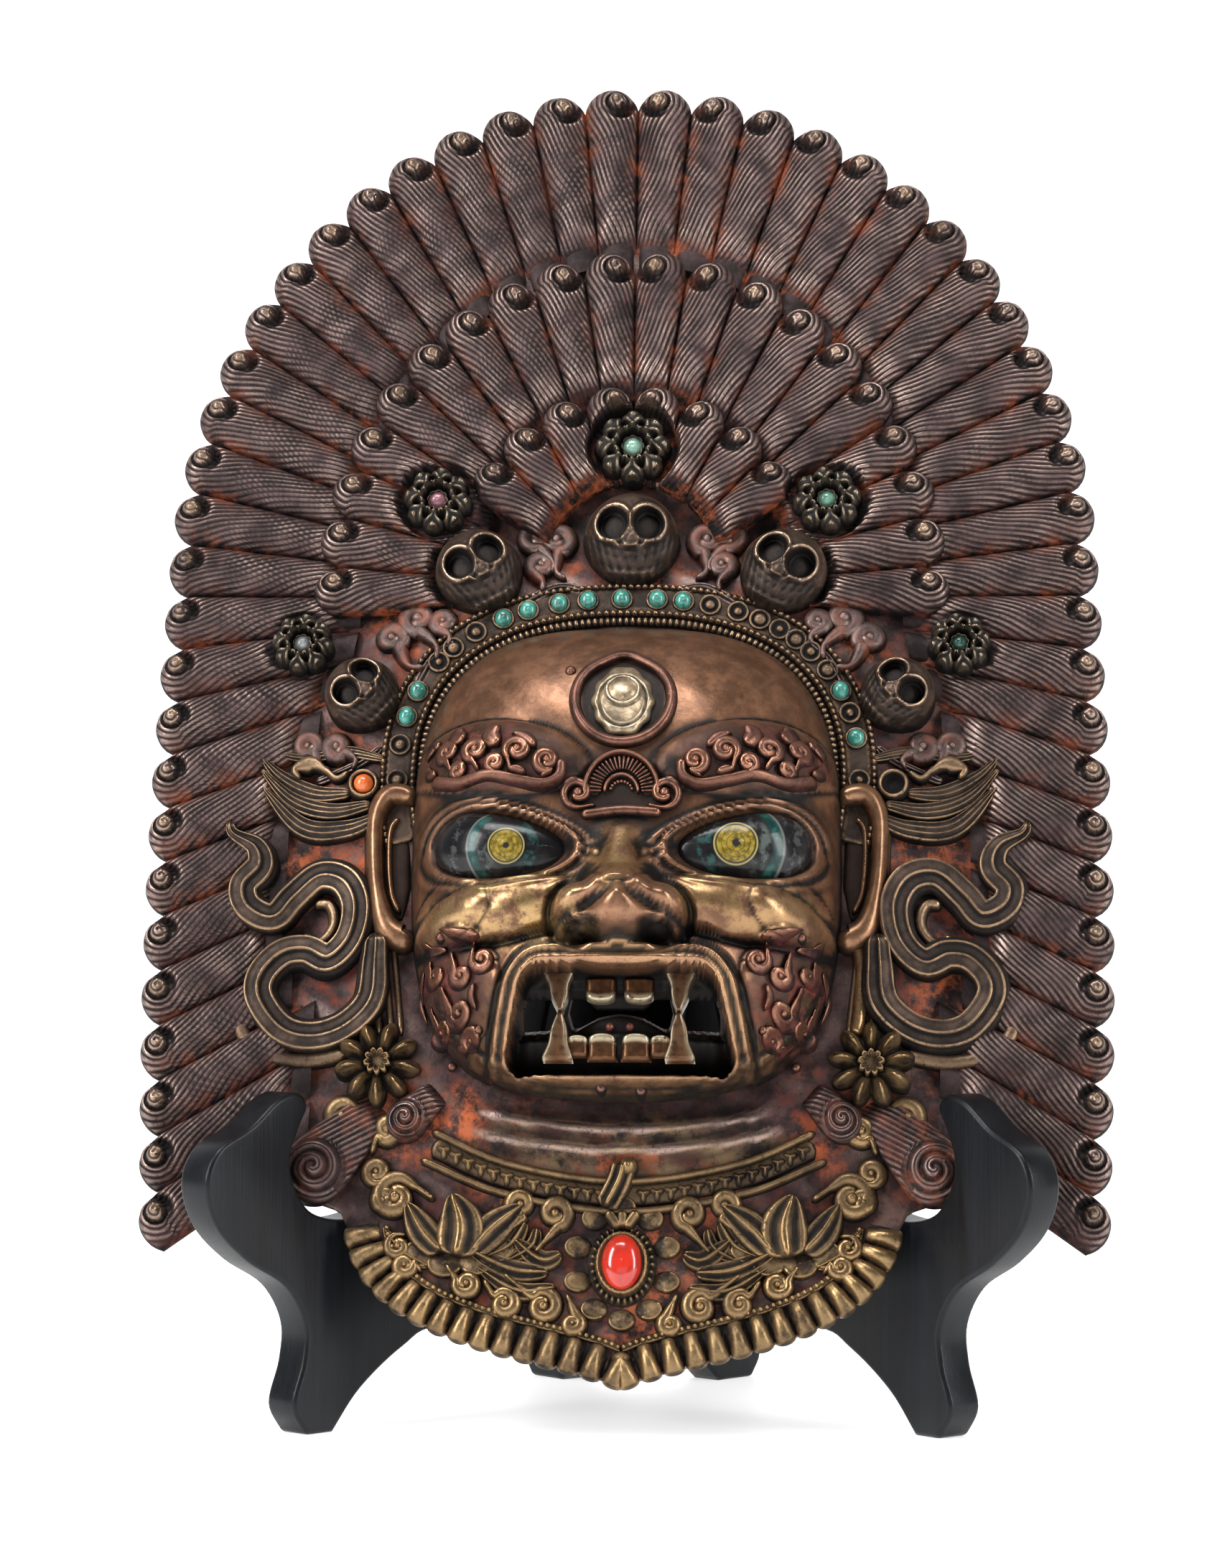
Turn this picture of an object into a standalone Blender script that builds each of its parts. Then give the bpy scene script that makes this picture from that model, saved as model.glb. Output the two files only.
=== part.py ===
"""A wrathful deity's mask in worked copper, leaning in its black wooden stand.

The mask is laid out on its own plane: u to the viewer's right, v up the mask and w out
towards the viewer, in millimetres. The plane leans back from the vertical about the hub.
Metres come in only where a mesh is made. Front towards -Y, +Z up.
"""

import math

import bmesh
import bpy
import numpy as np
from mathutils import Matrix, Vector
from mathutils.geometry import delaunay_2d_cdt

MM = 0.001

# Placing: the hub is the point of the mask's plane that the rest is measured from
LEAN_DEG = 18.0
HUB_HEIGHT = 159.0
FIT_GAP = 0.3

# Mantle of curled locks
SHEET = 2.4
OUTER_HALF_WIDTH = 121.0
OUTER_ARCH_HEIGHT = 139.6
OUTER_ARCH_FOOT = 69.5
OUTER_SIDE_BULGE = 2.4
OUTER_PAIRS = 26
OUTER_END = -118.2
OUTER_REACH = 5.4
OUTER_LENGTH = 40.0
SECOND_HALF_WIDTH = 80.0
SECOND_ARCH_HEIGHT = 95.5
SECOND_ARCH_FOOT = 62.0
SECOND_PAIRS = 10
SECOND_PITCH = 14.4
SECOND_LENGTH = 30.0
SECOND_REACH = 6.2
THIRD_HALF_WIDTH = 47.0
THIRD_ARCH_HEIGHT = 55.0
THIRD_ARCH_FOOT = 62.0
THIRD_PAIRS = 4
THIRD_PITCH = 13.2
THIRD_LENGTH = 13.0
THIRD_REACH = 5.4
RAY_HUB = 62.0
LOCK_HEIGHT = 5.6
VALLEY_HEIGHT = 0.8
ROW_STEP = 2.6
CURL_OFFSET = 1.9
CURL_HEIGHT = 2.2

# Face
FACE_HALF_WIDTH = 57.0
FACE_TOP = 50.0
FACE_BOTTOM = -82.0
FACE_CENTRE = -14.0
FACE_POWER = 3.0
FACE_DEPTH = 36.0
FACE_WALL = 2.2
FACE_STEP = 6.4
FACE_OPENING = 0.86
SEAT_LIFT = 7.0
SEAT_MARGIN = 2.2
LIFT_REACH = 30.0
BROW_PLACE = (33.0, 4.5)
EYE_PLACE = (30.3, -19.5)
EYE_SIZE = (18.8, 10.8)
MOUTH_CENTRE = -65.3
MOUTH_TOP_HALF = 24.5
MOUTH_BOTTOM_HALF = 30.5
MOUTH_HALF_HEIGHT = 12.4
MOUTH_RIM = 4.4
MOUTH_RECESS = 7.0
SLOT_TOP = -58.6
SLOT_BOTTOM = -66.6
FANG_PLACE = 15.2
FANG_WIDTH = 6.0
TONGUE_HALF_WIDTH = 11.5
TONGUE_RISE = 3.4

FACE_MARKS = (
    EYE_PLACE,
    BROW_PLACE,
    (10.5, -40.5),
    (16.5, -42.0),
    (10.5, -47.0),
    (5.5, -36.0),
    (6.5, -28.0),
    (28.0, -36.5),
    (45.0, -35.0),
    (14.0, -31.0),
    (16.0, 1.0),
    (50.0, 6.0),
    (33.0, 15.5),
    (8.0, -2.5),
    (7.0, 20.0),
    (12.5, 14.0),
    (11.0, 29.0),
)

# Beside the face: a long ear, a fan of leaves over it, and a scarf that loops to the jaw
SCARF_POINTS = (
    (105.5, -4.0),
    (98.5, -10.5),
    (101.5, -20.5),
    (97.0, -28.0),
    (88.0, -23.0),
    (77.0, -18.0),
    (71.0, -27.0),
    (76.0, -39.0),
    (89.0, -39.0),
    (96.0, -46.0),
    (94.0, -55.0),
    (82.0, -60.5),
    (70.0, -56.0),
    (66.5, -44.0),
)
SCARF_HALF_WIDTH = 3.4
SCARF_RISE = 2.8
EAR_PLACE = (64.0, -16.5)
EAR_SIZE = (5.4, 17.0)
EAR_RISE = 5.5
FAN_PLACE = (82.0, 5.0)
FAN_SIZE = (16.0, 9.0)
FAN_RISE = 4.5

# Single locks low on the mantle: place, radius, heading of the shaft and its length
LOW_LOCK_PLACE = (81.0, -97.0)
LOW_LOCK_RADIUS = 9.2
SPIRAL_LOCKS = (
    (LOW_LOCK_PLACE, LOW_LOCK_RADIUS, 132.0, 22.0),
    ((57.0, -84.5), 5.6, 140.0, 8.0),
)

# Collar
COLLAR_START = (73.0, -108.6)
COLLAR_TIP = -154.0
FRINGE_LOBES = 15
FRINGE_DEPTH = 1.8
FRINGE_BAND = 10.5

# Ornament that is set on: name, u, v, size. A rosette stands beside the lower skull
LOWER_SKULL_PLACE = (71.5, 32.5)
LOWER_SKULL_SIZE = 10.2
LOWER_ROSETTE_SIZE = 8.6
LOWER_ROSETTE_GAP = 3.87
LOWER_ROSETTE_HEADING = math.radians(41.4)
SKULLS = (
    ("top_skull", 0.0, 77.0, 13.2, 0.0),
    ("upper_skull", 41.0, 67.5, 12.0, -30.0),
    ("lower_skull", *LOWER_SKULL_PLACE, LOWER_SKULL_SIZE, -50.0),
)
SKULL_RISE = 11.5
ROSETTE_AWAY = LOWER_SKULL_SIZE + LOWER_ROSETTE_SIZE + LOWER_ROSETTE_GAP
LOWER_ROSETTE_PLACE = (
    LOWER_SKULL_PLACE[0] + ROSETTE_AWAY * math.cos(LOWER_ROSETTE_HEADING),
    LOWER_SKULL_PLACE[1] + ROSETTE_AWAY * math.sin(LOWER_ROSETTE_HEADING),
)
ROSETTES = (
    ("top_rosette", 0.0, 104.5, 10.6),
    ("upper_rosette", 53.0, 89.0, 9.6),
    ("lower_rosette", *LOWER_ROSETTE_PLACE, LOWER_ROSETTE_SIZE),
)
ROSETTE_RISE = 3.4
ROSETTE_PETALS = 6
JAW_FLOWER_PLACE = (64.5, -69.5)
JAW_FLOWER_RADIUS = 11.6
JAW_FLOWER_PETALS = 9
JAW_FLOWER_RISE = 4.6
BAND_HALF_WIDTH = 61.5
BAND_HEIGHT = 51.5
BAND_FOOT = 8.0
BAND_POWER = 2.4
BAND_BREADTH = 7.0
BAND_RISE = 2.2
TURQUOISE_ANGLES = (119.6, 112.4, 104.3, 97.6, 91.1, 85.6, 80.0, 155.0, 163.7, 25.0, 9.8)
CABOCHON_RADIUS = 2.6
CABOCHON_RISE = 2.4
FAN_BEAD_PLACE = (-70.5, 7.0)
CORAL_PLACE = (0.0, -121.5)
CORAL_SIZE = (5.4, 7.6)
CORAL_RISE = 4.4
SKULL_SEAT = 2.0
ROSETTE_SEAT = 3.2
CORAL_SEAT = 3.0
NECKLACE = ((-52.0, -89.0), (-30.0, -99.0), (0.0, -104.0), (30.0, -99.0), (52.0, -89.0))
LOTUS_PLACE = (43.0, -113.0)
COLLAR_BUDS = ((22.0, -117.0), (15.0, -128.0), (30.0, -127.0), (60.0, -107.0), (24.0, -138.0))

# Stand: r runs along a board from the line where the two cross, z up
BOARD_THICKNESS = 11.0
BOARD_SPREAD_DEG = 42.0
BOARD_CROSSING = 57.0
BOARD_ROUNDING = 2.6
BOARD_ROUNDED_ANGLE = 60.0
SADDLE_R = 118.0
SADDLE_DEPTH = 56.1
HOOK_HEIGHT = 89.0
HOOK_REACH = 162.0
FOOT_REACH = 128.0
FOOT_FLAT = 9.0
REAR_REACH = 45.0
UPRIGHT_HEIGHT = 236.0
UPRIGHT_FRONT = 38.0
UPRIGHT_BACK = 21.0
LAP_HEIGHT = 118.0
BOARD_STEPS = 1

MATERIALS = {
    "copper": ((0.20, 0.105, 0.075, 1.0), 0.42, 0.9),
    "bright_copper": ((0.42, 0.21, 0.11, 1.0), 0.26, 1.0),
    "gilding": ((0.60, 0.40, 0.13, 1.0), 0.30, 1.0),
    "turquoise": ((0.12, 0.42, 0.36, 1.0), 0.35, 0.0),
    "coral": ((0.72, 0.10, 0.04, 1.0), 0.25, 0.0),
    "glass_stone": ((0.42, 0.50, 0.46, 1.0), 0.12, 0.0),
    "black_wood": ((0.010, 0.011, 0.013, 1.0), 0.34, 0.0),
}


def clear_scene():
    for obj in list(bpy.data.objects):
        bpy.data.objects.remove(obj, do_unlink=True)


def material(name, finish):
    """A Principled material of the named finish."""
    made = bpy.data.materials.new(name + "_finish")
    made.use_nodes = True
    shader = made.node_tree.nodes["Principled BSDF"]
    colour, roughness, metallic = MATERIALS[finish]
    shader.inputs["Base Color"].default_value = colour
    shader.inputs["Roughness"].default_value = roughness
    shader.inputs["Metallic"].default_value = metallic
    made.diffuse_color = colour
    return made


def new_object(name, points, faces, finish, parent=None):
    """One closed mesh from points in millimetres, with its faces turned outwards."""
    mesh = bpy.data.meshes.new(name)
    mesh.from_pydata([Vector(point) * MM for point in points], [], faces)
    body = bmesh.new()
    body.from_mesh(mesh)
    bmesh.ops.recalc_face_normals(body, faces=body.faces)
    if body.calc_volume(signed=True) < 0:
        bmesh.ops.reverse_faces(body, faces=body.faces)
    body.to_mesh(mesh)
    body.free()
    obj = bpy.data.objects.new(name, mesh)
    bpy.context.scene.collection.objects.link(obj)
    obj.data.materials.append(material(name, finish))
    obj.parent = parent
    return obj


# Curves that the mask is laid out on


def smoothstep(x):
    x = np.clip(x, 0.0, 1.0)
    return x * x * (3.0 - 2.0 * x)


def arch_point(arc, half_width, height, foot, bulge=0.0):
    """Point and outward direction at an arc length from the top of an arch, right side."""
    steps = np.linspace(0.0, math.pi / 2, 200)
    us = half_width * np.sin(steps)
    vs = foot + height * np.cos(steps)
    lengths = np.concatenate(([0.0], np.cumsum(np.hypot(np.diff(us), np.diff(vs)))))
    if arc < lengths[-1]:
        turn = float(np.interp(arc, lengths, steps))
        place = np.array([half_width * math.sin(turn), foot + height * math.cos(turn)])
        outward = np.array([math.sin(turn) / half_width, math.cos(turn) / height])
    else:
        drop = arc - lengths[-1]
        place = np.array([half_width + bulge * math.sin(drop / 58.0), foot - drop])
        outward = np.array([1.0, 0.0])
    return place, outward / np.linalg.norm(outward)


def outer_arch(arc):
    return arch_point(
        arc, OUTER_HALF_WIDTH, OUTER_ARCH_HEIGHT, OUTER_ARCH_FOOT, OUTER_SIDE_BULGE
    )


def outer_pitch():
    """The breadth of an outer lock: the whole row fills the arch down to its end."""
    turns = np.linspace(0.0, math.pi / 2, 200)
    us = OUTER_HALF_WIDTH * np.sin(turns)
    vs = OUTER_ARCH_HEIGHT * np.cos(turns)
    length = float(np.hypot(np.diff(us), np.diff(vs)).sum())
    return (length + OUTER_ARCH_FOOT - OUTER_END) / OUTER_PAIRS


def second_arch(arc):
    return arch_point(arc, SECOND_HALF_WIDTH, SECOND_ARCH_HEIGHT, SECOND_ARCH_FOOT)


def third_arch(arc):
    return arch_point(arc, THIRD_HALF_WIDTH, THIRD_ARCH_HEIGHT, THIRD_ARCH_FOOT)


def lock_direction(place):
    """The way a lock points outwards: away from the hub, and less steep low on the sides."""
    low_edge = 20.0
    if place[1] > low_edge:
        away = place - np.array([0.0, RAY_HUB])
        return away / np.linalg.norm(away)
    slope = math.radians(18.8 + 0.12 * (low_edge - place[1]))
    return np.array([math.cos(slope), -math.sin(slope)])


def face_radius(u, v, grow=0.0):
    """1 on the face's outline, less inside and more outside it."""
    v = np.asarray(v, float)
    top = FACE_TOP - FACE_CENTRE + grow
    bottom = FACE_CENTRE - FACE_BOTTOM + grow
    reach = np.where(v > FACE_CENTRE, top, bottom)
    across = np.abs(u) / (FACE_HALF_WIDTH + grow)
    along = np.abs(v - FACE_CENTRE) / reach
    return (across**FACE_POWER + along**FACE_POWER) ** (1.0 / FACE_POWER)


def face_outline(count, share=1.0, grow=0.0):
    """Points round the face's outline, or round a smaller or larger one."""
    points = []
    for i in range(count):
        turn = 2 * math.pi * i / count
        away = np.array([math.cos(turn), math.sin(turn)])
        radius = float(face_radius(away[0], FACE_CENTRE + away[1], 0.0))
        place = away / radius * share
        place += away * grow
        points.append((place[0], FACE_CENTRE + place[1]))
    return points


def lift(u, v):
    """How far the sheet stands forward round the face."""
    distance = (face_radius(u, v, SEAT_MARGIN) - 1.0) * FACE_HALF_WIDTH
    return SEAT_LIFT * (1.0 - smoothstep(distance / LIFT_REACH))


def inside(point, polygon):
    """Whether a point is inside a polygon of points."""
    u, v = point
    hit = False
    before = polygon[-1]
    for after in polygon:
        if (before[1] > v) != (after[1] > v):
            share = (v - before[1]) / (after[1] - before[1])
            if u < before[0] + share * (after[0] - before[0]):
                hit = not hit
        before = after
    return hit


def crosses(a, b, c, d):
    """Whether the run from a to b crosses the run from c to d."""

    def turn(p, q, r):
        return (q[0] - p[0]) * (r[1] - p[1]) - (q[1] - p[1]) * (r[0] - p[0])

    return turn(a, b, c) * turn(a, b, d) < 0 and turn(c, d, a) * turn(c, d, b) < 0


def circle(centre, radius, count, squash=1.0, turn=0.0):
    points = []
    for i in range(count):
        angle = turn + 2 * math.pi * i / count
        points.append(
            (
                centre[0] + radius * math.cos(angle),
                centre[1] + radius * squash * math.sin(angle),
            )
        )
    return points


class Relief:
    """Points of a sheet, each with its height, where earlier forms cover later ones."""

    def __init__(self, nearest):
        self.points = []
        self.covers = []
        self.rings = []
        self.edges = []
        self.creases = []
        self.nearest = nearest

    def hidden(self, u, v):
        return any(inside((u, v), cover) for cover in self.covers)

    def add(self, u, v, w, nearest=None):
        """The new point's number, or None where something covers or crowds it."""
        nearest = self.nearest if nearest is None else nearest
        if self.hidden(u, v):
            return None
        for other in self.points:
            if abs(other[0] - u) < nearest and abs(other[1] - v) < nearest:
                if math.hypot(other[0] - u, other[1] - v) < nearest:
                    return None
        self.points.append((u, v, w))
        return len(self.points) - 1

    def crease(self, numbers):
        """Keeps an edge between each two neighbours of a run of points."""
        for start, end in zip(numbers, numbers[1:]):
            if start is None or end is None:
                continue
            first = np.array(self.points[start][:2])
            last = np.array(self.points[end][:2])
            between = [first + (last - first) * share for share in (0.15, 0.35, 0.5, 0.65, 0.85)]
            if any(self.hidden(*point) for point in between):
                continue
            if any(crosses(first, last, *other) for other in self.creases):
                continue
            self.edges.append((start, end))
            self.creases.append((first, last))

    def cover(self, polygon):
        self.covers.append(polygon)

    def seat(self, polygon, height):
        """A flat place, for a piece that is set on."""
        first = len(self.points)
        for u, v in polygon:
            self.add(u, v, height, 0.3)
        if len(self.points) - first == len(polygon):
            self.ring(list(range(first, len(self.points))))
        self.cover(shrunk(polygon, -0.6))

    def ring(self, numbers):
        """Keeps a closed run of edges."""
        self.rings.append(numbers)
        for start, end in zip(numbers, numbers[1:] + numbers[:1]):
            first = np.array(self.points[start][:2])
            last = np.array(self.points[end][:2])
            self.creases.append((first, last))


def shrunk(polygon, by):
    """The polygon with each point moved towards the middle, or outwards if by is negative."""
    middle = np.mean(np.array(polygon), axis=0)
    points = []
    for point in polygon:
        away = np.array(point) - middle
        points.append(tuple(middle + away * (1.0 - by / np.linalg.norm(away))))
    return points


def triangles(points, loops, hole_loops, creases=()):
    """Triangles over the points, inside the outline loop and outside the hole loops."""
    edges = list(creases)
    for loop in loops:
        edges += [(loop[i], loop[(i + 1) % len(loop)]) for i in range(len(loop))]
    flat = [Vector((point[0], point[1])) for point in points]
    found, _, faces, origins, _, _ = delaunay_2d_cdt(flat, edges, [], 0, 1e-5)
    if len(found) != len(points):
        raise ValueError("the sheet's outline crosses itself")
    outline = [points[i][:2] for i in loops[0]]
    holes = [[points[i][:2] for i in loop] for loop in hole_loops]
    kept = []
    for face in faces:
        corners = [origins[i][0] for i in face]
        middle = np.mean([points[i][:2] for i in corners], axis=0)
        if inside(middle, outline) and not any(inside(middle, hole) for hole in holes):
            kept.append(tuple(corners))
    return kept


# The mantle: outline, then its reliefs from the top layer down


def lobe_points(arch, pitch, index, reach, shares):
    """Points on the rounded end of one lock."""
    points = []
    for share in shares:
        place, outward = arch((index + share) * pitch)
        bow = math.sqrt(max(0.0, 1.0 - 0.94 * (2 * share - 1.0) ** 2))
        points.append(tuple(place + outward * (reach * (1.55 * bow - 0.55))))
    return points


def collar_curve(count, inset=0.0):
    """The collar's edge on the right, from its start down to the tip."""
    start_u, start_v = COLLAR_START
    points = []
    for i in range(count + 1):
        share = i / count
        turn = math.radians(4.0 + 76.0 * share)
        u = (start_u - inset) * math.cos(turn) / math.cos(math.radians(4.0))
        depth = (COLLAR_TIP - start_v + 3.0 + inset) * math.sin(turn) ** 0.92
        point_drop = -4.5 * share**6
        u *= 1.0 - share**5
        points.append((u, start_v + depth + point_drop))
    return points


def wing_bottom():
    """The mantle's lower edge on the right, from the last lock in to the collar."""
    drops = ((0.5, 1.3), (9.0, -0.4), (17.5, -5.6))
    lock_foot = [(OUTER_HALF_WIDTH - inset, OUTER_END - drop) for inset, drop in drops]
    spiral = circle(LOW_LOCK_PLACE, LOW_LOCK_RADIUS, 12, 1.0, math.radians(15))
    lower = [point for point in spiral if point[1] < LOW_LOCK_PLACE[1] + 4.0]
    lower.sort(key=lambda point: -point[0])
    return lock_foot + [point for point in lower if point[0] > COLLAR_START[0] + 1.0]


def mantle_outline():
    """The outline, clockwise from the top centre, and the height of each of its points."""
    right = []
    heights = []
    shares = (0.0, 0.22, 0.5, 0.78)
    for index in range(OUTER_PAIRS):
        ends = lobe_points(outer_arch, outer_pitch(), index, OUTER_REACH, shares)
        for share, point in zip(shares, ends):
            right.append(point)
            heights.append(SHEET + (0.0 if share == 0.0 else 1.6))
    for point in wing_bottom():
        right.append(point)
        heights.append(SHEET + 0.6)
    edge = collar_curve(FRINGE_LOBES * 2)
    for i, point in enumerate(edge[:-1]):
        along = np.array(edge[i + 1]) - np.array(point)
        out = np.array([-along[1], along[0]]) / np.linalg.norm(along)
        step = FRINGE_DEPTH if i % 2 else 0.0
        right.append((point[0] - out[0] * step, point[1] - out[1] * step))
        heights.append(SHEET + (1.4 if i % 2 else 0.3))
    right.append((0.0, COLLAR_TIP))
    heights.append(SHEET + 1.2)
    left = [(-u, v) for u, v in right[1:-1]]
    outline = right + left[::-1]
    return outline, heights + heights[1:-1][::-1]


def row_cover(arch, pitch, pairs, reach):
    """The ground that a row of locks hides."""
    right = []
    for index in range(pairs):
        right += lobe_points(arch, pitch, index, reach, (0.0, 0.25, 0.5, 0.75))
    last, _ = arch(pairs * pitch)
    right.append(tuple(last))
    left = [(-u, v) for u, v in reversed(right)]
    return right + [(0.0, last[1])] + left


def add_lock_row(relief, arch, pitch, pairs, reach, length, level, taper, over=False):
    """One row of locks: rounded ends that curl over a bead, and shafts that run inwards."""
    for side in (1, -1):
        for index in range(pairs):
            place, outward = arch((index + 0.5) * pitch)
            aim = lock_direction(place)
            along = np.array([outward[1], -outward[0]])
            rise = level + LOCK_HEIGHT

            def put(point, height, near=1.2):
                u, v = side * point[0], point[1]
                return relief.add(u, v, float(lift(u, v)) + SHEET + height, near)

            if over:
                shares = (0.04, 0.25, 0.5, 0.75, 0.96)
                ends = lobe_points(arch, pitch, index, reach, shares)
                rim = [put(point, rise - 1.8, 0.6) for point in ends]
                relief.crease(rim)
            bead = place - along * CURL_OFFSET + outward * 0.6
            put(bead, rise + CURL_HEIGHT)
            half = pitch * 0.25
            edges = ([], [])
            for share in (0.14, 0.97):
                back = place - aim * length * share
                narrow = 1.0 - taper * share
                height = level + LOCK_HEIGHT * (1.0 - 0.3 * share)
                for edge, sign in zip(edges, (-1, 1)):
                    edge.append(put(back + along * (sign * half * narrow + 0.6), height))
            for edge in edges:
                relief.crease(edge)
            for step in (0.0, 1.0) if index == 0 else (1.0,):
                border, _ = arch((index + step) * pitch)
                border_aim = lock_direction(border)
                groove = []
                for share in (0.0, 0.97):
                    point = border - border_aim * (length * share + 1.8)
                    groove.append(put(point, level + VALLEY_HEIGHT))
                relief.crease(groove)
    if over:
        relief.cover(row_cover(arch, pitch, pairs, reach))
        rim = row_cover(arch, pitch, pairs, reach + 1.5)
        for u, v in rim:
            if v > RAY_HUB + 6.0:
                relief.add(u, v, float(lift(u, v)) + SHEET + level - ROW_STEP + 1.0, 0.9)


def add_band(relief, centre_line, half_width, rise, closed=False):
    """A raised band along a centre line, low at both edges."""
    count = len(centre_line)
    left_edge = []
    right_edge = []
    for i, point in enumerate(centre_line):
        before = centre_line[i - 1 if closed else max(i - 1, 0)]
        after = centre_line[(i + 1) % count if closed else min(i + 1, count - 1)]
        along = np.array(after) - np.array(before)
        across = np.array([-along[1], along[0]]) / np.linalg.norm(along)
        left = np.array(point) + across * half_width
        right = np.array(point) - across * half_width
        base = float(lift(*point)) + SHEET
        relief.add(point[0], point[1], base + rise, 0.8)
        relief.add(left[0], left[1], base + 0.3, 1.0)
        relief.add(right[0], right[1], base + 0.3, 1.0)
        left_edge.append(tuple(left))
        right_edge.append(tuple(right))
    for i in range(count - 1):
        relief.cover([left_edge[i], left_edge[i + 1], right_edge[i + 1], right_edge[i]])


def spline(points, steps):
    """A smooth curve through the points, with so many steps between each two."""
    curve = []
    padded = [points[0]] + list(points) + [points[-1]]
    for i in range(1, len(padded) - 2):
        p0, p1, p2, p3 = (np.array(padded[i + k], float) for k in (-1, 0, 1, 2))
        for step in range(steps):
            t = step / steps
            curve.append(
                tuple(
                    0.5
                    * (
                        2 * p1
                        + (p2 - p0) * t
                        + (2 * p0 - 5 * p1 + 4 * p2 - p3) * t**2
                        + (3 * p1 - p0 - 3 * p2 + p3) * t**3
                    )
                )
            )
    curve.append(tuple(points[-1]))
    return curve


def add_ear(relief, side):
    centre = (side * EAR_PLACE[0], EAR_PLACE[1])
    base = float(lift(*centre)) + SHEET
    squash = EAR_SIZE[1] / EAR_SIZE[0]
    for share, height in ((1.0, 0.4), (0.72, EAR_RISE), (0.34, 1.6)):
        for u, v in circle(centre, EAR_SIZE[0] * share, 12, squash):
            if face_radius(u, v, SEAT_MARGIN) > 1.0:
                relief.add(u, v, base + height, 0.9)
    relief.cover(circle(centre, EAR_SIZE[0] * 1.02, 16, squash))


def add_fan(relief, side):
    """The three-leaved fan above the ear, its leaves sweeping outwards."""
    root = np.array([side * (FAN_PLACE[0] - FAN_SIZE[0] * 0.72), FAN_PLACE[1] + 1.5])
    for slope, reach in ((22.0, 1.9), (2.0, 2.0), (-18.0, 1.7)):
        aim = np.array([side * math.cos(math.radians(slope)), math.sin(math.radians(slope))])
        across = np.array([-aim[1], aim[0]])
        length = FAN_SIZE[0] * reach
        for share, breadth in ((0.12, 1.6), (0.45, 2.6), (0.75, 2.2)):
            middle = root + aim * length * share
            base = float(lift(*middle)) + SHEET
            relief.add(middle[0], middle[1], base + FAN_RISE, 1.0)
            for sign in (-1, 1):
                edge = middle + across * sign * breadth
                relief.add(edge[0], edge[1], base + 0.7, 1.0)
        tip = root + aim * length * 0.98
        relief.add(tip[0], tip[1], float(lift(*tip)) + SHEET + 0.8, 1.0)


def add_spiral_lock(relief, side, place, radius, heading, length):
    """A single lock that ends in a spiral, low on the mantle."""
    centre = np.array([side * place[0], place[1]])
    base = float(lift(*centre)) + SHEET
    relief.add(centre[0], centre[1], base + LOCK_HEIGHT + 1.5, 0.8)
    for ring, height in ((0.55, LOCK_HEIGHT - 0.6), (0.82, LOCK_HEIGHT - 1.6)):
        for point in circle(centre, radius * ring, 9):
            relief.add(point[0], point[1], base + height, 1.4)
    turn = math.radians(heading)
    aim = np.array([side * math.cos(turn), math.sin(turn)])
    across = np.array([-aim[1], aim[0]])
    crest = LOCK_HEIGHT - 1.2
    for share in (0.45, 0.75, 1.0):
        middle = centre + aim * (radius + length * share)
        for offset, height in ((-0.72, 0.8), (-0.3, crest), (0.3, crest), (0.72, 0.8)):
            point = middle + across * radius * offset
            relief.add(point[0], point[1], base + height * (1.2 - 0.5 * share), 1.3)


def add_collar(relief):
    """The collar: a bead line inside the fringe, a necklace, lotus flowers and leaves."""
    inner = collar_curve(FRINGE_LOBES, FRINGE_BAND)
    for side in (1, -1):
        for u, v in inner:
            relief.add(side * u, v, SHEET + 3.4, 1.2)
        for u, v in collar_curve(FRINGE_LOBES, FRINGE_BAND - 2.2):
            relief.add(side * u, v, SHEET + 1.8, 1.2)
        for i, (u, v) in enumerate(collar_curve(FRINGE_LOBES * 2, 3.5)):
            relief.add(side * u, v, SHEET + (3.6 if i % 2 else 1.0), 1.0)
        for u, v in collar_curve(FRINGE_LOBES, FRINGE_BAND + 2.2):
            relief.add(side * u, v, SHEET + 1.6, 1.2)
    add_band(relief, spline(NECKLACE, 3), 3.2, 3.4)
    for side in (1, -1):
        bloom = (side * LOTUS_PLACE[0], LOTUS_PLACE[1])
        relief.add(bloom[0], bloom[1] + 2.0, SHEET + 6.0)
        for i, point in enumerate(circle(bloom, 9.0, 10, 0.8)):
            relief.add(point[0], point[1], SHEET + (1.4 if i % 2 else 4.2))
        for u, v in COLLAR_BUDS:
            centre = (side * u, v)
            relief.add(centre[0], centre[1], SHEET + 4.8)
            for point in circle(centre, 4.4, 6, 0.85, 0.3):
                relief.add(point[0], point[1], SHEET + 1.8)


def arch_band(share_from, share_to, count):
    """Points along the crown band, from one angle to the other."""
    points = []
    for i in range(count + 1):
        turn = math.radians(share_from + (share_to - share_from) * i / count)
        points.append(band_point(turn))
    return points


def band_point(turn):
    across = abs(math.cos(turn)) ** (2 / BAND_POWER)
    along = abs(math.sin(turn)) ** (2 / BAND_POWER)
    return (
        BAND_HALF_WIDTH * math.copysign(across, math.cos(turn)),
        BAND_FOOT + BAND_HEIGHT * math.copysign(along, math.sin(turn)),
    )


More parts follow.
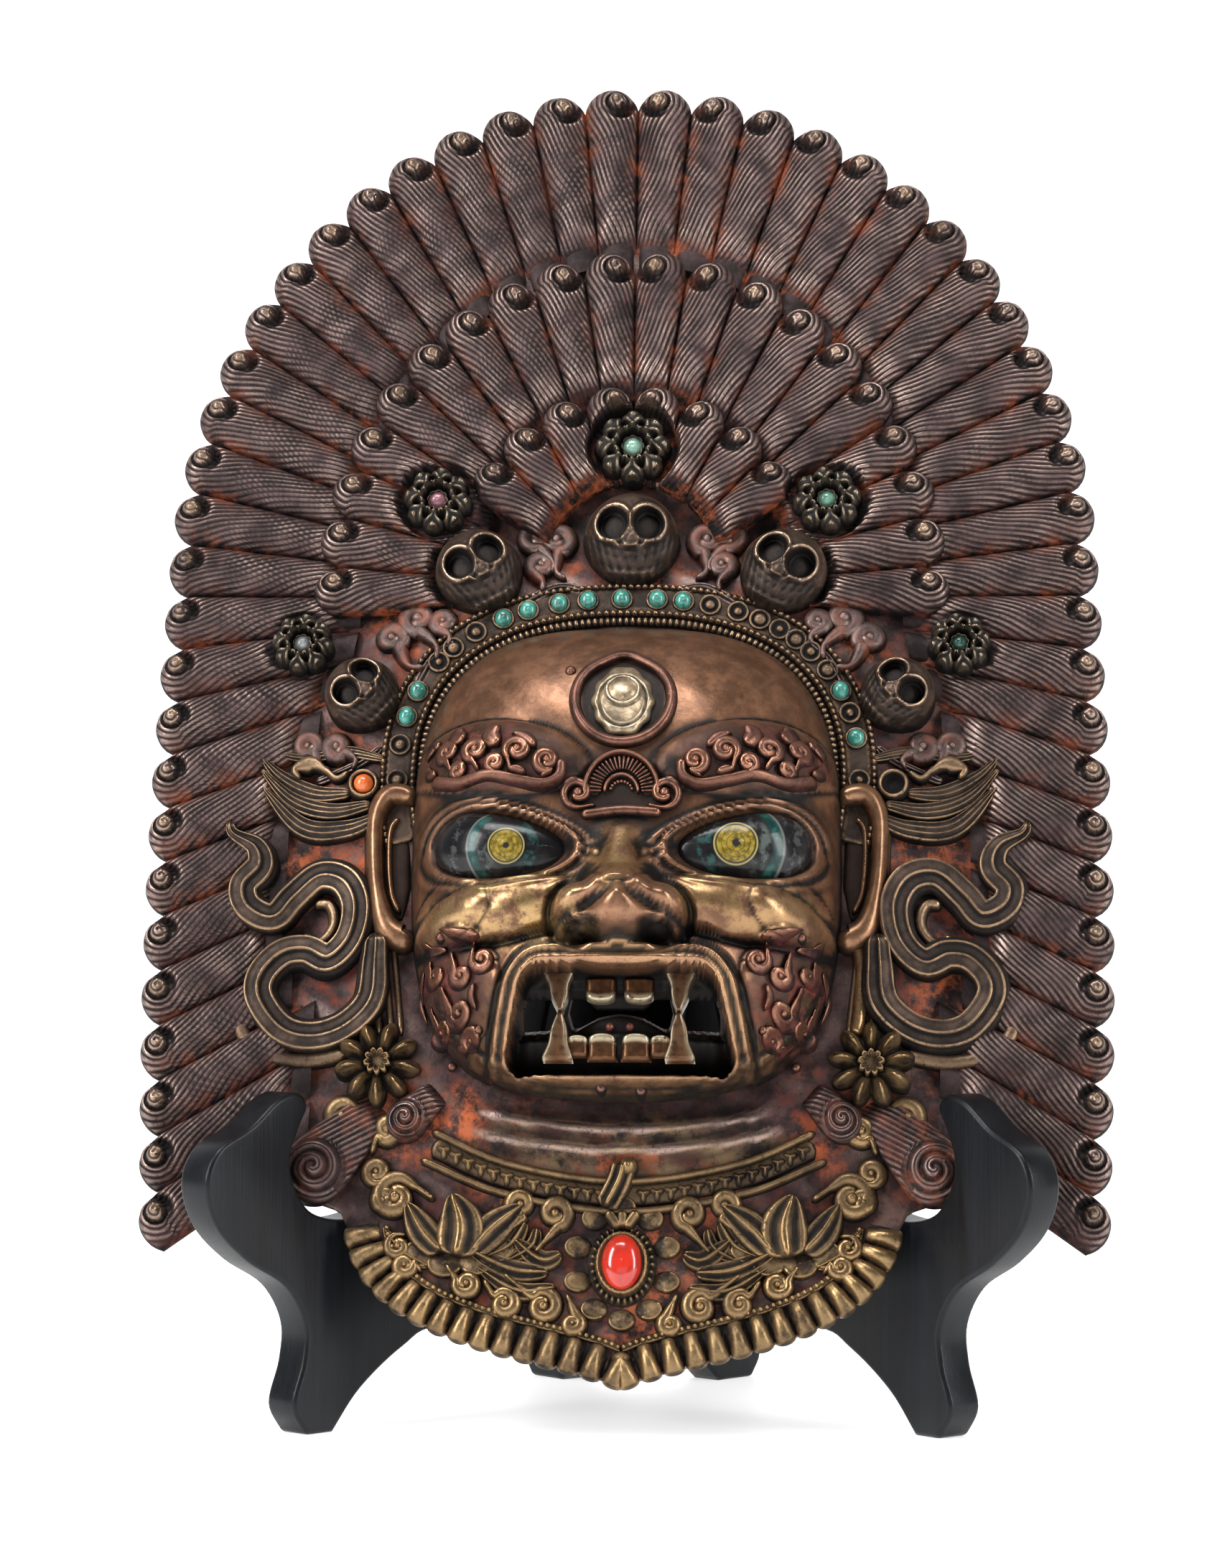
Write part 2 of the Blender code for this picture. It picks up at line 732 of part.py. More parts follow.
def seats():
    """Every flat seat on the mantle: its outline and the height above the sheet."""
    found = []
    for _, u, v, size, _ in SKULLS:
        for side in (1, -1) if u else (1,):
            found.append((circle((side * u, v), size + 0.8, 14, 1.06), SKULL_SEAT))
    for _, u, v, size in ROSETTES:
        for side in (1, -1) if u else (1,):
            found.append((circle((side * u, v), size + 0.8, 12), ROSETTE_SEAT))
    for side in (1, -1):
        place = (side * JAW_FLOWER_PLACE[0], JAW_FLOWER_PLACE[1])
        found.append((circle(place, JAW_FLOWER_RADIUS + 0.8, 14), SKULL_SEAT))
    for angle in TURQUOISE_ANGLES:
        centre = band_point(math.radians(angle))
        found.append((circle(centre, CABOCHON_RADIUS + 0.5, 6), BAND_RISE))
    found.append((circle(FAN_BEAD_PLACE, CABOCHON_RADIUS + 0.7, 6), FAN_RISE))
    squash = CORAL_SIZE[1] / CORAL_SIZE[0]
    found.append((circle(CORAL_PLACE, CORAL_SIZE[0] + 0.7, 12, squash), CORAL_SEAT))
    return found


def seat_height(polygon, rise):
    middle = np.mean(np.array(polygon), axis=0)
    return float(lift(*middle)) + SHEET + rise


def make_mantle(parent):
    outline, heights = mantle_outline()
    hole = face_outline(44, FACE_OPENING)
    relief = Relief(1.8)
    for (u, v), w in zip(outline, heights):
        relief.points.append((u, v, w))
    for u, v in hole:
        relief.points.append((u, v, SHEET + SEAT_LIFT))
    loop = list(range(len(outline)))
    hole_loop = list(range(len(outline), len(outline) + len(hole)))
    relief.ring(loop)
    relief.ring(hole_loop)
    relief.cover(hole)
    face_seat = face_outline(44, 1.0, SEAT_MARGIN)
    relief.seat(face_seat, SHEET + SEAT_LIFT)
    for polygon, rise in seats():
        relief.seat(polygon, seat_height(polygon, rise))
    add_band(relief, arch_band(-16, 196, 28), BAND_BREADTH / 2, BAND_RISE)
    for side in (1, -1):
        add_ear(relief, side)
        add_fan(relief, side)
        scarf = [(side * u, v) for u, v in SCARF_POINTS]
        add_band(relief, spline(scarf, 2), SCARF_HALF_WIDTH, SCARF_RISE)
        for place, radius, heading, length in SPIRAL_LOCKS:
            add_spiral_lock(relief, side, place, radius, heading, length)
    add_collar(relief)
    third = (third_arch, THIRD_PITCH, THIRD_PAIRS, THIRD_REACH, THIRD_LENGTH)
    second = (second_arch, SECOND_PITCH, SECOND_PAIRS, SECOND_REACH, SECOND_LENGTH)
    outer = (outer_arch, outer_pitch(), OUTER_PAIRS, OUTER_REACH, OUTER_LENGTH)
    add_lock_row(relief, *third, 2 * ROW_STEP, 0.5, True)
    add_lock_row(relief, *second, ROW_STEP, 0.35, True)
    add_lock_row(relief, *outer, 0.0, 0.3)
    front = relief.points
    front_faces = triangles(front, relief.rings, [hole_loop], relief.edges)
    back = [(u, v, float(lift(u, v))) for u, v in outline]
    back += [(u, v, SEAT_LIFT) for u, v in hole]
    back += back_points()
    back_faces = triangles(back, [loop, hole_loop], [hole_loop])
    shift = len(front)
    faces = list(front_faces)
    faces += [tuple(shift + i for i in reversed(face)) for face in back_faces]
    faces += wall(loop, shift) + wall(hole_loop, shift)
    return new_object("feather_mantle", front + back, faces, "copper", parent)


def back_points():
    """The back of the sheet follows the swell round the face."""
    points = []
    for ring in (2.0, 12.0, 22.0, LIFT_REACH + 1.0):
        for u, v in face_outline(24, 1.0, SEAT_MARGIN + ring):
            if outer_clear(u, v):
                points.append((u, v, float(lift(u, v))))
    return points


def outer_clear(u, v):
    """Whether a point is well inside the mantle's lower outline."""
    collar = COLLAR_START[1] * (1.0 - (abs(u) / 150.0) ** 4)
    return v > collar - 20.0 + abs(u) * 0.25 and abs(u) < OUTER_HALF_WIDTH - 4.0


def wall(loop, shift):
    """Faces that join a loop on the front to the same loop on the back."""
    faces = []
    for i, start in enumerate(loop):
        end = loop[(i + 1) % len(loop)]
        faces.append((start, end, end + shift))
        faces.append((start, end + shift, start + shift))
    return faces


# The face: a hollow dome, its features as one height over the mask's plane


def mound(u, v, place, size, rise, power=1.0, tilt=0.0):
    """A smooth mound with an elliptical foot."""
    turn = math.radians(tilt)
    du = u - place[0]
    dv = v - place[1]
    along = (du * math.cos(turn) + dv * math.sin(turn)) / size[0]
    across = (-du * math.sin(turn) + dv * math.cos(turn)) / size[1]
    return rise * np.clip(1.0 - along**2 - across**2, 0.0, None) ** power


def mouth_distance(u, v):
    """Distance from the edge of the mouth's opening, positive outside."""
    low = (MOUTH_CENTRE + MOUTH_HALF_HEIGHT - v) / (2 * MOUTH_HALF_HEIGHT)
    half = MOUTH_TOP_HALF + (MOUTH_BOTTOM_HALF - MOUTH_TOP_HALF) * np.clip(low, 0.0, 1.0)
    corner = 5.0
    across = np.abs(u) - half + corner
    along = np.abs(v - MOUTH_CENTRE) - MOUTH_HALF_HEIGHT + corner
    outside = np.hypot(np.clip(across, 0.0, None), np.clip(along, 0.0, None))
    return outside + np.minimum(np.maximum(across, along), 0.0) - corner


def face_height(u, v):
    """Height of the face over its rim."""
    u = np.asarray(u, float)
    v = np.asarray(v, float)
    side = np.abs(u)
    radius = np.clip(face_radius(u, v), 0.0, 1.0)
    height = FACE_DEPTH * (1.0 - radius**3.4) ** 0.62
    height += mound(side, v, BROW_PLACE, (25.0, 10.5), 5.5, 0.7, 8.0)
    eye = np.hypot((side - EYE_PLACE[0]) / EYE_SIZE[0], (v - EYE_PLACE[1]) / EYE_SIZE[1])
    height -= 7.0 * (1.0 - smoothstep((eye - 0.75) / 0.3))
    height += 7.0 * np.sqrt(np.clip(1.0 - (eye / 0.88) ** 2, 0.0, None))
    height += 2.6 * np.exp(-(((eye - 1.1) / 0.12) ** 2))
    height += mound(side, v, (30.0, -37.5), (25.0, 8.0), 6.5, 0.7, -6.0)
    height += mound(u, v, (0.0, -28.0), (9.5, 22.0), 15.0, 0.7)
    height += mound(u, v, (0.0, -38.0), (8.5, 9.0), 8.0, 0.6)
    height += mound(side, v, (10.5, -40.5), (7.2, 7.2), 12.0, 0.5)
    height -= mound(side, v, (9.5, -46.0), (3.6, 2.4), 3.0, 0.6)
    height += mound(u, v, (0.0, -2.5), (14.5, 7.5), 5.0, 0.6)
    height += mound(u, v, (0.0, 20.0), (14.0, 15.0), 3.0, 0.3)
    height += mound(u, v, (0.0, 19.0), (8.0, 10.0), 2.6, 0.5)
    height += mound(side, v, (42.5, -55.5), (12.0, 14.5), 4.0, 0.6)
    gap = mouth_distance(u, v)
    muzzle = 1.0 - smoothstep(gap / 14.0)
    height += muzzle * 5.0
    lip = 1.0 - np.clip(np.abs(gap - MOUTH_RIM / 2) / (MOUTH_RIM * 0.8), 0.0, 1.0) ** 2
    height += lip * 4.5
    height -= (MOUTH_RECESS + 5.0) * smoothstep(-gap / 2.0 + 0.1)
    fangs = mound(side, v, (FANG_PLACE, -55.5), (3.4, 8.0), 6.0, 0.6)
    fangs += mound(side, v, (FANG_PLACE, -72.0), (3.4, 8.0), 6.0, 0.6)
    teeth = mound(side, v, (4.0, -58.0), (3.6, 4.0), 4.0, 0.5)
    teeth += mound(side, v, (4.2, -72.0), (3.2, 3.0), 3.6, 0.5)
    teeth += mound(side, v, (9.8, -71.5), (2.4, 2.6), 3.0, 0.5)
    height += np.where(gap < 0.0, fangs + teeth, 0.0)
    return np.clip(height, 0.0, None)


def mouth_slots():
    """The openings between the gums: one at each side of a fang, and one above the tongue."""
    slots = []
    waist = FANG_WIDTH * 0.22
    outer_start = FANG_PLACE + waist
    middle = (SLOT_TOP + SLOT_BOTTOM) / 2
    outer_end = 26.5
    side_slot = [
        (outer_start + 0.9, SLOT_TOP),
        (outer_end - 1.5, SLOT_TOP),
        (outer_end, middle),
        (outer_end, SLOT_BOTTOM),
        (outer_start + 0.9, SLOT_BOTTOM),
        (outer_start, middle),
    ]
    slots.append(side_slot)
    slots.append([(-u, v) for u, v in reversed(side_slot)])
    inner = FANG_PLACE - waist
    above_tongue = [
        (inner - 1.0, SLOT_BOTTOM + 0.4),
        (inner, middle),
        (inner - 1.0, SLOT_TOP),
        (9.0, SLOT_TOP),
        (6.0, SLOT_TOP - 2.6),
        (0.0, SLOT_TOP - 2.6),
    ]
    tongue = [
        (TONGUE_HALF_WIDTH * share, SLOT_BOTTOM + TONGUE_RISE * (1.0 - share**2))
        for share in (0.0, 0.5, 0.95)
    ]
    centre_slot = tongue + above_tongue
    centre_slot += [(-u, v) for u, v in reversed(above_tongue[:-1])]
    centre_slot += [(-u, v) for u, v in reversed(tongue[1:])]
    slots.append(centre_slot)
    return slots


def make_face(parent):
    rim = SHEET + SEAT_LIFT + FIT_GAP
    outline = face_outline(44)
    plan = Relief(FACE_STEP * 0.55)
    for loop in [outline] + mouth_slots():
        first = len(plan.points)
        plan.points += [(u, v, 0.0) for u, v in loop]
        plan.ring(list(range(first, len(plan.points))))
        if first:
            plan.cover(loop)
    for share in (0.985, 0.95, 0.88):
        for u, v in face_outline(44 if share > 0.9 else 36, share):
            plan.add(u, v, 0.0, 1.0)
    for distance in (-1.7, 0.2, MOUTH_RIM * 0.5, MOUTH_RIM * 1.4):
        around = [plan.add(u, v, 0.0, 1.0) for u, v in mouth_ring(distance, 24)]
        plan.crease(around + around[:1])
    features = [(0.0, -38.0), (0.0, -47.0), (0.0, -19.0)]
    for sign in (1, -1):
        features += [(sign * u, v) for u, v in FACE_MARKS]
        features += [(sign * FANG_PLACE, -55.5), (sign * FANG_PLACE, -72.0)]
        centre = (sign * EYE_PLACE[0], EYE_PLACE[1])
        for share, count in ((1.1, 16), (0.86, 14), (0.45, 6)):
            ring = circle(centre, EYE_SIZE[0] * share, count, EYE_SIZE[1] / EYE_SIZE[0])
            around = [plan.add(u, v, 0.0, 1.5) for u, v in ring]
            plan.crease(around + around[:1])
        features += [(sign * 4.0, -57.5), (sign * 4.2, -72.0), (sign * 9.8, -71.5)]
    for u, v in features:
        plan.add(u, v, 0.0, 1.5)
    rows = int((FACE_TOP - FACE_BOTTOM) / (FACE_STEP * 0.87)) + 1
    for row in range(rows):
        v = FACE_BOTTOM + row * FACE_STEP * 0.87
        shift = FACE_STEP / 2 * (row % 2)
        for column in range(-12, 13):
            u = column * FACE_STEP + shift
            if face_radius(u, v) < 0.86:
                plan.add(u, v, 0.0)
    front = []
    inner = []
    shrink = 1.0 - FACE_WALL / FACE_HALF_WIDTH
    for i, (u, v, _) in enumerate(plan.points):
        height = float(face_height(u, v)) if i >= len(outline) else 0.0
        front.append((u, v, rim + height))
        around = [height]
        for k in range(8):
            turn = math.pi * k / 4
            near_u = u + 2.6 * math.cos(turn)
            near_v = v + 2.6 * math.sin(turn)
            around.append(float(face_height(near_u, near_v)))
        depth = max(0.0, min(around) - FACE_WALL) if i >= len(outline) else 0.0
        inner.append((u * shrink, FACE_CENTRE + (v - FACE_CENTRE) * shrink, rim + depth))
    faces = triangles(plan.points, plan.rings, plan.rings[1:], plan.edges)
    shift = len(front)
    solid = list(faces) + [tuple(shift + i for i in reversed(face)) for face in faces]
    for loop in plan.rings:
        solid += wall(loop, shift)
    return new_object("face", front + inner, solid, "bright_copper", parent)


def mouth_ring(distance, count):
    """Points at a distance outside the mouth's opening."""
    points = []
    for i in range(count):
        turn = 2 * math.pi * (i + 0.5) / count
        away = np.array([math.cos(turn) * 1.35, math.sin(turn) * 0.6])
        low = 0.0
        high = 40.0
        for _ in range(24):
            middle = (low + high) / 2
            point = away * middle
            if mouth_distance(point[0], MOUTH_CENTRE + point[1]) < distance:
                low = middle
            else:
                high = middle
        points.append((away[0] * low, MOUTH_CENTRE + away[1] * low))
    return points


# Pieces that are set on the mantle


def rings_solid(name, rings, crown, finish, parent):
    """A closed solid from stacked rings of equal count, closed by a base and a crown point."""
    points = [point for ring in rings for point in ring]
    count = len(rings[0])
    faces = [tuple(range(count - 1, -1, -1))]
    for level in range(len(rings) - 1):
        for i in range(count):
            j = (i + 1) % count
            low, high = level * count, (level + 1) * count
            faces.append((low + i, low + j, high + j, high + i))
    last = (len(rings) - 1) * count
    points.append(crown)
    for i in range(count):
        faces.append((last + i, last + (i + 1) % count, len(points) - 1))
    return new_object(name, points, faces, finish, parent)


def skull_height(du, dv, size):
    """Height of a skull over its base: a round dome with sockets, nose and jaw."""
    radius = math.hypot(du / 0.98, dv / 1.04) / size
    height = SKULL_RISE * math.sqrt(max(0.0, 1.0 - radius**2.6))
    for side in (1, -1):
        away = math.hypot(du - side * 0.36 * size, (dv - 0.12 * size) * 0.85) / size
        height -= 3.2 * max(0.0, 1.0 - (away / 0.27) ** 2)
    nose = math.hypot(du / 0.14, (dv + 0.22 * size) / 0.2) / size
    height -= 1.6 * max(0.0, 1.0 - nose**2)
    grin = abs(dv + (0.58 - 0.25 * (du / size) ** 2) * size) / size
    height -= 1.3 * max(0.0, 1.0 - (grin / 0.1) ** 2)
    return height


def make_skull(name, u, v, size, tilt, parent):
    base = seat_height(circle((u, v), size, 14, 1.06), SKULL_SEAT) + FIT_GAP
    turn = math.radians(tilt)
    count = 12
    shares = (1.0, 0.93, 0.72, 0.48, 0.24)
    rings = []
    for level, share in enumerate([1.0] + list(shares)):
        ring = []
        for i in range(count):
            angle = 2 * math.pi * (i + 0.5) / count
            du = size * share * math.cos(angle) * 0.98
            dv = size * share * math.sin(angle) * 1.04
            height = 0.0 if level == 0 else max(1.2, skull_height(du, dv, size))
            ring.append(
                (
                    u + du * math.cos(turn) - dv * math.sin(turn),
                    v + du * math.sin(turn) + dv * math.cos(turn),
                    base + height,
                )
            )
        rings.append(ring)
    crown = (u, v, base + skull_height(0.0, 0.0, size))
    return rings_solid(name, rings, crown, "bright_copper", parent)


def make_flower(name, u, v, size, petals, rise, seat_rise, finish, parent, well):
    """Rounded petals round a bezel, which may have a flat well for a stone."""
    base = seat_height(circle((u, v), size, 12), seat_rise) + FIT_GAP
    count = petals * 2
    steps = (
        (1.0, 0.0, 0.0),
        (1.0, 0.7, 0.9),
        (0.78, rise * 0.55, rise * 0.95),
        (0.44, rise * 0.5, rise * 0.6),
        (0.36, rise, rise),
    )
    rings = []
    for share, low, high in steps:
        ring = []
        for i in range(count):
            angle = 2 * math.pi * i / count
            dip = 0.86 if share > 0.9 and i % 2 else 1.0
            radius = size * share * dip
            height = low if i % 2 else high
            ring.append((u + radius * math.cos(angle), v + radius * math.sin(angle), base + height))
        rings.append(ring)
    floor = rise - well
    if well > 0.0:
        rings.append([(pu, pv, base + floor) for pu, pv in circle((u, v), size * 0.31, count)])
    crown = (u, v, base + (floor if well > 0.0 else rise + 0.8))
    rings_solid(name, rings, crown, finish, parent)
    return base + floor


def make_stone(name, u, v, base, radius, rise, finish, parent, squash=1.0, count=7):
    """A low domed stone on a flat base."""
    rings = []
    for share, height in ((1.0, 0.0), (1.0, 0.45), (0.66, 0.86)):
        rings.append(
            [
                (pu, pv, base + rise * height)
                for pu, pv in circle((u, v), radius * share, count, squash)
            ]
        )
    return rings_solid(name, rings, (u, v, base + rise), finish, parent)


def both_sides(name, u):
    """The name and the side of each copy of a piece: a pair, or one in the middle."""
    if u == 0.0:
        return ((name, 0.0),)
    return (("right_" + name, 1.0), ("left_" + name, -1.0))


def make_set_pieces(parent):
    for name, u, v, size, tilt in SKULLS:
        for full_name, side in both_sides(name, u):
            make_skull(full_name, side * u, v, size, side * tilt, parent)
    for name, u, v, size in ROSETTES:
        for full_name, side in both_sides(name, u):
            form = (size, ROSETTE_PETALS, ROSETTE_RISE, ROSETTE_SEAT, "copper")
            floor = make_flower(full_name, side * u, v, *form, parent, 0.8)
            stone = (floor + FIT_GAP, size * 0.26, 1.8, "glass_stone")
            make_stone(full_name + "_stone", side * u, v, *stone, parent)
    u, v = JAW_FLOWER_PLACE
    for full_name, side in both_sides("jaw_flower", u):
        form = (JAW_FLOWER_RADIUS, JAW_FLOWER_PETALS, JAW_FLOWER_RISE, SKULL_SEAT, "gilding")
        make_flower(full_name, side * u, v, *form, parent, 0.0)
    for number, angle in enumerate(TURQUOISE_ANGLES, 1):
        u, v = band_point(math.radians(angle))
        base = seat_height(circle((u, v), CABOCHON_RADIUS, 6), BAND_RISE) + FIT_GAP
        stone = (base, CABOCHON_RADIUS * 0.84, CABOCHON_RISE, "turquoise")
        make_stone(f"turquoise_{number:02d}", u, v, *stone, parent, 1.0, 6)
    u, v = FAN_BEAD_PLACE
    base = seat_height(circle((u, v), CABOCHON_RADIUS, 6), FAN_RISE) + FIT_GAP
    make_stone("fan_coral", u, v, base, CABOCHON_RADIUS, 3.0, "coral", parent)
    u, v = CORAL_PLACE
    base = seat_height(circle((u, v), CORAL_SIZE[0], 12), CORAL_SEAT) + FIT_GAP
    squash = CORAL_SIZE[1] / CORAL_SIZE[0]
    stone = (base, CORAL_SIZE[0], CORAL_RISE, "coral")
    make_stone("collar_coral", u, v, *stone, parent, squash, 10)


# The stand: two boards that cross, each lapped half way up over the other


def board_profile():
    """The outline of a board, from the front foot round by the hook and the upright."""
    rear_foot = REAR_REACH - FOOT_FLAT - 4.0
    points = [
        (FOOT_REACH + 4.5, 8.0),
        (FOOT_REACH + 1.0, 19.0),
        (FOOT_REACH + 0.5, 29.0),
        (FOOT_REACH + 7.0, 39.0),
        (HOOK_REACH - 14.0, 46.5),
        (HOOK_REACH - 4.0, 55.5),
        (HOOK_REACH, 66.5),
        (HOOK_REACH - 4.0, 75.5),
        (HOOK_REACH - 15.0, 81.0),
        (HOOK_REACH - 24.0, HOOK_HEIGHT - 1.6),
        (HOOK_REACH - 31.0, HOOK_HEIGHT),
        (HOOK_REACH - 34.2, HOOK_HEIGHT - 3.6),
        (HOOK_REACH - 31.5, HOOK_HEIGHT - 9.0),
        (HOOK_REACH - 28.6, HOOK_HEIGHT - 16.0),
        (HOOK_REACH - 29.4, SADDLE_DEPTH + 10.0),
        (SADDLE_R + 9.0, SADDLE_DEPTH + 2.2),
        (SADDLE_R, SADDLE_DEPTH - 0.6),
        (SADDLE_R - 9.0, SADDLE_DEPTH - 0.2),
        (SADDLE_R - 24.0, SADDLE_DEPTH + 3.0),
        (UPRIGHT_FRONT + 34.0, SADDLE_DEPTH + 9.0),
        (UPRIGHT_FRONT + 16.0, SADDLE_DEPTH + 22.0),
        (UPRIGHT_FRONT + 5.0, SADDLE_DEPTH + 45.0),
        (UPRIGHT_FRONT - 2.0, SADDLE_DEPTH + 80.0),
        (UPRIGHT_FRONT - 1.0, UPRIGHT_HEIGHT - 45.0),
        (UPRIGHT_FRONT + 1.0, UPRIGHT_HEIGHT - 14.0),
        (UPRIGHT_FRONT - 3.0, UPRIGHT_HEIGHT - 3.0),
        (UPRIGHT_FRONT - 14.0, UPRIGHT_HEIGHT),
        (-UPRIGHT_BACK * 0.4, UPRIGHT_HEIGHT - 14.0),
        (-UPRIGHT_BACK + 1.0, UPRIGHT_HEIGHT - 40.0),
        (-UPRIGHT_BACK, LAP_HEIGHT + 20.0),
        (-UPRIGHT_BACK - 1.0, LAP_HEIGHT - 30.0),
        (-UPRIGHT_BACK - 7.0, 52.0),
        (-REAR_REACH + 5.0, 24.0),
        (-REAR_REACH, 8.0),
    ]
    curve = spline(points, BOARD_STEPS)
    rear = [(-REAR_REACH + 3.5, 0.0), (-rear_foot + 4.0, 0.0)]
    arch = [
        (-UPRIGHT_BACK + 3.0, 8.0),
        (0.0, 17.0),
        (38.0, 23.0),
        (80.0, 24.5),
        (FOOT_REACH - 34.0, 20.0),
        (FOOT_REACH - 19.0, 10.5),
    ]
    front = [(FOOT_REACH - FOOT_FLAT, 0.0), (FOOT_REACH, 0.0)]
    return curve + rear + arch + front


def board_axes(side):
    """The board's direction in plan, from the crossing to its front foot, and across it."""
    turn = math.radians(BOARD_SPREAD_DEG)
    along = Vector((side * math.sin(turn), -math.cos(turn), 0.0))
    across = Vector((0.0, 0.0, 1.0)).cross(along)
    return along, across


def board_matrix(side):
    along, across = board_axes(side)
    up = Vector((0.0, 0.0, 1.0))
    frame = Matrix((along, up, along.cross(up))).transposed().to_4x4()
    frame.translation = Vector((0.0, BOARD_CROSSING * MM, 0.0))
    return frame


def make_board(name, side, parent):
    profile = board_profile()
    count = len(profile)
    half = BOARD_THICKNESS / 2
    points = [(r, z, -half) for r, z in profile] + [(r, z, half) for r, z in profile]
    faces = [tuple(range(count - 1, -1, -1)), tuple(range(count, 2 * count))]
    for i in range(count):
        j = (i + 1) % count
        faces.append((i, j, count + j, count + i))
    board = new_object(name, points, faces, "black_wood", None)
    rounding = board.modifiers.new("rounded_edges", "BEVEL")
    rounding.width = BOARD_ROUNDING * MM
    rounding.segments = 1
    rounding.limit_method = "ANGLE"
    rounding.angle_limit = math.radians(BOARD_ROUNDED_ANGLE)
    board.parent = parent
    board.matrix_world = board_matrix(side)
    return board


def make_lap_cutter(name, side, low, high, parent):
    """The room for the other board where the two cross."""
    half = BOARD_THICKNESS / 2 + FIT_GAP
    reach = UPRIGHT_FRONT + UPRIGHT_BACK + 60.0
    corners = ((-reach, low), (reach, low), (reach, high), (-reach, high))
    points = [(r, z, w) for w in (-half, half) for r, z in corners]
    faces = [(3, 2, 1, 0), (4, 5, 6, 7)]
    faces += [(i, (i + 1) % 4, 4 + (i + 1) % 4, 4 + i) for i in range(4)]
    cutter = new_object(name, points, faces, "black_wood", None)
    cutter.hide_render = True
    cutter.display_type = "WIRE"
    cutter.parent = parent
    cutter.matrix_world = board_matrix(side)
    return cutter


def make_stand(parent):
    left = make_board("left_stand_board", -1, parent)
    right = make_board("right_stand_board", 1, parent)
    over = make_lap_cutter("upper_lap", 1, LAP_HEIGHT - FIT_GAP / 2, UPRIGHT_HEIGHT + 20.0, parent)
    under = make_lap_cutter("lower_lap", -1, -20.0, LAP_HEIGHT + FIT_GAP / 2, parent)
    for board, cutter in ((left, over), (right, under)):
        cut = board.modifiers.new("lap", "BOOLEAN")
        cut.operation = "DIFFERENCE"
        cut.solver = "EXACT"
        cut.object = cutter
    return left, right


def make_anchor(name, matrix, parent=None):
    anchor = bpy.data.objects.new(name, None)
    bpy.context.scene.collection.objects.link(anchor)
    anchor.parent = parent
    anchor.matrix_world = matrix
    return anchor


def mask_matrix():
    """From the mask's plane to the world: v leans back and w faces forward."""
    lean = math.radians(LEAN_DEG)
    place = Matrix.Translation(Vector((0.0, 0.0, HUB_HEIGHT * MM)))
    return place @ Matrix.Rotation(math.pi / 2 - lean, 4, "X")


def centre_on_floor(root):
    """Moves the whole object so that its box is centred over the origin."""
    bpy.context.view_layer.update()
    graph = bpy.context.evaluated_depsgraph_get()
    low = Vector((1e9, 1e9, 1e9))
    high = -low
    for obj in bpy.context.scene.objects:
        if obj.type != "MESH" or obj.hide_render:
            continue
        shape = obj.evaluated_get(graph)
        for vertex in shape.data.vertices:
            point = shape.matrix_world @ vertex.co
            low = Vector(map(min, low, point))
            high = Vector(map(max, high, point))
    root.location = Vector((-(low.x + high.x) / 2, -(low.y + high.y) / 2, -low.z))


def main():
    clear_scene()
    root = make_anchor("origin", Matrix.Identity(4))
    plane = make_anchor("mask_plane", mask_matrix(), root)
    make_mantle(plane)
    make_face(plane)
    make_set_pieces(plane)
    make_stand(root)
    centre_on_floor(root)


main()
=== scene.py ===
"""Looks of a wrathful deity's mask in worked copper, leaning in a black wooden stand.

Shapes are worked out in millimetres on the mask's own plane, as in the solids they stand for:
u to the viewer's right, v up the mask and w out towards the viewer.
"""

import math

import bmesh
import bpy
import numpy as np
from mathutils import Matrix, Vector


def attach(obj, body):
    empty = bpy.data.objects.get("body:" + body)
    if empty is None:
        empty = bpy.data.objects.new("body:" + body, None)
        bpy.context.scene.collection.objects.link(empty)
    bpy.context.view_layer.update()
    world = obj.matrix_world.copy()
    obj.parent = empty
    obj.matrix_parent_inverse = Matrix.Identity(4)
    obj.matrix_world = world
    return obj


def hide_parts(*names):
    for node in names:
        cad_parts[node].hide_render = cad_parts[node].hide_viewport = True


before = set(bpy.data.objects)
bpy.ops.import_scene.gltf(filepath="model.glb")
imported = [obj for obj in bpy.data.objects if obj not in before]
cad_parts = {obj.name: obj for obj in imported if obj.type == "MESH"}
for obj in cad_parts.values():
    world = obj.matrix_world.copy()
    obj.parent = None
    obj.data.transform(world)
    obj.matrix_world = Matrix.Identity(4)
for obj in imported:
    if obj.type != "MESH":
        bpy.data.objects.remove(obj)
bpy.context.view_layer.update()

MM = 0.001
TAU = 2 * math.pi

# Placing
LEAN = math.radians(18.0)
HUB = np.array([0.0, -9.1, 159.0])
U_AXIS = np.array([1.0, 0.0, 0.0])
V_AXIS = np.array([0.0, math.sin(LEAN), math.cos(LEAN)])
W_AXIS = np.array([0.0, -math.cos(LEAN), math.sin(LEAN)])
FIT_GAP = 0.3

# Sheet and face
SHEET = 2.4
METAL = 1.2
SINK = 0.5
FACE_HALF_WIDTH = 57.0
FACE_TOP = 50.0
FACE_BOTTOM = -82.0
FACE_CENTRE = -14.0
FACE_POWER = 3.0
FACE_DEPTH = 36.0
FACE_WALL = 2.2
FACE_OPENING = 0.86
SEAT_LIFT = 7.0
SEAT_MARGIN = 2.2
LIFT_REACH = 30.0
RAY_HUB = 62.0


def ridge(x, width):
    """A soft ridge, 1 where x is 0."""
    return np.exp(-((x / width) ** 2))


def rest(x):
    """What is left of 1, never below 0."""
    return np.clip(1.0 - x, 0.0, None)


def around(count):
    """Even turns of a full circle."""
    return np.linspace(0.0, TAU, count, endpoint=False)


def smoothstep(x):
    x = np.clip(x, 0.0, 1.0)
    return x * x * (3.0 - 2.0 * x)


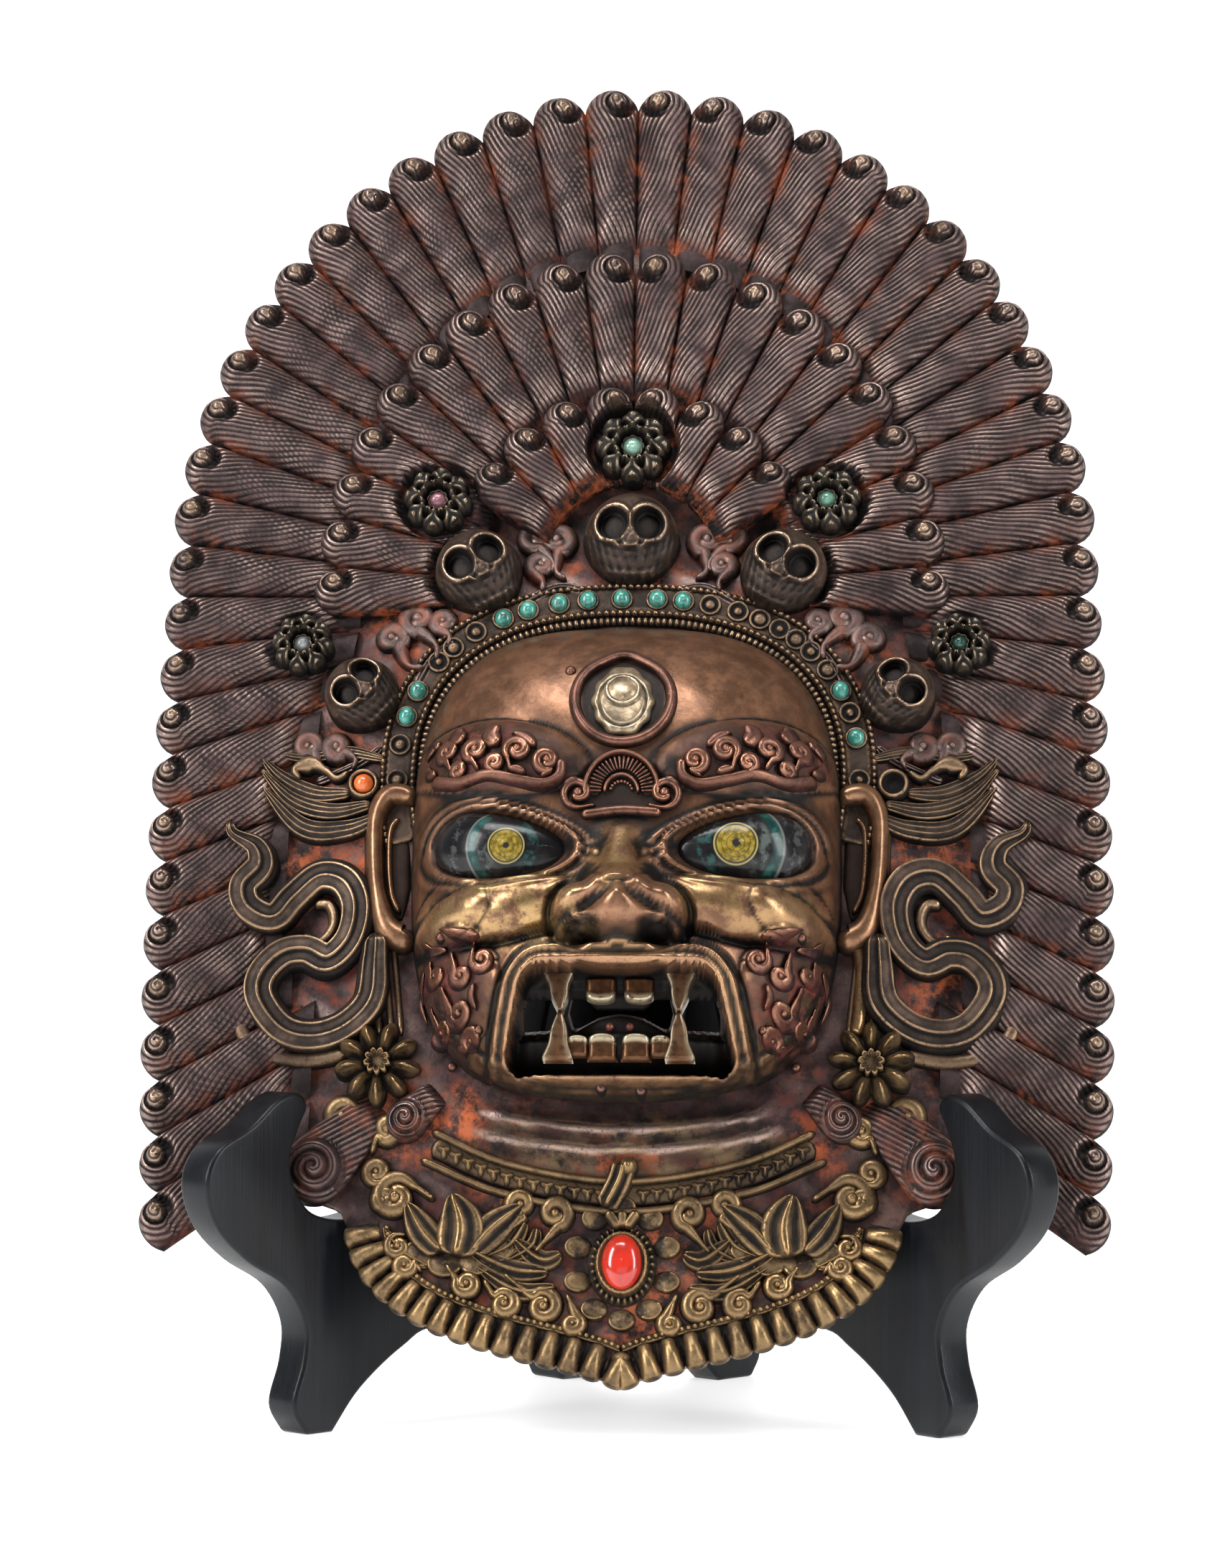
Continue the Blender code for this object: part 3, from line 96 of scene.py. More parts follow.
def to_world(points):
    """From the mask's plane in millimetres to the world in metres."""
    points = np.asarray(points, float)
    u, v, w = points[:, :1], points[:, 1:2], points[:, 2:3]
    return (HUB + u * U_AXIS + v * V_AXIS + w * W_AXIS) * MM


def face_radius(u, v, grow=0.0):
    """1 on the face's outline, less inside and more outside it."""
    v = np.asarray(v, float)
    top = FACE_TOP - FACE_CENTRE + grow
    bottom = FACE_CENTRE - FACE_BOTTOM + grow
    reach = np.where(v > FACE_CENTRE, top, bottom)
    across = np.abs(u) / (FACE_HALF_WIDTH + grow)
    along = np.abs(v - FACE_CENTRE) / reach
    return (across**FACE_POWER + along**FACE_POWER) ** (1.0 / FACE_POWER)


def lift(u, v):
    """How far the sheet stands forward round the face."""
    distance = (face_radius(u, v, SEAT_MARGIN) - 1.0) * FACE_HALF_WIDTH
    return SEAT_LIFT * (1.0 - smoothstep(distance / LIFT_REACH))


def ground(u, v):
    """Height of the sheet's front."""
    return SHEET + lift(u, v) + neck_folds(u, v)


def neck_folds(u, v):
    """Soft folds of the neck, between the jaw and the necklace."""
    rise = 0.0
    for at, depth, fade in ((-87.0, 1.7, 40.0), (-92.3, 1.5, 44.0)):
        line = at + 0.0030 * u**2
        across = smoothstep((fade - np.abs(u)) / 9.0)
        rise = rise + depth * across * ridge(v - line, 1.7)
    return rise


def uneven(u, v, size, depth):
    """Soft irregular dents of hand work."""
    x, y = u / size, v / size
    waves = np.sin(1.9 * x + 1.1 * np.sin(1.3 * y)) * np.cos(1.7 * y + 0.9 * np.sin(1.1 * x))
    waves += 0.6 * np.sin(4.3 * x + 2.0 * np.cos(2.9 * y) + 1.7)
    return waves * depth


def between(p0, p1, p2, p3, t):
    """A smooth curve from p1 to p2, with the points before and after them."""
    first, second, third = p2 - p0, 2 * p0 - 5 * p1 + 4 * p2 - p3, 3 * p1 - p0 - 3 * p2 + p3
    return 0.5 * (2 * p1 + first * t + second * t**2 + third * t**3)


def spline(points, step=0.8):
    """A smooth curve through the points, evenly stepped along its length."""
    points = np.asarray(points, float)
    padded = np.vstack((2 * points[0] - points[1], points, 2 * points[-1] - points[-2]))
    t = np.linspace(0.0, 1.0, 12, endpoint=False)[:, None]
    runs = [between(*padded[i - 1 : i + 3], t) for i in range(1, len(padded) - 2)]
    curve = np.vstack(runs + [points[-1:]])
    return even(curve, step)


def distances(curve):
    """How far along a curve each of its points is."""
    return np.concatenate(([0.0], np.cumsum(np.linalg.norm(np.diff(curve, axis=0), axis=1))))


def places(curve, lengths, at):
    """The places on a curve at distances along it."""
    return np.column_stack([np.interp(at, lengths, curve[:, k]) for k in range(curve.shape[1])])


def even(curve, step):
    """The curve with its points evenly spaced."""
    lengths = distances(curve)
    count = max(3, int(round(lengths[-1] / step)) + 1)
    return places(curve, lengths, np.linspace(0.0, lengths[-1], count))


def spiral(centre, radius, turns, start, hand=1, inner=0.22):
    """Points that wind in from a radius to near the centre; angles in degrees."""
    count = max(8, int(turns * 14))
    share = np.linspace(0.0, 1.0, count)
    angle = math.radians(start) + hand * share * turns * TAU
    reach = radius * (1.0 - share * (1.0 - inner))
    return np.column_stack((centre[0] + reach * np.cos(angle), centre[1] + reach * np.sin(angle)))


def track(points, side, step=0.8):
    """A smooth curve through the points, mirrored to the left where side is -1."""
    return flipped(spline(points, step), side)


def flipped(points, side):
    """The points, mirrored to the left where side is -1."""
    points = np.array(points, float)
    points[..., 0] *= side
    return points


def blur(grid, times):
    """The grid smoothed by repeated averages of neighbours."""
    for _ in range(times):
        wide = np.pad(grid, 1, mode="edge")
        grid = (
            wide[1:-1, 1:-1] * 2.0
            + wide[:-2, 1:-1]
            + wide[2:, 1:-1]
            + wide[1:-1, :-2]
            + wide[1:-1, 2:]
        ) / 6.0
    return grid


def wear_and_shade_from(fine, broad):
    """How far ridges are rubbed bright, and how dark hollows are with dark patina and painted shade, from
    how a place stands out.
    """
    worn = np.clip(fine / 0.13, 0.0, 1.0) * 0.55 + np.clip(broad / 1.3, 0.0, 1.0) * 0.5
    deep = np.clip(-fine / 0.13, 0.0, 1.0) * 0.5 + np.clip(-broad / 0.9, 0.0, 1.0) * 0.8
    return worn, deep


# Meshes gathered from many patches


LOOKS = {"worn": 0.0, "deep": 0.0, "gilt": 0.0, "red": 0.0, "lines": 0.5}


class Shape:
    """Patches gathered into one mesh, with the values that its material reads."""

    def __init__(self):
        self.points = []
        self.quads = []
        self.values = {name: [] for name in LOOKS}
        self.count = 0

    def add(self, points, quads, **looks):
        points = np.asarray(points, float).reshape(-1, 3)
        self.points.append(points)
        self.quads.append(np.asarray(quads, int) + self.count)
        for name, plain in LOOKS.items():
            value = np.asarray(looks.get(name, plain), float).ravel()
            self.values[name].append(np.broadcast_to(value, (len(points),)))
        self.count += len(points)

    def add_grid(self, grid, floor=None, closed=False, detail=3, dirt_and_shade=0.0, **looks):
        """A height patch. Its open borders go down to the floor where one is given."""
        grid = np.asarray(grid, float)
        w = grid[..., 2]
        margin = 8 if closed else 0
        wide = np.concatenate((w[:, -margin:], w, w[:, :margin]), axis=1) if closed else w
        middle = slice(margin, margin + w.shape[1])
        fine, broad = (wide - blur(wide, times) for times in (detail, detail * 6))
        worn, deep = wear_and_shade_from(fine[:, middle], broad[:, middle])
        # Darker where the caller asks: painted shade at feet and in hollows, with dark patina.
        deep = np.clip(deep + 0.85 * dirt_and_shade, 0.0, 1.0)
        values = {"worn": worn, "deep": deep, **looks}
        values = {name: np.broadcast_to(value, w.shape) for name, value in values.items()}
        if floor is not None:
            low = np.broadcast_to(np.asarray(floor, float), w.shape)
            for axis in (0,) if closed else (0, 1):
                grid, low, values = skirted(grid, low, values, axis)
        quads = grid_quads(grid.shape[0], grid.shape[1], closed)
        if facing(grid, quads) < 0:
            quads = quads[:, ::-1]
        self.add(grid, quads, **values)

    def add_back(self, grid, closed, deep):
        """A patch that looks backward."""
        quads = grid_quads(*grid.shape[:2], closed)
        if facing(grid, quads) > 0:
            quads = quads[:, ::-1]
        self.add(grid, quads, worn=0.2, deep=deep)

    def build(self, name, material, slot, *nodes):
        """Makes the object, puts it on the root body and hides the solids that it stands for."""
        mesh = bpy.data.meshes.new(name)
        points = to_world(np.vstack(self.points))
        quads = np.vstack(self.quads)
        mesh.vertices.add(len(points))
        mesh.vertices.foreach_set("co", points.ravel())
        mesh.loops.add(quads.size)
        mesh.loops.foreach_set("vertex_index", quads.ravel())
        mesh.polygons.add(len(quads))
        mesh.polygons.foreach_set("loop_start", np.arange(0, quads.size, 4))
        mesh.update(calc_edges=True)
        for key, parts in self.values.items():
            layer = mesh.attributes.new(key, "FLOAT", "POINT")
            layer.data.foreach_set("value", np.concatenate(parts).astype(np.float32))
        mesh.polygons.foreach_set("use_smooth", np.ones(len(quads), bool))
        mesh.validate()
        place(link(bpy.data.objects.new(name, mesh)), MATERIALS[material], slot, nodes)


def skirted(grid, low, values, axis):
    """The grid with one more line of points at both ends of an axis, down at the floor."""

    def widened(inner, border):
        first, last = (np.take(border, [end], axis) for end in (0, -1))
        return np.concatenate((first, inner, last), axis)

    base = grid.copy()
    base[..., 2] = low
    values = {name: widened(value, value) for name, value in values.items()}
    return widened(grid, base), widened(low, low), values


def link(obj):
    bpy.context.scene.collection.objects.link(obj)
    return obj


def place(obj, material, slot, nodes):
    """Gives a piece its material and body, and hides the solids that it stands for; its slot is not used.
    """
    obj.data.materials.append(material)
    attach(obj, "root")
    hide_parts(*nodes)


def grid_quads(rows, columns, closed):
    """Faces between the neighbours of a grid of points."""
    index = np.arange(rows * columns).reshape(rows, columns)
    if closed:
        index = np.concatenate((index, index[:, :1]), axis=1)
    corners = (index[:-1, :-1], index[:-1, 1:], index[1:, 1:], index[1:, :-1])
    return np.stack(corners, axis=-1).reshape(-1, 4)


def facing(grid, quads):
    """Positive where the faces of a patch look forward."""
    points = grid.reshape(-1, 3)
    a, b, c, d = (points[quads[:, k]] for k in range(4))
    first, second = c - a, d - b
    return float((first[:, 0] * second[:, 1] - first[:, 1] * second[:, 0]).sum())


# Ways to raise a form on the sheet


def dome_profile(c):
    return np.sqrt(rest(np.abs(c) ** 2.2))


def add_ribbon(shape, line, half, rise, profile=dome_profile, base=0.0, columns=9, **looks):
    """A band along a line of points. half, rise and base may follow the share of its length."""
    line = np.asarray(line, float)
    share = np.linspace(0.0, 1.0, len(line))
    along = np.gradient(line, axis=0)
    along /= np.linalg.norm(along, axis=1)[:, None] + 1e-9
    across = np.column_stack((-along[:, 1], along[:, 0]))
    width = half(share) if callable(half) else np.full(len(line), float(half))
    height = rise(share) if callable(rise) else np.full(len(line), float(rise))
    ends = looks.pop("ends", 1.2)
    length = np.linalg.norm(np.diff(line, axis=0), axis=1).sum()
    near_end = np.minimum(share, 1.0 - share) * length
    width = width * np.sqrt(np.clip(near_end / ends, 0.04, 1.0))
    c = np.linspace(-1.0, 1.0, columns)
    flat = line[:, None, :] + across[:, None, :] * (width[:, None, None] * c[None, :, None])
    u, v = flat[..., 0], flat[..., 1]
    below = looks.pop("below", ground)
    level = below(u, v)
    body = profile(c)[None, :] * height[:, None] * np.clip(near_end / ends + 0.3, 0.0, 1.0)[:, None]
    lifted = base(share)[:, None] if callable(base) else base
    w = level + lifted + body
    crest = np.clip(profile(c), 0.0, 1.0)[None, :] ** 2 * np.ones_like(u)
    looks["gilt"] = looks.get("gilt", 0.0) * (0.25 + 0.75 * crest)
    # Darker along the band's sides where it meets the sheet: painted shade with dark patina.
    shape.add_grid(np.dstack((u, v, w)), floor=level - SINK, dirt_and_shade=(1.0 - crest) ** 2, **looks)


def add_dome(shape, centre, radius, rise, squash=1.0, power=0.5, base=0.0, count=16, **looks):
    """A bead or low round boss."""
    rings = looks.pop("rings", 6)
    below = looks.pop("below", ground)
    share = np.sin(np.linspace(0.02, 1.0, rings) * math.pi / 2)[::-1]
    turn = around(count)
    u = centre[0] + radius * share[:, None] * np.cos(turn)[None, :]
    v = centre[1] + radius * squash * share[:, None] * np.sin(turn)[None, :]
    level = float(below(np.array(centre[0]), np.array(centre[1])))
    height = rise * rest(share**2) ** power
    w = np.broadcast_to((level + base + height)[:, None], u.shape)
    # Darker at the bead's foot: painted shade with dark patina.
    dirt_and_shade = share[:, None] ** 6 * np.ones_like(u)
    w, floor = seated(w, level - SINK, below(u, v))
    shape.add_grid(np.dstack((u, v, w)), floor=floor, closed=True, dirt_and_shade=dirt_and_shade, **looks)


def circle(radius):
    return lambda turn: radius + 0.0 * turn


def seated(w, floor, local):
    """Heights and floor of a round piece, kept within the sheet that it stands on."""
    return np.maximum(w, local - 0.6), np.maximum(np.minimum(floor, local - SINK), local - 0.9)


def add_round(
    shape, centre, outline, height, rings, count, base=0.0, tilt=0.0, squash=1.0, shade=None, **looks
):
    """A form on a round plan: outline gives the radius at an angle, height the rise at a place."""
    below = looks.pop("below", ground)
    drop = looks.pop("drop", SINK)
    follow = looks.pop("follow", False)
    share = np.linspace(1.0, 0.012, rings)[:, None]
    turn = around(count)[None, :]
    radius = outline(turn) * share
    du = radius * np.cos(turn)
    dv = radius * np.sin(turn) * squash
    w = height(share * np.ones_like(turn), turn * np.ones_like(share), du, dv)
    lean = math.radians(tilt)
    u = centre[0] + du * math.cos(lean) - dv * math.sin(lean)
    v = centre[1] + du * math.sin(lean) + dv * math.cos(lean)
    spot = (u, v) if follow else (np.array(centre[0]), np.array(centre[1]))
    level = below(*spot) + base
    # Darker low down where the piece meets the sheet: painted shade with dark patina.
    dirt_and_shade = np.exp(-(w - w.min()) / 0.9)
    if shade:
        dirt_and_shade = np.maximum(dirt_and_shade, shade(share * np.ones_like(turn), turn * np.ones_like(share), du, dv))
    w, floor = seated(level + w, level - drop, below(u, v))
    shape.add_grid(np.dstack((u, v, w)), floor=floor, closed=True, dirt_and_shade=dirt_and_shade, **looks)


def add_curl(shape, side, stem, centre, radius, turns, hand, half, rise, bead=None, **looks):
    """A tendril: its stem leads into a spiral with a bead in the middle."""
    stem, centre = flipped(stem, side), flipped(centre, side)
    start = math.degrees(math.atan2(stem[-1, 1] - centre[1], stem[-1, 0] - centre[0]))
    winding = spiral(centre, radius, turns, start, hand * side)
    path = np.vstack((stem[:-1], winding))
    line = spline(path, looks.pop("step", 0.7))

    def width(share):
        return half * (0.45 + 0.75 * np.sin(np.pi * np.clip(1.05 * (1 - share) + 0.12, 0, 1)) ** 0.6)

    add_ribbon(shape, line, width, rise, columns=looks.pop("columns", 7), **looks)
    size = bead if bead is not None else radius * 0.36
    looks.pop("ends", None)
    base = looks.pop("base", 0.0)
    base = 0.0 if callable(base) else base
    add_dome(shape, centre, size, rise * 1.25, base=base, count=12, rings=5, **looks)


# Locks of hair


LOCK_HEIGHT = 5.6
VALLEY = 0.8
BEAD_RADIUS = 2.5
BEAD_OFFSET = 1.9
STRAND = 1.5
TWIST = 0.36
SEAT_CLEARANCE = 0.8
LOCK_TAIL = 8.5
LOCK_END = 13.0
END_STEP = 0.45
SHAFT_STEP = 1.3
OUTER_COLUMNS = 36
INNER_COLUMNS = 34


class Row:
    """A row of locks on an arch."""

    def __init__(self, half_width, height, foot, pairs, pitch, reach, length, level, bulge=0.0):
        self.half_width, self.height, self.foot = half_width, height, foot
        self.pairs, self.pitch, self.reach = pairs, pitch, reach
        self.length, self.level, self.bulge = length, level, bulge
        turns = np.linspace(0.0, math.pi / 2, 400)
        self.turns = turns
        us, vs = half_width * np.sin(turns), height * np.cos(turns)
        self.lengths = np.concatenate(([0.0], np.cumsum(np.hypot(np.diff(us), np.diff(vs)))))
        if self.pitch is None:
            self.pitch = (self.lengths[-1] + foot - OUTER_END) / pairs

    def arch(self, arcs):
        """Points and outward directions at arc lengths from the top, right side."""
        arcs = np.atleast_1d(np.asarray(arcs, float))
        turn = np.interp(arcs, self.lengths, self.turns)
        drop = np.clip(arcs - self.lengths[-1], 0.0, None)
        u = self.half_width * np.sin(turn) + self.bulge * np.sin(drop / 58.0)
        v = self.foot + self.height * np.cos(turn) - drop
        out = np.column_stack((np.sin(turn) / self.half_width, np.cos(turn) / self.height))
        return np.column_stack((u, v)), out / np.linalg.norm(out, axis=1)[:, None]


OUTER_END = -118.2
OUTER = Row(121.0, 139.6, 69.5, 26, None, 5.4, 40.0, 0.0, 2.4)
SECOND = Row(80.0, 95.5, 62.0, 10, 14.4, 6.2, 30.0, 2.6)
THIRD = Row(47.0, 55.0, 62.0, 4, 13.2, 5.4, 13.0, 5.2)


def lock_direction(spot):
    """The way a lock points outwards: away from the hub, and less steep low on the sides."""
    low_edge = 20.0
    if spot[1] > low_edge:
        away = spot - np.array([0.0, RAY_HUB])
        return away / np.linalg.norm(away)
    slope = math.radians(18.8 + 0.12 * (low_edge - spot[1]))
    return np.array([math.cos(slope), -math.sin(slope)])


def lock_plan(row, index, columns, along):
    """Places on one lock: rows of points from its rounded end to its foot."""
    shares = np.linspace(0.0, 1.0, columns)
    places, outward = row.arch((index + shares) * row.pitch)
    bow = np.sqrt(rest(0.94 * (2 * shares - 1.0) ** 2))
    tips = places + outward * (row.reach * (1.55 * bow - 0.55))[:, None]
    middle = row.arch([(index + 0.5) * row.pitch])[0][0]
    length = row.length
    if row is OUTER:
        length = float(np.interp(middle[1], (-80, -70, -62, -4, 16, 30), (38, 36, 27, 27, 36, 40)))
    feet = []
    for step in (0.0, 1.0):
        border = row.arch([(index + step) * row.pitch])[0][0]
        feet.append(border - lock_direction(border) * (length + LOCK_TAIL))
    feet = feet[0] + (feet[1] - feet[0]) * shares[:, None]
    share = along / along[-1]
    return tips[None] + (feet - tips)[None] * share[:, None, None], shares, share


def lock_height(row, index, plan, shares, share, distance):
    """Height of a lock over the sheet, with its strands and the bead they wind round."""
    spot, out = (value[0] for value in row.arch([(index + 0.5) * row.pitch]))
    aim = lock_direction(spot)
    down = np.array([out[1], -out[0]])
    across = np.array([-aim[1], aim[0]])
    if across @ down > 0:
        across = -across
    bead = spot - down * BEAD_OFFSET + out * 0.6
    a = -(plan - bead) @ aim
    b = (plan - bead) @ across
    rho = np.hypot(a, b)
    psi = np.arctan2(a, b)
    section = rest(np.abs(2 * shares - 1.0) ** 2.0) ** 0.62
    end = np.sqrt(rest((1.0 - np.clip(distance / 5.0, 0.0, 1.0)) ** 2))
    body = section[None, :] * end[:, None]
    rise = (LOCK_HEIGHT - VALLEY) * (1.0 - 0.25 * share[:, None])
    height = VALLEY + rise * body
    shaft = smoothstep(a / 2.0)
    waver = 0.45 * np.sin(0.21 * a + 2.1 * index + 0.25 * b)
    phase = (1 - shaft) * rho + shaft * (-b + TWIST * a + waver)
    strands = np.abs(np.sin(np.pi * phase / STRAND)) - 0.6
    depth = 0.30 + 0.14 * np.sin(0.23 * a + 1.7 * index + 0.5 * b)
    height += depth * strands * np.sqrt(body) * smoothstep((rho - BEAD_RADIUS) / 0.8)
    window = ridge(psi - 1.0, 0.95)
    height -= 3.4 * ridge(rho - 3.9, 0.95) * window
    height -= 1.1 * ridge(rho - BEAD_RADIUS - 0.3, 0.45)
    ball = np.sqrt(rest((rho / BEAD_RADIUS) ** 2))
    height += 2.3 * ball + 0.3 * np.sin(psi - TAU * rho / 1.9) * (rho < BEAD_RADIUS)
    fade = smoothstep((share[:, None] - 0.76) / 0.24)
    height = height * (1.0 - fade) - 0.4 * fade
    foot = 1.0 - section[None, :] * (1.0 - fade)
    # The last value is gilding on the bead: partly its bright copper, partly a painted highlight.
    return height, phase / STRAND, foot, 0.45 * ball


def seat_cap(u, v):
    """The most that a lock may rise here: low on the seats of what is set on the mantle."""
    cap = np.full(np.shape(u), 60.0)
    for spots, rise in ((SKULLS, SKULL_SEAT), (ROSETTES, ROSETTE_SEAT)):
        for spot in spots:
            away = np.hypot(np.abs(u) - spot[1], v - spot[2]) - spot[3] - SEAT_CLEARANCE
            cap = np.minimum(cap, rise + 9.0 * smoothstep((away + 0.2) / 3.0) + 30.0 * (away > 3.0))
    return cap


def add_lock(shape, row, index, side, columns):
    near = np.arange(0.0, LOCK_END, END_STEP)
    far = np.arange(LOCK_END, row.length + row.reach + 2.0, SHAFT_STEP)
    distance = np.concatenate((near, far))
    plan, shares, share = lock_plan(row, index, columns, distance)
    height, lines, foot, bead = lock_height(row, index, plan, shares, share, distance)
    u, v = plan[..., 0] * side, plan[..., 1]
    level = ground(u, v)
    height += row.level + uneven(u, v, 9.0, 0.14)
    height = np.minimum(height, seat_cap(u, v))
    grid = np.dstack((u, v, level + height))
    floor = level - METAL + 0.2 + 0.4 * share[:, None]
    # Darker at the lock's sides and foot: painted shade in the valleys between locks, with dark patina; red
    # is pigment there.
    shape.add_grid(grid, floor=floor, red=foot**1.5, lines=lines, dirt_and_shade=foot**3, gilt=bead)


def add_lock_back(shape, row, index, side):
    """The hollow that the lock leaves in the back of the sheet."""
    distance = np.linspace(0.0, row.length, 12)
    plan, shares, _ = lock_plan(row, index, 11, distance)
    section = rest(np.abs(2 * shares - 1.0) ** 2.2) ** 0.5
    end = np.sqrt(rest((1.0 - np.clip(distance / 8.0, 0.0, 1.0)) ** 2))
    u, v = plan[..., 0] * side, plan[..., 1]
    w = lift(u, v) + 1.0 + 3.4 * section[None, :] * end[:, None]
    shape.add_back(np.dstack((u, v, w)), False, 0.3)


LOW_LOCKS = (((81.0, -97.0), 9.2, 132.0, 26.0), ((57.0, -84.5), 5.6, 140.0, 12.0))


def add_spiral_lock(shape, centre, radius, heading, length, side):
    """A lock under the jaw: a striated shaft that winds up into a spiral at its end."""
    distance = np.arange(-radius, length, 0.45)[:, None]
    across = np.linspace(-1.0, 1.0, 44)[None, :]
    cap = np.sqrt(np.clip(1.0 - np.clip(-distance / radius, 0.0, 1.0) ** 2, 0.01, None))
    taper = 1.0 - 0.35 * smoothstep(distance / length)
    a, b = distance + 0.0 * across, radius * cap * taper * across
    rho, psi = np.hypot(a, b), np.arctan2(a, b)
    body = np.sqrt(rest(across**2)) * np.sqrt(cap)
    height = VALLEY + 5.4 * body * (1.0 - 0.5 * smoothstep(a / length))
    shaft = smoothstep((rho - 0.75 * radius) / 2.0) * (a > 0)
    turn = rho / (0.36 * radius) - psi / TAU
    winding = np.abs(np.sin(np.pi * turn)) - 0.5
    phase = (-b + TWIST * a) / STRAND
    strands = np.abs(np.sin(np.pi * phase)) - 0.6
    height += (1.0 - shaft) * (1.3 * winding * body + 1.8 * ridge(rho, 0.32 * radius))
    height += shaft * 0.45 * strands * body
    aim = math.radians(heading)
    u = side * (centre[0] + a * math.cos(aim) - b * math.sin(aim))
    v = centre[1] + a * math.sin(aim) + b * math.cos(aim)
    level = ground(u, v)
    height -= (height + 0.4) * smoothstep((a / length - 0.7) / 0.3)
    lines = shaft * phase + (1.0 - shaft) * 2.0 * turn
    shape.add_grid(np.dstack((u, v, level + height)), floor=level - METAL + 0.2, red=0.5, lines=lines)


def make_low_locks():
    locks = Shape()
    for side in (1, -1):
        for lock in LOW_LOCKS:
            add_spiral_lock(locks, *lock, side)
    locks.build("low_spiral_locks", "mantle", "copper", "feather_mantle")


def make_locks():
    for side, name in ((1, "right_outer_locks"), (-1, "left_outer_locks")):
        locks = Shape()
        for index in range(OUTER.pairs):
            add_lock(locks, OUTER, index, side, OUTER_COLUMNS)
            add_lock_back(locks, OUTER, index, side)
        locks.build(name, "mantle", "copper", "feather_mantle")
    for row, name in ((SECOND, "second_row_locks"), (THIRD, "third_row_locks")):
        locks = Shape()
        for side in (1, -1):
            for index in range(row.pairs):
                add_lock(locks, row, index, side, INNER_COLUMNS)
        locks.build(name, "mantle", "copper", "feather_mantle")


# The sheet that everything is raised on


COLLAR_START = (73.0, -108.6)
COLLAR_TIP = -154.0
FRINGE_LOBES = 15
BORDER_STEP = 2.1
SHEET_ROWS = 56


def collar_edge(count, inset=0.0):
    """The collar's edge on the right, from its start down to the tip."""
    start_u, start_v = COLLAR_START
    share = np.linspace(0.0, 1.0, count + 1)
    turn = np.radians(4.0 + 76.0 * share)
    u = (start_u - inset) * np.cos(turn) / math.cos(math.radians(4.0)) * (1.0 - share**5)
    depth = (COLLAR_TIP - start_v + 3.0 + inset) * np.sin(turn) ** 0.92
    return np.column_stack((u, start_v + depth - 4.5 * share**6))


def sheet_edge():
    """The sheet's outer border on the right, from the top round to the collar's tip."""
    arcs = np.linspace(0.0, OUTER.pairs * OUTER.pitch, 160)
    upper, out = OUTER.arch(arcs)
    upper = upper - out * 17.0
    upper = upper[upper[:, 1] > -104.0]
    foot = [(103.0, -112.0), (96.0, -109.5), (86.5, -105.0), (80.0, -105.4), (74.0, -107.5)]
    return np.vstack((upper, foot, collar_edge(40, 1.2)))


def neck_gilding(u, v):
    """Worn gilding on the neck and beside the necklace."""
    neck = mound(u, v, (0.0, -92.0), (46.0, 10.0), 1.0, 0.5)
    return neck * (0.55 + 0.45 * np.sin(0.21 * u + 2.2) * np.sin(0.47 * v + 0.08 * u))


def ground_red(u, v):
    """Where pigment is left in the ground: round the crown, the scarf, the jaw and the collar."""
    side = np.abs(u)
    red = mound(side, v, (50.0, 54.0), (30.0, 22.0), 1.1, 0.5, -35.0)
    red = np.maximum(red, mound(side, v, (10.0, 66.0), (16.0, 9.0), 0.9, 0.5))
    red = np.maximum(red, mound(side, v, (84.0, -30.0), (24.0, 42.0), 1.35, 0.4))
    red = np.maximum(red, mound(side, v, (78.0, 14.0), (16.0, 14.0), 0.9, 0.5))
    red = np.maximum(red, mound(side, v, (52.0, -84.0), (16.0, 14.0), 1.4, 0.4))
    red = np.maximum(red, mound(u, v, (0.0, -119.0), (62.0, 27.0), 1.0, 0.3))
    return np.clip(0.22 + red, 0.0, 1.4)


def make_sheet():
    """One turn of the sheet round the face, from its opening to its outer border."""
    right = even(sheet_edge(), BORDER_STEP)
    border = np.vstack((right, flipped(right[::-1][1:-1], -1)))
    turn = np.arctan2(border[:, 1] - FACE_CENTRE, border[:, 0])
    away = np.column_stack((np.cos(turn), np.sin(turn)))
    radius = face_radius(away[:, 0], FACE_CENTRE + away[:, 1])
    hole = away / radius[:, None] * FACE_OPENING + np.array([0.0, FACE_CENTRE])
    share = np.linspace(0.0, 1.0, SHEET_ROWS)[:, None, None]
    plan = hole[None] + (border - hole)[None] * share
    u, v = plan[..., 0], plan[..., 1]
    front = ground(u, v) + uneven(u, v, 11.0, 0.22)
    shape = Shape()
    red, gilt = ground_red(u, v), 0.8 * neck_gilding(u, v)
    floor = lift(u, v) + METAL
    shape.add_grid(np.dstack((u, v, front)), floor=floor, closed=True, red=red, gilt=gilt)
    back = np.dstack((u, v, lift(u, v) + METAL + uneven(u, v, 7.0, 0.07)))[::2]
    shape.add_back(back, True, 0.35)
    shape.build("mantle_sheet", "mantle", "copper", "feather_mantle")


# Ornament beside the face


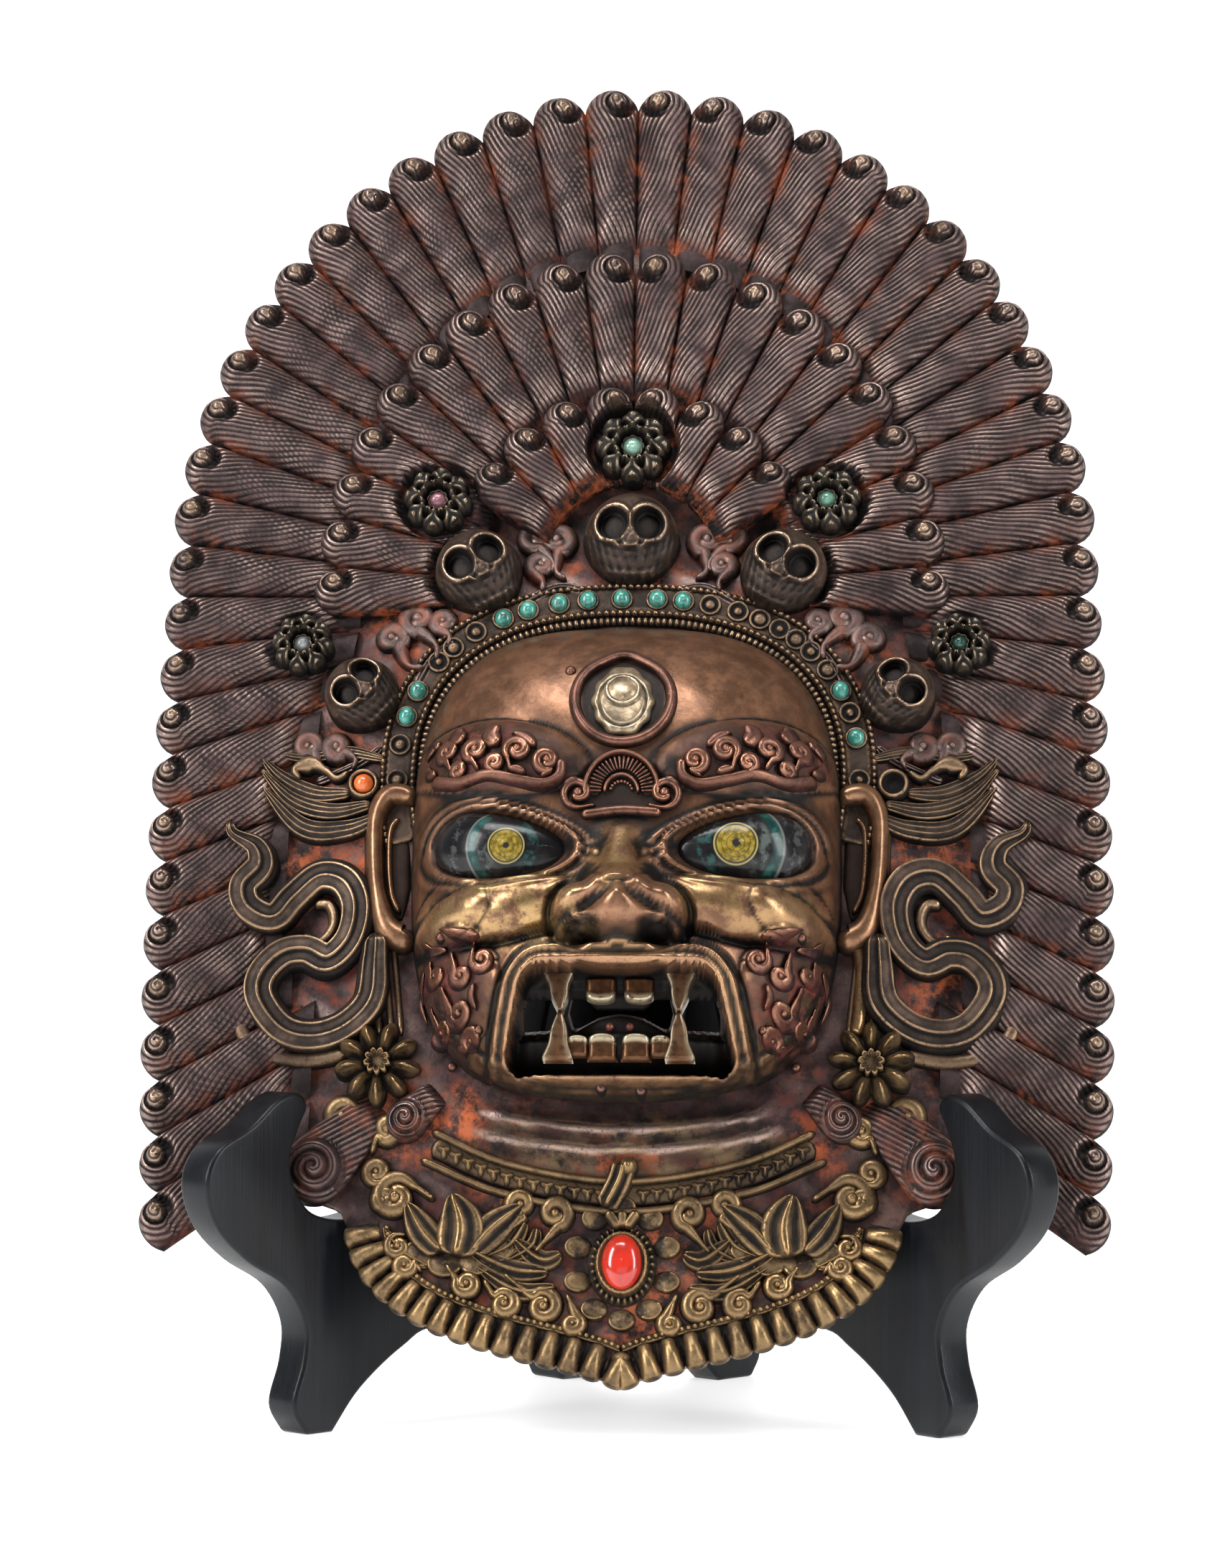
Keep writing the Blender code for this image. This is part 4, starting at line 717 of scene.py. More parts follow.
SCARF = (
    (106.3, -1.4), (105.2, -5.6), (98.9, -9.3), (97.4, -14.8), (101.6, -20.3), (100.1, -25.8),
    (93.9, -28.5), (88.8, -23.0), (81.9, -17.5), (74.8, -19.4), (71.1, -26.7), (72.6, -35.8),
    (78.5, -41.2), (84.8, -38.5), (90.9, -39.4), (95.9, -44.9), (96.1, -51.2), (90.2, -59.0),
    (82.3, -61.2), (73.7, -59.0), (67.3, -52.7), (66.3, -42.7), (66.0, -34.6),
)
SCARF_INNER = ((86.5, -33.5), (81.5, -35.5), (77.8, -31.0), (79.0, -25.5), (83.5, -24.5))
FAN_LEAVES = (
    (((65.0, 14.0), (76.0, 17.2), (88.0, 16.6), (99.5, 19.0)), 2.0, 2.8),
    (((74.0, 5.0), (84.0, 6.0), (93.0, 10.5), (99.5, 17.0)), 2.7, 3.8),
    (((68.0, 1.2), (79.0, 0.4), (90.0, 4.2), (99.0, 13.0)), 2.7, 4.4),
    (((65.5, -2.4), (75.0, -5.0), (87.0, -3.4), (98.5, 8.0)), 3.2, 4.6),
)
FAN_SCROLL = ((74.5, 11.0), (78.0, 9.4), (81.0, 11.8), (85.0, 14.2), (89.5, 12.6), (88.0, 9.8))
FAN_BEAD = (70.5, 7.0)
EAR_RIM = (
    (56.0, 1.0), (59.5, 3.6), (64.0, 3.2), (66.8, -2.5), (67.0, -12.0), (66.0, -23.0),
    (63.4, -32.5), (59.0, -36.0), (56.5, -34.0),
)
EAR_INNER = ((60.5, -2.5), (62.8, -6.0), (63.0, -15.0), (62.0, -24.0), (59.8, -29.0))


def bezel(rise, place, width, floor):
    """Height of a thin ring round a stone."""
    return lambda r, t, du, dv: rise * ridge(r - place, width) + floor


def scarf_profile(c):
    """Two steps with a thin raised edge to each."""
    body = 0.78 * rest(np.abs(c) ** 4.0) ** 0.5
    steps = 0.24 * np.tanh((-c - 0.15) * 9.0) * (np.abs(c) < 0.97)
    lines = sum(0.30 * ridge(c - at, 0.085) for at in (-0.84, -0.12, 0.62))
    return body + 0.5 * steps + lines


def scarf_width(share):
    """A tongue of flame at the outer end, full width elsewhere."""
    return 4.7 * (0.30 + 0.70 * smoothstep(share / 0.12)) * (1.0 - 0.25 * smoothstep((share - 0.9) / 0.1))


def leaf(half):
    """Half widths along a leaf, by the share of its length."""
    return lambda share: half * np.sin(np.pi * (0.12 + 0.86 * share)) ** 0.8


def leaf_profile(c):
    return dome_profile(c) * 0.8 + 0.22 * ridge(c, 0.16) + 0.14 * np.cos(9.0 * c)


def fan_profile(c):
    """A leaf with a raised edge line below and two veins."""
    body = dome_profile(c) * 0.72
    lines = sum(high * ridge(np.abs(c) - at, 0.09) for at, high in ((0.78, 0.24), (0.25, 0.14)))
    return body + lines


def make_side_ornament():
    shape = Shape()
    for side in (1, -1):
        line = track(SCARF, side, 0.7)
        add_ribbon(shape, line, scarf_width, 3.4, scarf_profile, columns=25, ends=3.0, base=2.9)
        add_ribbon(shape, track(SCARF_INNER, side, 0.6), 1.7, 2.8, columns=9, base=0.6)
        tail = ((104.0, -54.0), (98.0, -64.0), (86.0, -67.5), (72.0, -66.0))
        add_ribbon(shape, track(tail, side), 2.2, 2.6, columns=11, base=0.8, ends=3.0)
        for offset, half in ((0.0, 1.3), (3.4, 1.0), (6.0, 0.9)):
            strap = ((69.0 - offset, -4.0 - offset * 4), (67.5 - offset, -36.0), (64.5 - offset, -62.0))
            add_ribbon(shape, track(strap, side), half, 1.7, columns=7, ends=2.0)
        for points, half, rise in FAN_LEAVES:
            line = track(points, side)
            add_ribbon(shape, line, leaf(half), rise, fan_profile, columns=17, base=0.8, gilt=0.12)

        def blob(share):
            return 0.9 + 1.7 * ridge(share - 0.66, 0.16)

        scroll = track(FAN_SCROLL, side, 0.5)
        add_ribbon(shape, scroll, blob, 2.4, columns=9, base=2.6, gilt=0.1)
        spot = (side * FAN_BEAD[0], FAN_BEAD[1])
        add_round(shape, spot, circle(4.4), bezel(2.4, 0.8, 0.16, 0.4), 14, 30, base=2.6, drop=3.4)
    shape.build("side_ornament", "ornament", "copper", "feather_mantle")
    ears = Shape()
    for side in (1, -1):
        rim = track(EAR_RIM, side, 0.6)
        add_ribbon(ears, rim, ear_width, 5.2, columns=15, base=0.6, ends=3.0, gilt=0.12)
        hollow = ((61.2, -1.5), (61.6, -10.0), (61.0, -24.0), (60.0, -30.5))
        # The ear's hollow is made dark: painted shade with dark patina.
        add_ribbon(ears, track(hollow, side, 0.8), 4.0, 0.7, columns=9, base=0.1, ends=9.0, deep=0.9)
        add_ribbon(ears, track(EAR_INNER, side, 0.6), 0.9, 2.4, columns=7, base=0.6, gilt=0.1)
        drop = ((60.5, -36.0), (62.0, -44.0), (61.5, -56.0), (60.5, -62.0))
        if side > 0:
            add_ribbon(ears, spline(drop, 0.6), 2.0, 2.6, columns=9, base=0.4, gilt=0.8)
    ears.build("ears", "face", "bright_copper", "feather_mantle")


def ear_width(share):
    top = 0.8 * ridge(share - 0.16, 0.14)
    return 2.5 + top + 1.7 * smoothstep((share - 0.62) / 0.34)


# The crown: band, scrolls, skulls and rosettes


BAND = {"half_width": 61.5, "height": 51.5, "foot": 8.0, "power": 2.4, "breadth": 7.0, "rise": 2.2}
TURQUOISES = (119.6, 112.4, 104.3, 97.6, 91.1, 85.6, 80.0, 155.0, 163.7, 25.0, 9.8)
EMPTY_BEZELS = (73.5, 66.0, 59.5, 53.0, 47.0, 41.0, 128.5, 137.0, 143.5, 33.0, 17.5, 172.0, 180.0, 0.0)
SKULLS = (
    ("top_skull", 0.0, 77.0, 13.2, 0.0),
    ("upper_skull", 41.0, 67.5, 12.0, -30.0),
    ("lower_skull", 71.5, 32.5, 10.2, -50.0),
)
ROSETTES = (
    ("top_rosette", 0.0, 104.5, 10.6, "pale_green"),
    ("upper_rosette", 53.0, 89.0, 9.6, "pink"),
    ("lower_rosette", 88.5, 47.5, 8.6, "clear"),
)
SKULL_SEAT = 2.0
ROSETTE_SEAT = 3.2


def band_point(degrees, grow=0.0):
    """A place on the crown band's middle line, or beside it."""
    turn = np.radians(degrees)
    cosine, sine = np.cos(turn), np.sin(turn)
    u = (BAND["half_width"] + grow) * np.copysign(np.abs(cosine) ** (2 / BAND["power"]), cosine)
    v = BAND["foot"] + (BAND["height"] + grow) * np.copysign(np.abs(sine) ** (2 / BAND["power"]), sine)
    return np.column_stack((u, v)) if np.ndim(degrees) else (float(u), float(v))


def band_profile(c):
    return 0.55 * rest(np.abs(c) ** 6) ** 0.4 + 0.1


def make_crown_band():
    shape = Shape()
    degrees = np.linspace(-16.0, 196.0, 240)
    middle = even(band_point(degrees), 0.8)
    add_ribbon(shape, middle, 3.9, BAND["rise"], band_profile, columns=13, ends=1.0)
    for grow, half in ((4.1, 0.9), (-4.1, 0.9)):
        line = even(band_point(degrees, grow), 0.45)
        count = len(line) * 0.45 / 1.9

        def height(s, count=count):
            return 1.9 + 0.7 * np.cos(TAU * s * count)

        add_ribbon(shape, line, half, height, columns=7, ends=0.8, base=0.5)
    line = even(band_point(degrees, -6.3), 0.42)
    count = len(line) * 0.42 / 1.7

    def hatch(s):
        return 1.5 + 0.7 * np.cos(TAU * s * count)

    add_ribbon(shape, line, 1.3, hatch, columns=9, ends=0.8, base=0.2)
    for number, degree in enumerate(EMPTY_BEZELS):
        size = 1.5 + 0.4 * math.sin(3.7 * number)
        add_dome(shape, band_point(degree), size, 1.3, base=BAND["rise"] - 0.5, count=14, rings=6)
    for degree in TURQUOISES + EMPTY_BEZELS:
        ring = bezel(0.8, 0.84, 0.13, 0.25)
        add_round(shape, band_point(degree), circle(3.1), ring, 10, 24, base=BAND["rise"] - 0.6, drop=1.5)
    shape.build("crown_band", "ornament", "copper", "feather_mantle")


def make_crown_scrolls():
    """Cloud scrolls between the skulls."""
    shape = Shape()
    groups = (
        (((17.5, 66.0), (19.5, 72.0)), (20.5, 78.5), 4.0, -1),
        (((21.5, 68.0), (24.0, 73.0)), (26.0, 79.5), 3.6, 1),
        (((24.0, 62.0), (26.5, 66.5)), (24.5, 70.5), 3.0, 1),
        (((52.0, 42.0), (56.0, 48.0)), (57.5, 55.0), 4.2, 1),
        (((55.0, 40.0), (61.0, 45.0)), (64.5, 49.5), 3.4, -1),
        (((49.0, 46.0), (51.0, 50.5)), (50.5, 53.5), 2.6, 1),
        (((74.0, 12.0), (75.0, 16.5)), (78.5, 19.0), 3.2, 1),
        (((80.0, 12.5), (83.5, 17.0)), (86.5, 19.5), 2.8, -1),
    )
    for side in (1, -1):
        for stem, centre, radius, hand in groups:
            foot, top = np.array(stem)
            bend = (foot + top) / 2 + hand * 0.3 * np.array([-(top - foot)[1], (top - foot)[0]])
            add_curl(
                shape, side, (foot, bend, top), centre, radius, 1.3, hand, 2.3, 3.0, radius * 0.5,
                base=0.6, red=0.5, worn=0.1,
            )
        for points, half in (
            (((13.0, 62.5), (20.0, 63.5), (29.0, 58.5)), 1.8),
            (((47.0, 48.0), (53.0, 42.5), (57.0, 35.0)), 1.8),
            (((66.0, 18.0), (72.0, 14.0), (84.0, 9.5)), 1.4),
        ):
            add_ribbon(shape, track(points, side), half, 2.2, leaf_profile, columns=11)
    shape.build("crown_scrolls", "mantle", "copper", "feather_mantle")


def socket_distance(x, y):
    """Distance from the middle of a skull's right eye socket, in shares of its size."""
    return np.hypot(x - 0.37, (y - 0.20) * 0.86)


def skull_relief(size):
    """Height of a skull at places in its own axes."""

    def height(r, t, du, dv):
        x, y = du / size, dv / size
        dome = 11.2 * np.sqrt(rest(r**2.6))
        for side in (1, -1):
            away = socket_distance(side * x, y)
            dome -= 3.8 * smoothstep((0.33 - away) / 0.08)
            dome += 0.9 * ridge(away - 0.375, 0.045)
        nose_away = np.hypot(x / 0.15, (y + 0.19) / 0.14)
        dome += 0.9 * ridge(nose_away, 0.9)
        dome -= 0.9 * ridge(nose_away - 1.5, 0.35) * (y < -0.1)
        smile = y + 0.36 - 0.55 * x**2
        dome += 0.7 * ridge(smile - 0.02, 0.05) * (np.abs(x) < 0.5)
        below = smoothstep((-smile - 0.03) / 0.05) * smoothstep((0.80 - np.abs(x)) / 0.15)
        rows = np.abs(np.sin(np.pi * smile / 0.21))
        strokes = np.cos(x * 26.0 * (1.0 - 0.5 * y) + 5.0 * smile)
        dome += below * (0.24 * rows - 0.45 + 0.09 * strokes)
        chin = y + 0.86 - 0.35 * x**2
        dome += 0.8 * ridge(chin, 0.06) * (np.abs(x) < 0.6)
        temple = smoothstep((np.abs(x) - 0.74) / 0.08) * (y < 0.15)
        swirl = np.sin(24.0 * (np.abs(x) - 0.6 * y + 0.9 * x**2))
        dome += 0.12 * swirl * (smoothstep((-y - 0.05) / 0.1) + temple)
        return np.maximum(dome, 0.3)

    return height


def skull_dirt_and_shade(size):
    """The sockets, the nose and the jaw of a skull darken: dark patina and painted shade in these hollows.
    """

    def dirt_and_shade(r, t, du, dv):
        x, y = np.abs(du / size), dv / size
        socket = smoothstep((0.36 - socket_distance(x, y)) / 0.06)
        return np.maximum(socket, 0.6 * smoothstep((-0.36 - y + 0.55 * x**2) / 0.08))

    return dirt_and_shade


def make_skulls():
    for name, u, v, size, tilt in SKULLS:
        for full_name, side in both_sides(name, u):
            shape = Shape()
            level = SKULL_SEAT + FIT_GAP

            def outline(turn, size=size):
                x, y = np.cos(turn), np.sin(turn)
                return size * (1.0 - 0.06 * np.clip(-y, 0, 1) * np.abs(x) * 2.0)

            add_round(
                shape, (side * u, v), outline, skull_relief(size), 46, 110,
                base=level, tilt=tilt * side, squash=1.06, drop=2.4, shade=skull_dirt_and_shade(size),
            )
            shape.build("carved_" + full_name, "skull", "bright_copper", full_name)


def both_sides(name, u):
    if u == 0.0:
        return ((name, 0.0),)
    return (("right_" + name, 1.0), ("left_" + name, -1.0))


def rosette_relief(petals):
    def height(r, t, du, dv):
        lobe = np.abs(np.cos(t * petals / 2))
        ring = np.sin(np.pi * np.clip((r - 0.40) / 0.60, 0.0, 1.0)) ** 0.6
        rise = 2.9 * ring * (0.45 + 0.55 * lobe**0.7)
        rise += 0.5 * ring * np.cos(18.0 * r + 3.0 * np.cos(t * petals))
        inner = 2.4 * ridge(r - 0.47, 0.07) * (0.6 + 0.4 * np.abs(np.cos(t * petals)))
        bezel = 1.5 * ridge(r - 0.30, 0.035)
        crown = smoothstep((1.0 - r) / 0.12)
        return 0.5 + 1.55 * (rise + inner) + bezel + crown * 1.4 + 0.8 * (r < 0.3)

    return height


def make_rosettes():
    petals = 8
    for name, u, v, size, colour in ROSETTES:
        for full_name, side in both_sides(name, u):
            shape = Shape()

            def outline(turn, size=size):
                return size * (0.84 + 0.16 * np.abs(np.cos(turn * petals / 2)) ** 0.6)

            level = ROSETTE_SEAT + FIT_GAP
            add_round(
                shape, (side * u, v), outline, rosette_relief(petals), 34, 128,
                base=level, tilt=8.0 * side, drop=3.4,
            )
            shape.build("chased_" + full_name, "rosette", "copper", full_name)
            stone = Shape()
            radius = size * 0.27
            add_dome(stone, (side * u, v), radius, 2.0, base=level + 2.4, count=24, rings=9)
            shade = RIGHT_STONES.get(colour, colour) if side > 0 else colour
            stone.build("set_" + full_name + "_stone", shade, "glass_stone", full_name + "_stone")


RIGHT_STONES = {"pink": "leaf_green", "clear": "dark_green"}
JAW_FLOWER = (64.5, -69.5)
JAW_FLOWER_RADIUS = 11.6
CORAL = (0.0, -121.5)


def jaw_flower_relief(r, t, du, dv):
    petals = 9
    lobe = np.cos(t * petals / 2) ** 2
    ring = np.sin(np.pi * np.clip((r - 0.30) / 0.70, 0.0, 1.0)) ** 0.75
    rise = 3.9 * ring * lobe**0.8 + 0.6 * ring
    keel = 0.6 * ring * ridge(1.0 - lobe, 0.05)
    centre = 3.4 * (r < 0.30) * (1.0 - 0.25 * smoothstep((0.22 - r) / 0.08))
    rim = 0.8 * ridge(r - 0.28, 0.03)
    return 0.4 + rise + keel + centre + rim


def make_jaw_flowers():
    for full_name, side in both_sides("jaw_flower", JAW_FLOWER[0]):
        shape = Shape()

        def outline(turn):
            lobe = np.abs(np.cos(turn * 4.5))
            return JAW_FLOWER_RADIUS * (0.62 + 0.38 * lobe**0.9)

        add_round(
            shape, (side * JAW_FLOWER[0], JAW_FLOWER[1]), outline, jaw_flower_relief, 40, 162,
            base=SKULL_SEAT + FIT_GAP, tilt=10.0 * side, drop=2.2, gilt=0.4,
        )
        shape.build("chased_" + full_name, "collar", "gilding", full_name)


def coral_height(r, t, du, dv):
    return 4.3 * np.sqrt(rest(r**2.6))


def make_stones():
    for number, degree in enumerate(TURQUOISES, 1):
        centre = band_point(degree)
        stone = Shape()
        base = BAND["rise"] - 0.2
        add_dome(stone, centre, 2.25, 2.3, squash=1.12, power=0.42, base=base, count=20, rings=9)
        name = f"turquoise_{number:02d}"
        stone.build("set_" + name, "turquoise", "turquoise", name)
    stone = Shape()
    add_dome(stone, (-FAN_BEAD[0], FAN_BEAD[1]), 2.7, 2.8, base=3.6, count=22, rings=10)
    stone.build("set_fan_coral", "orange_coral", "coral", "fan_coral")
    stone = Shape()
    add_round(stone, CORAL, circle(5.3), coral_height, 22, 44, base=3.1, squash=1.42, drop=0.1)
    stone.build("set_collar_coral", "coral", "coral", "collar_coral")


# The collar


def make_collar():
    shape = Shape()
    edge = collar_edge(400, 0.0)
    for side in (1, -1):
        path = even(edge, 0.5)
        lengths = distances(path)
        pitch = lengths[-1] / FRINGE_LOBES
        for lobe in range(FRINGE_LOBES):
            add_fringe_lobe(shape, path, lengths, lobe * pitch, (lobe + 1) * pitch, side)
        beads = even(collar_edge(300, 11.4), 0.35)
        count = len(beads) * 0.35 / 1.75

        def pearl(s, count=count):
            return 0.9 + 1.5 * np.abs(np.sin(np.pi * s * count))

        add_ribbon(shape, flipped(beads, side), 0.95, pearl, columns=7, ends=0.5, base=0.3, gilt=0.6)
        line = even(collar_edge(300, 10.6), 0.8)
        add_ribbon(shape, flipped(line, side), 0.6, 1.5, columns=7, ends=0.5, gilt=0.2)
        add_lotus(shape, side)
        add_leaves(shape, side)
    add_necklace(shape)
    add_coral_setting(shape)
    shape.build("collar_relief", "collar", "copper", "feather_mantle")


def add_fringe_lobe(shape, path, lengths, start, end, side):
    """One rounded drop of the fringe, between two distances along the collar's edge."""
    shares = np.linspace(0.0, 1.0, 13)
    border = places(path, lengths, start + (end - start) * shares)
    along = border[-1] - border[0]
    inward = np.array([-along[1], along[0]]) / np.linalg.norm(along)
    if inward @ (np.array([0.0, -110.0]) - border[6]) < 0:
        inward = -inward
    bow = np.sqrt(rest((2 * shares - 1.0) ** 2))
    outer = border - inward * (1.7 * bow - 1.7)[:, None]
    inner = border + inward * 9.6
    rows = np.linspace(0.0, 1.0, 18)
    plan = outer[None] + (inner - outer)[None] * rows[:, None, None]
    narrow = 1.0 - 0.45 * rows[:, None]
    c = np.clip(np.abs(2 * shares[None, :] - 1.0) / narrow, 0.0, 1.0)
    section = np.sqrt(1.0 - c**2.2)
    body = np.sin(np.pi * np.clip(rows * 0.78 + 0.14, 0, 1))[:, None] ** 0.6
    height = 0.35 + 3.7 * section * body
    u, v = plan[..., 0] * side, plan[..., 1]
    level = ground(u, v)
    grid = np.dstack((u, v, level + height))
    shape.add_grid(grid, floor=level - METAL, gilt=0.08 + 0.62 * section**2 * body)


LOTUS = (43.0, -113.0)


def add_lotus(shape, side):
    """A lotus seen from the side: three petals up, a row of round ones under it."""
    u, v = LOTUS
    for points, half, rise, gilt in (
        (((u - 4.0, v - 5.5), (u - 9.5, v + 0.5), (u - 17.5, v + 6.5)), 5.2, 3.6, 0.35),
        (((u + 4.0, v - 5.5), (u + 9.0, v), (u + 13.5, v + 7.5)), 4.8, 3.4, 0.35),
        (((u, v - 7.0), (u - 1.0, v + 1.0), (u + 1.5, v + 9.5)), 7.4, 5.0, 0.45),
    ):

        def width(share, half=half):
            return half * np.sin(np.pi * (0.2 + 0.8 * share)) ** 0.7

        add_ribbon(shape, track(points, side), width, rise, leaf_profile, columns=15, base=0.8, gilt=gilt)
    for slope in (-60.0, -25.0, 15.0, 50.0):
        turn = math.radians(-90.0 + slope)
        centre = (u + 10.5 * math.cos(turn) * 1.15, v - 0.5 + 9.5 * math.sin(turn) * 0.85)
        add_petal(shape, flipped(centre, side), 5.0, 3.0, math.degrees(turn), side, 0.55)
    stem = ((u + 6.0, v + 8.0), (u + 12.0, v + 12.5))
    add_curl(shape, side, stem, (u + 16.5, v + 9.0), 5.4, 1.3, -1, 2.3, 3.2, 2.2, gilt=0.15)
    stem = ((u + 13.0, v - 1.0), (u + 17.0, v + 1.5))
    add_curl(shape, side, stem, (u + 15.5, v - 4.0), 3.0, 1.2, -1, 1.6, 2.8, 1.3, gilt=0.2)


def add_petal(shape, centre, size, rise, heading, side, gilt):
    """A round cupped petal with a bright lip on its outer side."""
    lean = math.radians(heading)
    out = np.array([math.cos(lean) * side, math.sin(lean)])

    def height(r, t, du, dv):
        front = (du * out[0] + dv * out[1]) / size
        lip = 0.8 * ridge(r - 0.86, 0.1) * (front > 0)
        return rise * np.sqrt(rest(r**2)) * (0.72 + 0.38 * front) + lip

    add_round(shape, tuple(centre), circle(size), height, 12, 26, squash=0.82, gilt=gilt)


def add_leaves(shape, side):
    """Feathered leaves and tendrils between the lotus and the middle."""
    curls = (
        (((31.0, -124.0), (25.0, -128.5)), (20.3, -132.6), 4.2, 1, 0.45),
        (((36.0, -125.5), (34.0, -129.0)), (30.4, -132.0), 3.5, 1, 0.45),
        (((46.0, -121.5), (43.5, -125.5)), (40.3, -126.8), 3.0, -1, 0.35),
        (((23.0, -119.0), (17.0, -114.0)), (17.5, -108.6), 3.8, -1, 0.3),
        (((31.0, -114.5), (25.5, -111.0)), (26.5, -106.4), 3.4, 1, 0.3),
        (((52.0, -124.0), (54.0, -121.0)), (56.5, -122.0), 2.6, 1, 0.3),
        (((60.0, -99.0), (63.5, -101.5)), (64.5, -97.5), 3.0, 1, 0.15),
        (((56.5, -101.0), (59.0, -104.5)), (62.5, -105.0), 2.6, -1, 0.15),
        (((14.5, -129.0), (11.0, -133.5)), (12.6, -137.2), 2.3, 1, 0.35),
    )
    for stem, centre, radius, hand, gilt in curls:
        add_curl(shape, side, stem, centre, radius, 1.35, hand, 1.85, 3.1, radius * 0.42, gilt=gilt)
    for points, half, rise in (
        (((19.0, -124.0), (29.0, -123.0), (41.0, -117.5)), 3.6, 3.4),
        (((17.0, -127.8), (27.0, -128.6), (38.0, -122.5)), 3.0, 3.0),
        (((15.5, -119.0), (21.0, -120.5), (28.5, -115.0)), 3.4, 3.2),
        (((25.0, -110.5), (29.0, -116.5), (35.5, -120.0)), 2.8, 2.8),
        (((22.0, -112.0), (23.5, -117.0), (30.0, -121.0)), 2.4, 2.8),
        (((50.0, -122.5), (57.0, -118.5), (62.5, -112.0)), 2.4, 2.4),
    ):
        add_ribbon(shape, track(points, side), leaf(half), rise, leaf_profile, columns=17, gilt=0.35)
    for centre, radius, stem in (
        ((74.0, -82.5), 4.4, ((70.0, -92.0), (69.0, -86.0))),
        ((62.0, -86.5), 3.2, ((66.0, -93.0), (65.0, -89.0))),
    ):
        add_curl(shape, side, stem, centre, radius, 1.35, -1, 2.1, 3.2, 1.8, gilt=0.5)


NECK_EDGES = (
    ((-50.0, -87.5), (-30.0, -96.0), (0.0, -100.5), (30.0, -96.0), (50.0, -87.5)),
    ((-53.0, -94.5), (-31.0, -103.5), (0.0, -108.0), (31.0, -103.5), (53.0, -94.5)),
)


def add_necklace(shape):
    """The necklace's two edges, its strip of small cones and its knot."""
    for line in NECK_EDGES:
        add_ribbon(shape, spline(line, 0.7), 1.1, 2.2, columns=9, gilt=0.15, base=0.2)
    middle = spline([(u, v - 3.4) for u, v in NECK_EDGES[0]], 0.5)
    add_ribbon(shape, middle, 2.9, 0.9, columns=9, ends=1.5)
    for spot in even(middle, TOOTH_PITCH)[1:-1]:
        if abs(spot[0]) > 4.0:
            bright = 0.8 if spot[0] < 0 else 0.35
            add_round(shape, tuple(spot), tooth_outline, tooth_cone, 6, 16, base=0.8, gilt=bright)
    knot = spline(((0.5, -96.0), (-1.0, -101.0), (-4.5, -107.5)), 0.6)
    add_ribbon(shape, knot, 3.6, 4.0, leaf_profile, columns=15, base=1.2, gilt=0.45)
    add_dome(shape, (1.5, -97.0), 2.6, 4.6, base=1.0, gilt=0.4)


TOOTH_PITCH = 3.6


def tooth_outline(turn):
    """A triangle's outline with its point down."""
    return 2.4 * (0.72 + 0.28 * np.cos(3.0 * (turn + math.pi / 2)))


def tooth_cone(r, t, du, dv):
    return 2.3 * (1.0 - r) ** 0.8


def add_coral_setting(shape):
    """The oval bezel with its pearled ring and the petals round it."""

    def relief(r, t, du, dv):
        pearls = ridge(r - 0.86, 0.09) * (0.55 + 0.45 * np.cos(t * 30)) * 1.7
        wall = 3.2 * smoothstep((0.80 - r) / 0.06)
        lip = 0.7 * ridge(r - 0.70, 0.05)
        return 0.5 + pearls + wall + lip

    add_round(shape, CORAL, circle(8.9), relief, 26, 180, squash=1.24, gilt=0.35)
    for degree in range(20, 361, 36):
        turn = math.radians(degree - 2)
        centre = (CORAL[0] + 12.2 * math.cos(turn), CORAL[1] + 14.6 * math.sin(turn))
        if centre[1] < -104.0:
            add_petal(shape, np.array(centre), 3.7, 2.9, math.degrees(turn), 1, 0.6)
    for degree in (68.0, 90.0, 112.0):
        turn = math.radians(degree)
        tip = (CORAL[0] + 4.6 * math.cos(turn) * 2.4, CORAL[1] + 10.5 + 3.4 * math.sin(turn))
        foot = (CORAL[0] + 1.6 * math.cos(turn), CORAL[1] + 9.0)
        middle = ((foot[0] + tip[0]) / 2, (foot[1] + tip[1]) / 2)
        add_ribbon(shape, spline((foot, middle, tip), 0.5), 1.6, 2.4, columns=9, gilt=0.2, base=1.0)


# The face


RIM = SHEET + SEAT_LIFT + FIT_GAP
EYE_CENTRE = (31.0, -19.4)
EYE_HALF = (18.4, 9.9)
MOUTH_CENTRE = -65.3
MOUTH_TOP_HALF = 24.5
MOUTH_BOTTOM_HALF = 30.5
MOUTH_HALF_HEIGHT = 12.4
MOUTH_RIM = 4.4
SLOT_TOP = -58.6
SLOT_BOTTOM = -66.6
FANG_PLACE = 15.2
FANG_WAIST = 1.32
TONGUE_HALF_WIDTH = 11.5
TONGUE_RISE = 3.4
FACE_COLUMNS = 168
FACE_ROWS = 190
EYE_POWER = 2.1


def mound(u, v, spot, size, rise, power=1.0, tilt=0.0):
    """A smooth mound with an elliptical foot."""
    turn = math.radians(tilt)
    du, dv = u - spot[0], v - spot[1]
    along = (du * math.cos(turn) + dv * math.sin(turn)) / size[0]
    across = (-du * math.sin(turn) + dv * math.cos(turn)) / size[1]
    return rise * rest(along**2 + across**2) ** power


def mouth_distance(u, v):
    """Distance from the edge of the mouth's opening, positive outside."""
    low = (MOUTH_CENTRE + MOUTH_HALF_HEIGHT - v) / (2 * MOUTH_HALF_HEIGHT)
    half = MOUTH_TOP_HALF + (MOUTH_BOTTOM_HALF - MOUTH_TOP_HALF) * np.clip(low, 0.0, 1.0)
    corner = 5.0
    across = np.abs(u) - half + corner
    along = np.abs(v - MOUTH_CENTRE) - MOUTH_HALF_HEIGHT + corner
    outside = np.hypot(np.clip(across, 0.0, None), np.clip(along, 0.0, None))
    return outside + np.minimum(np.maximum(across, along), 0.0) - corner


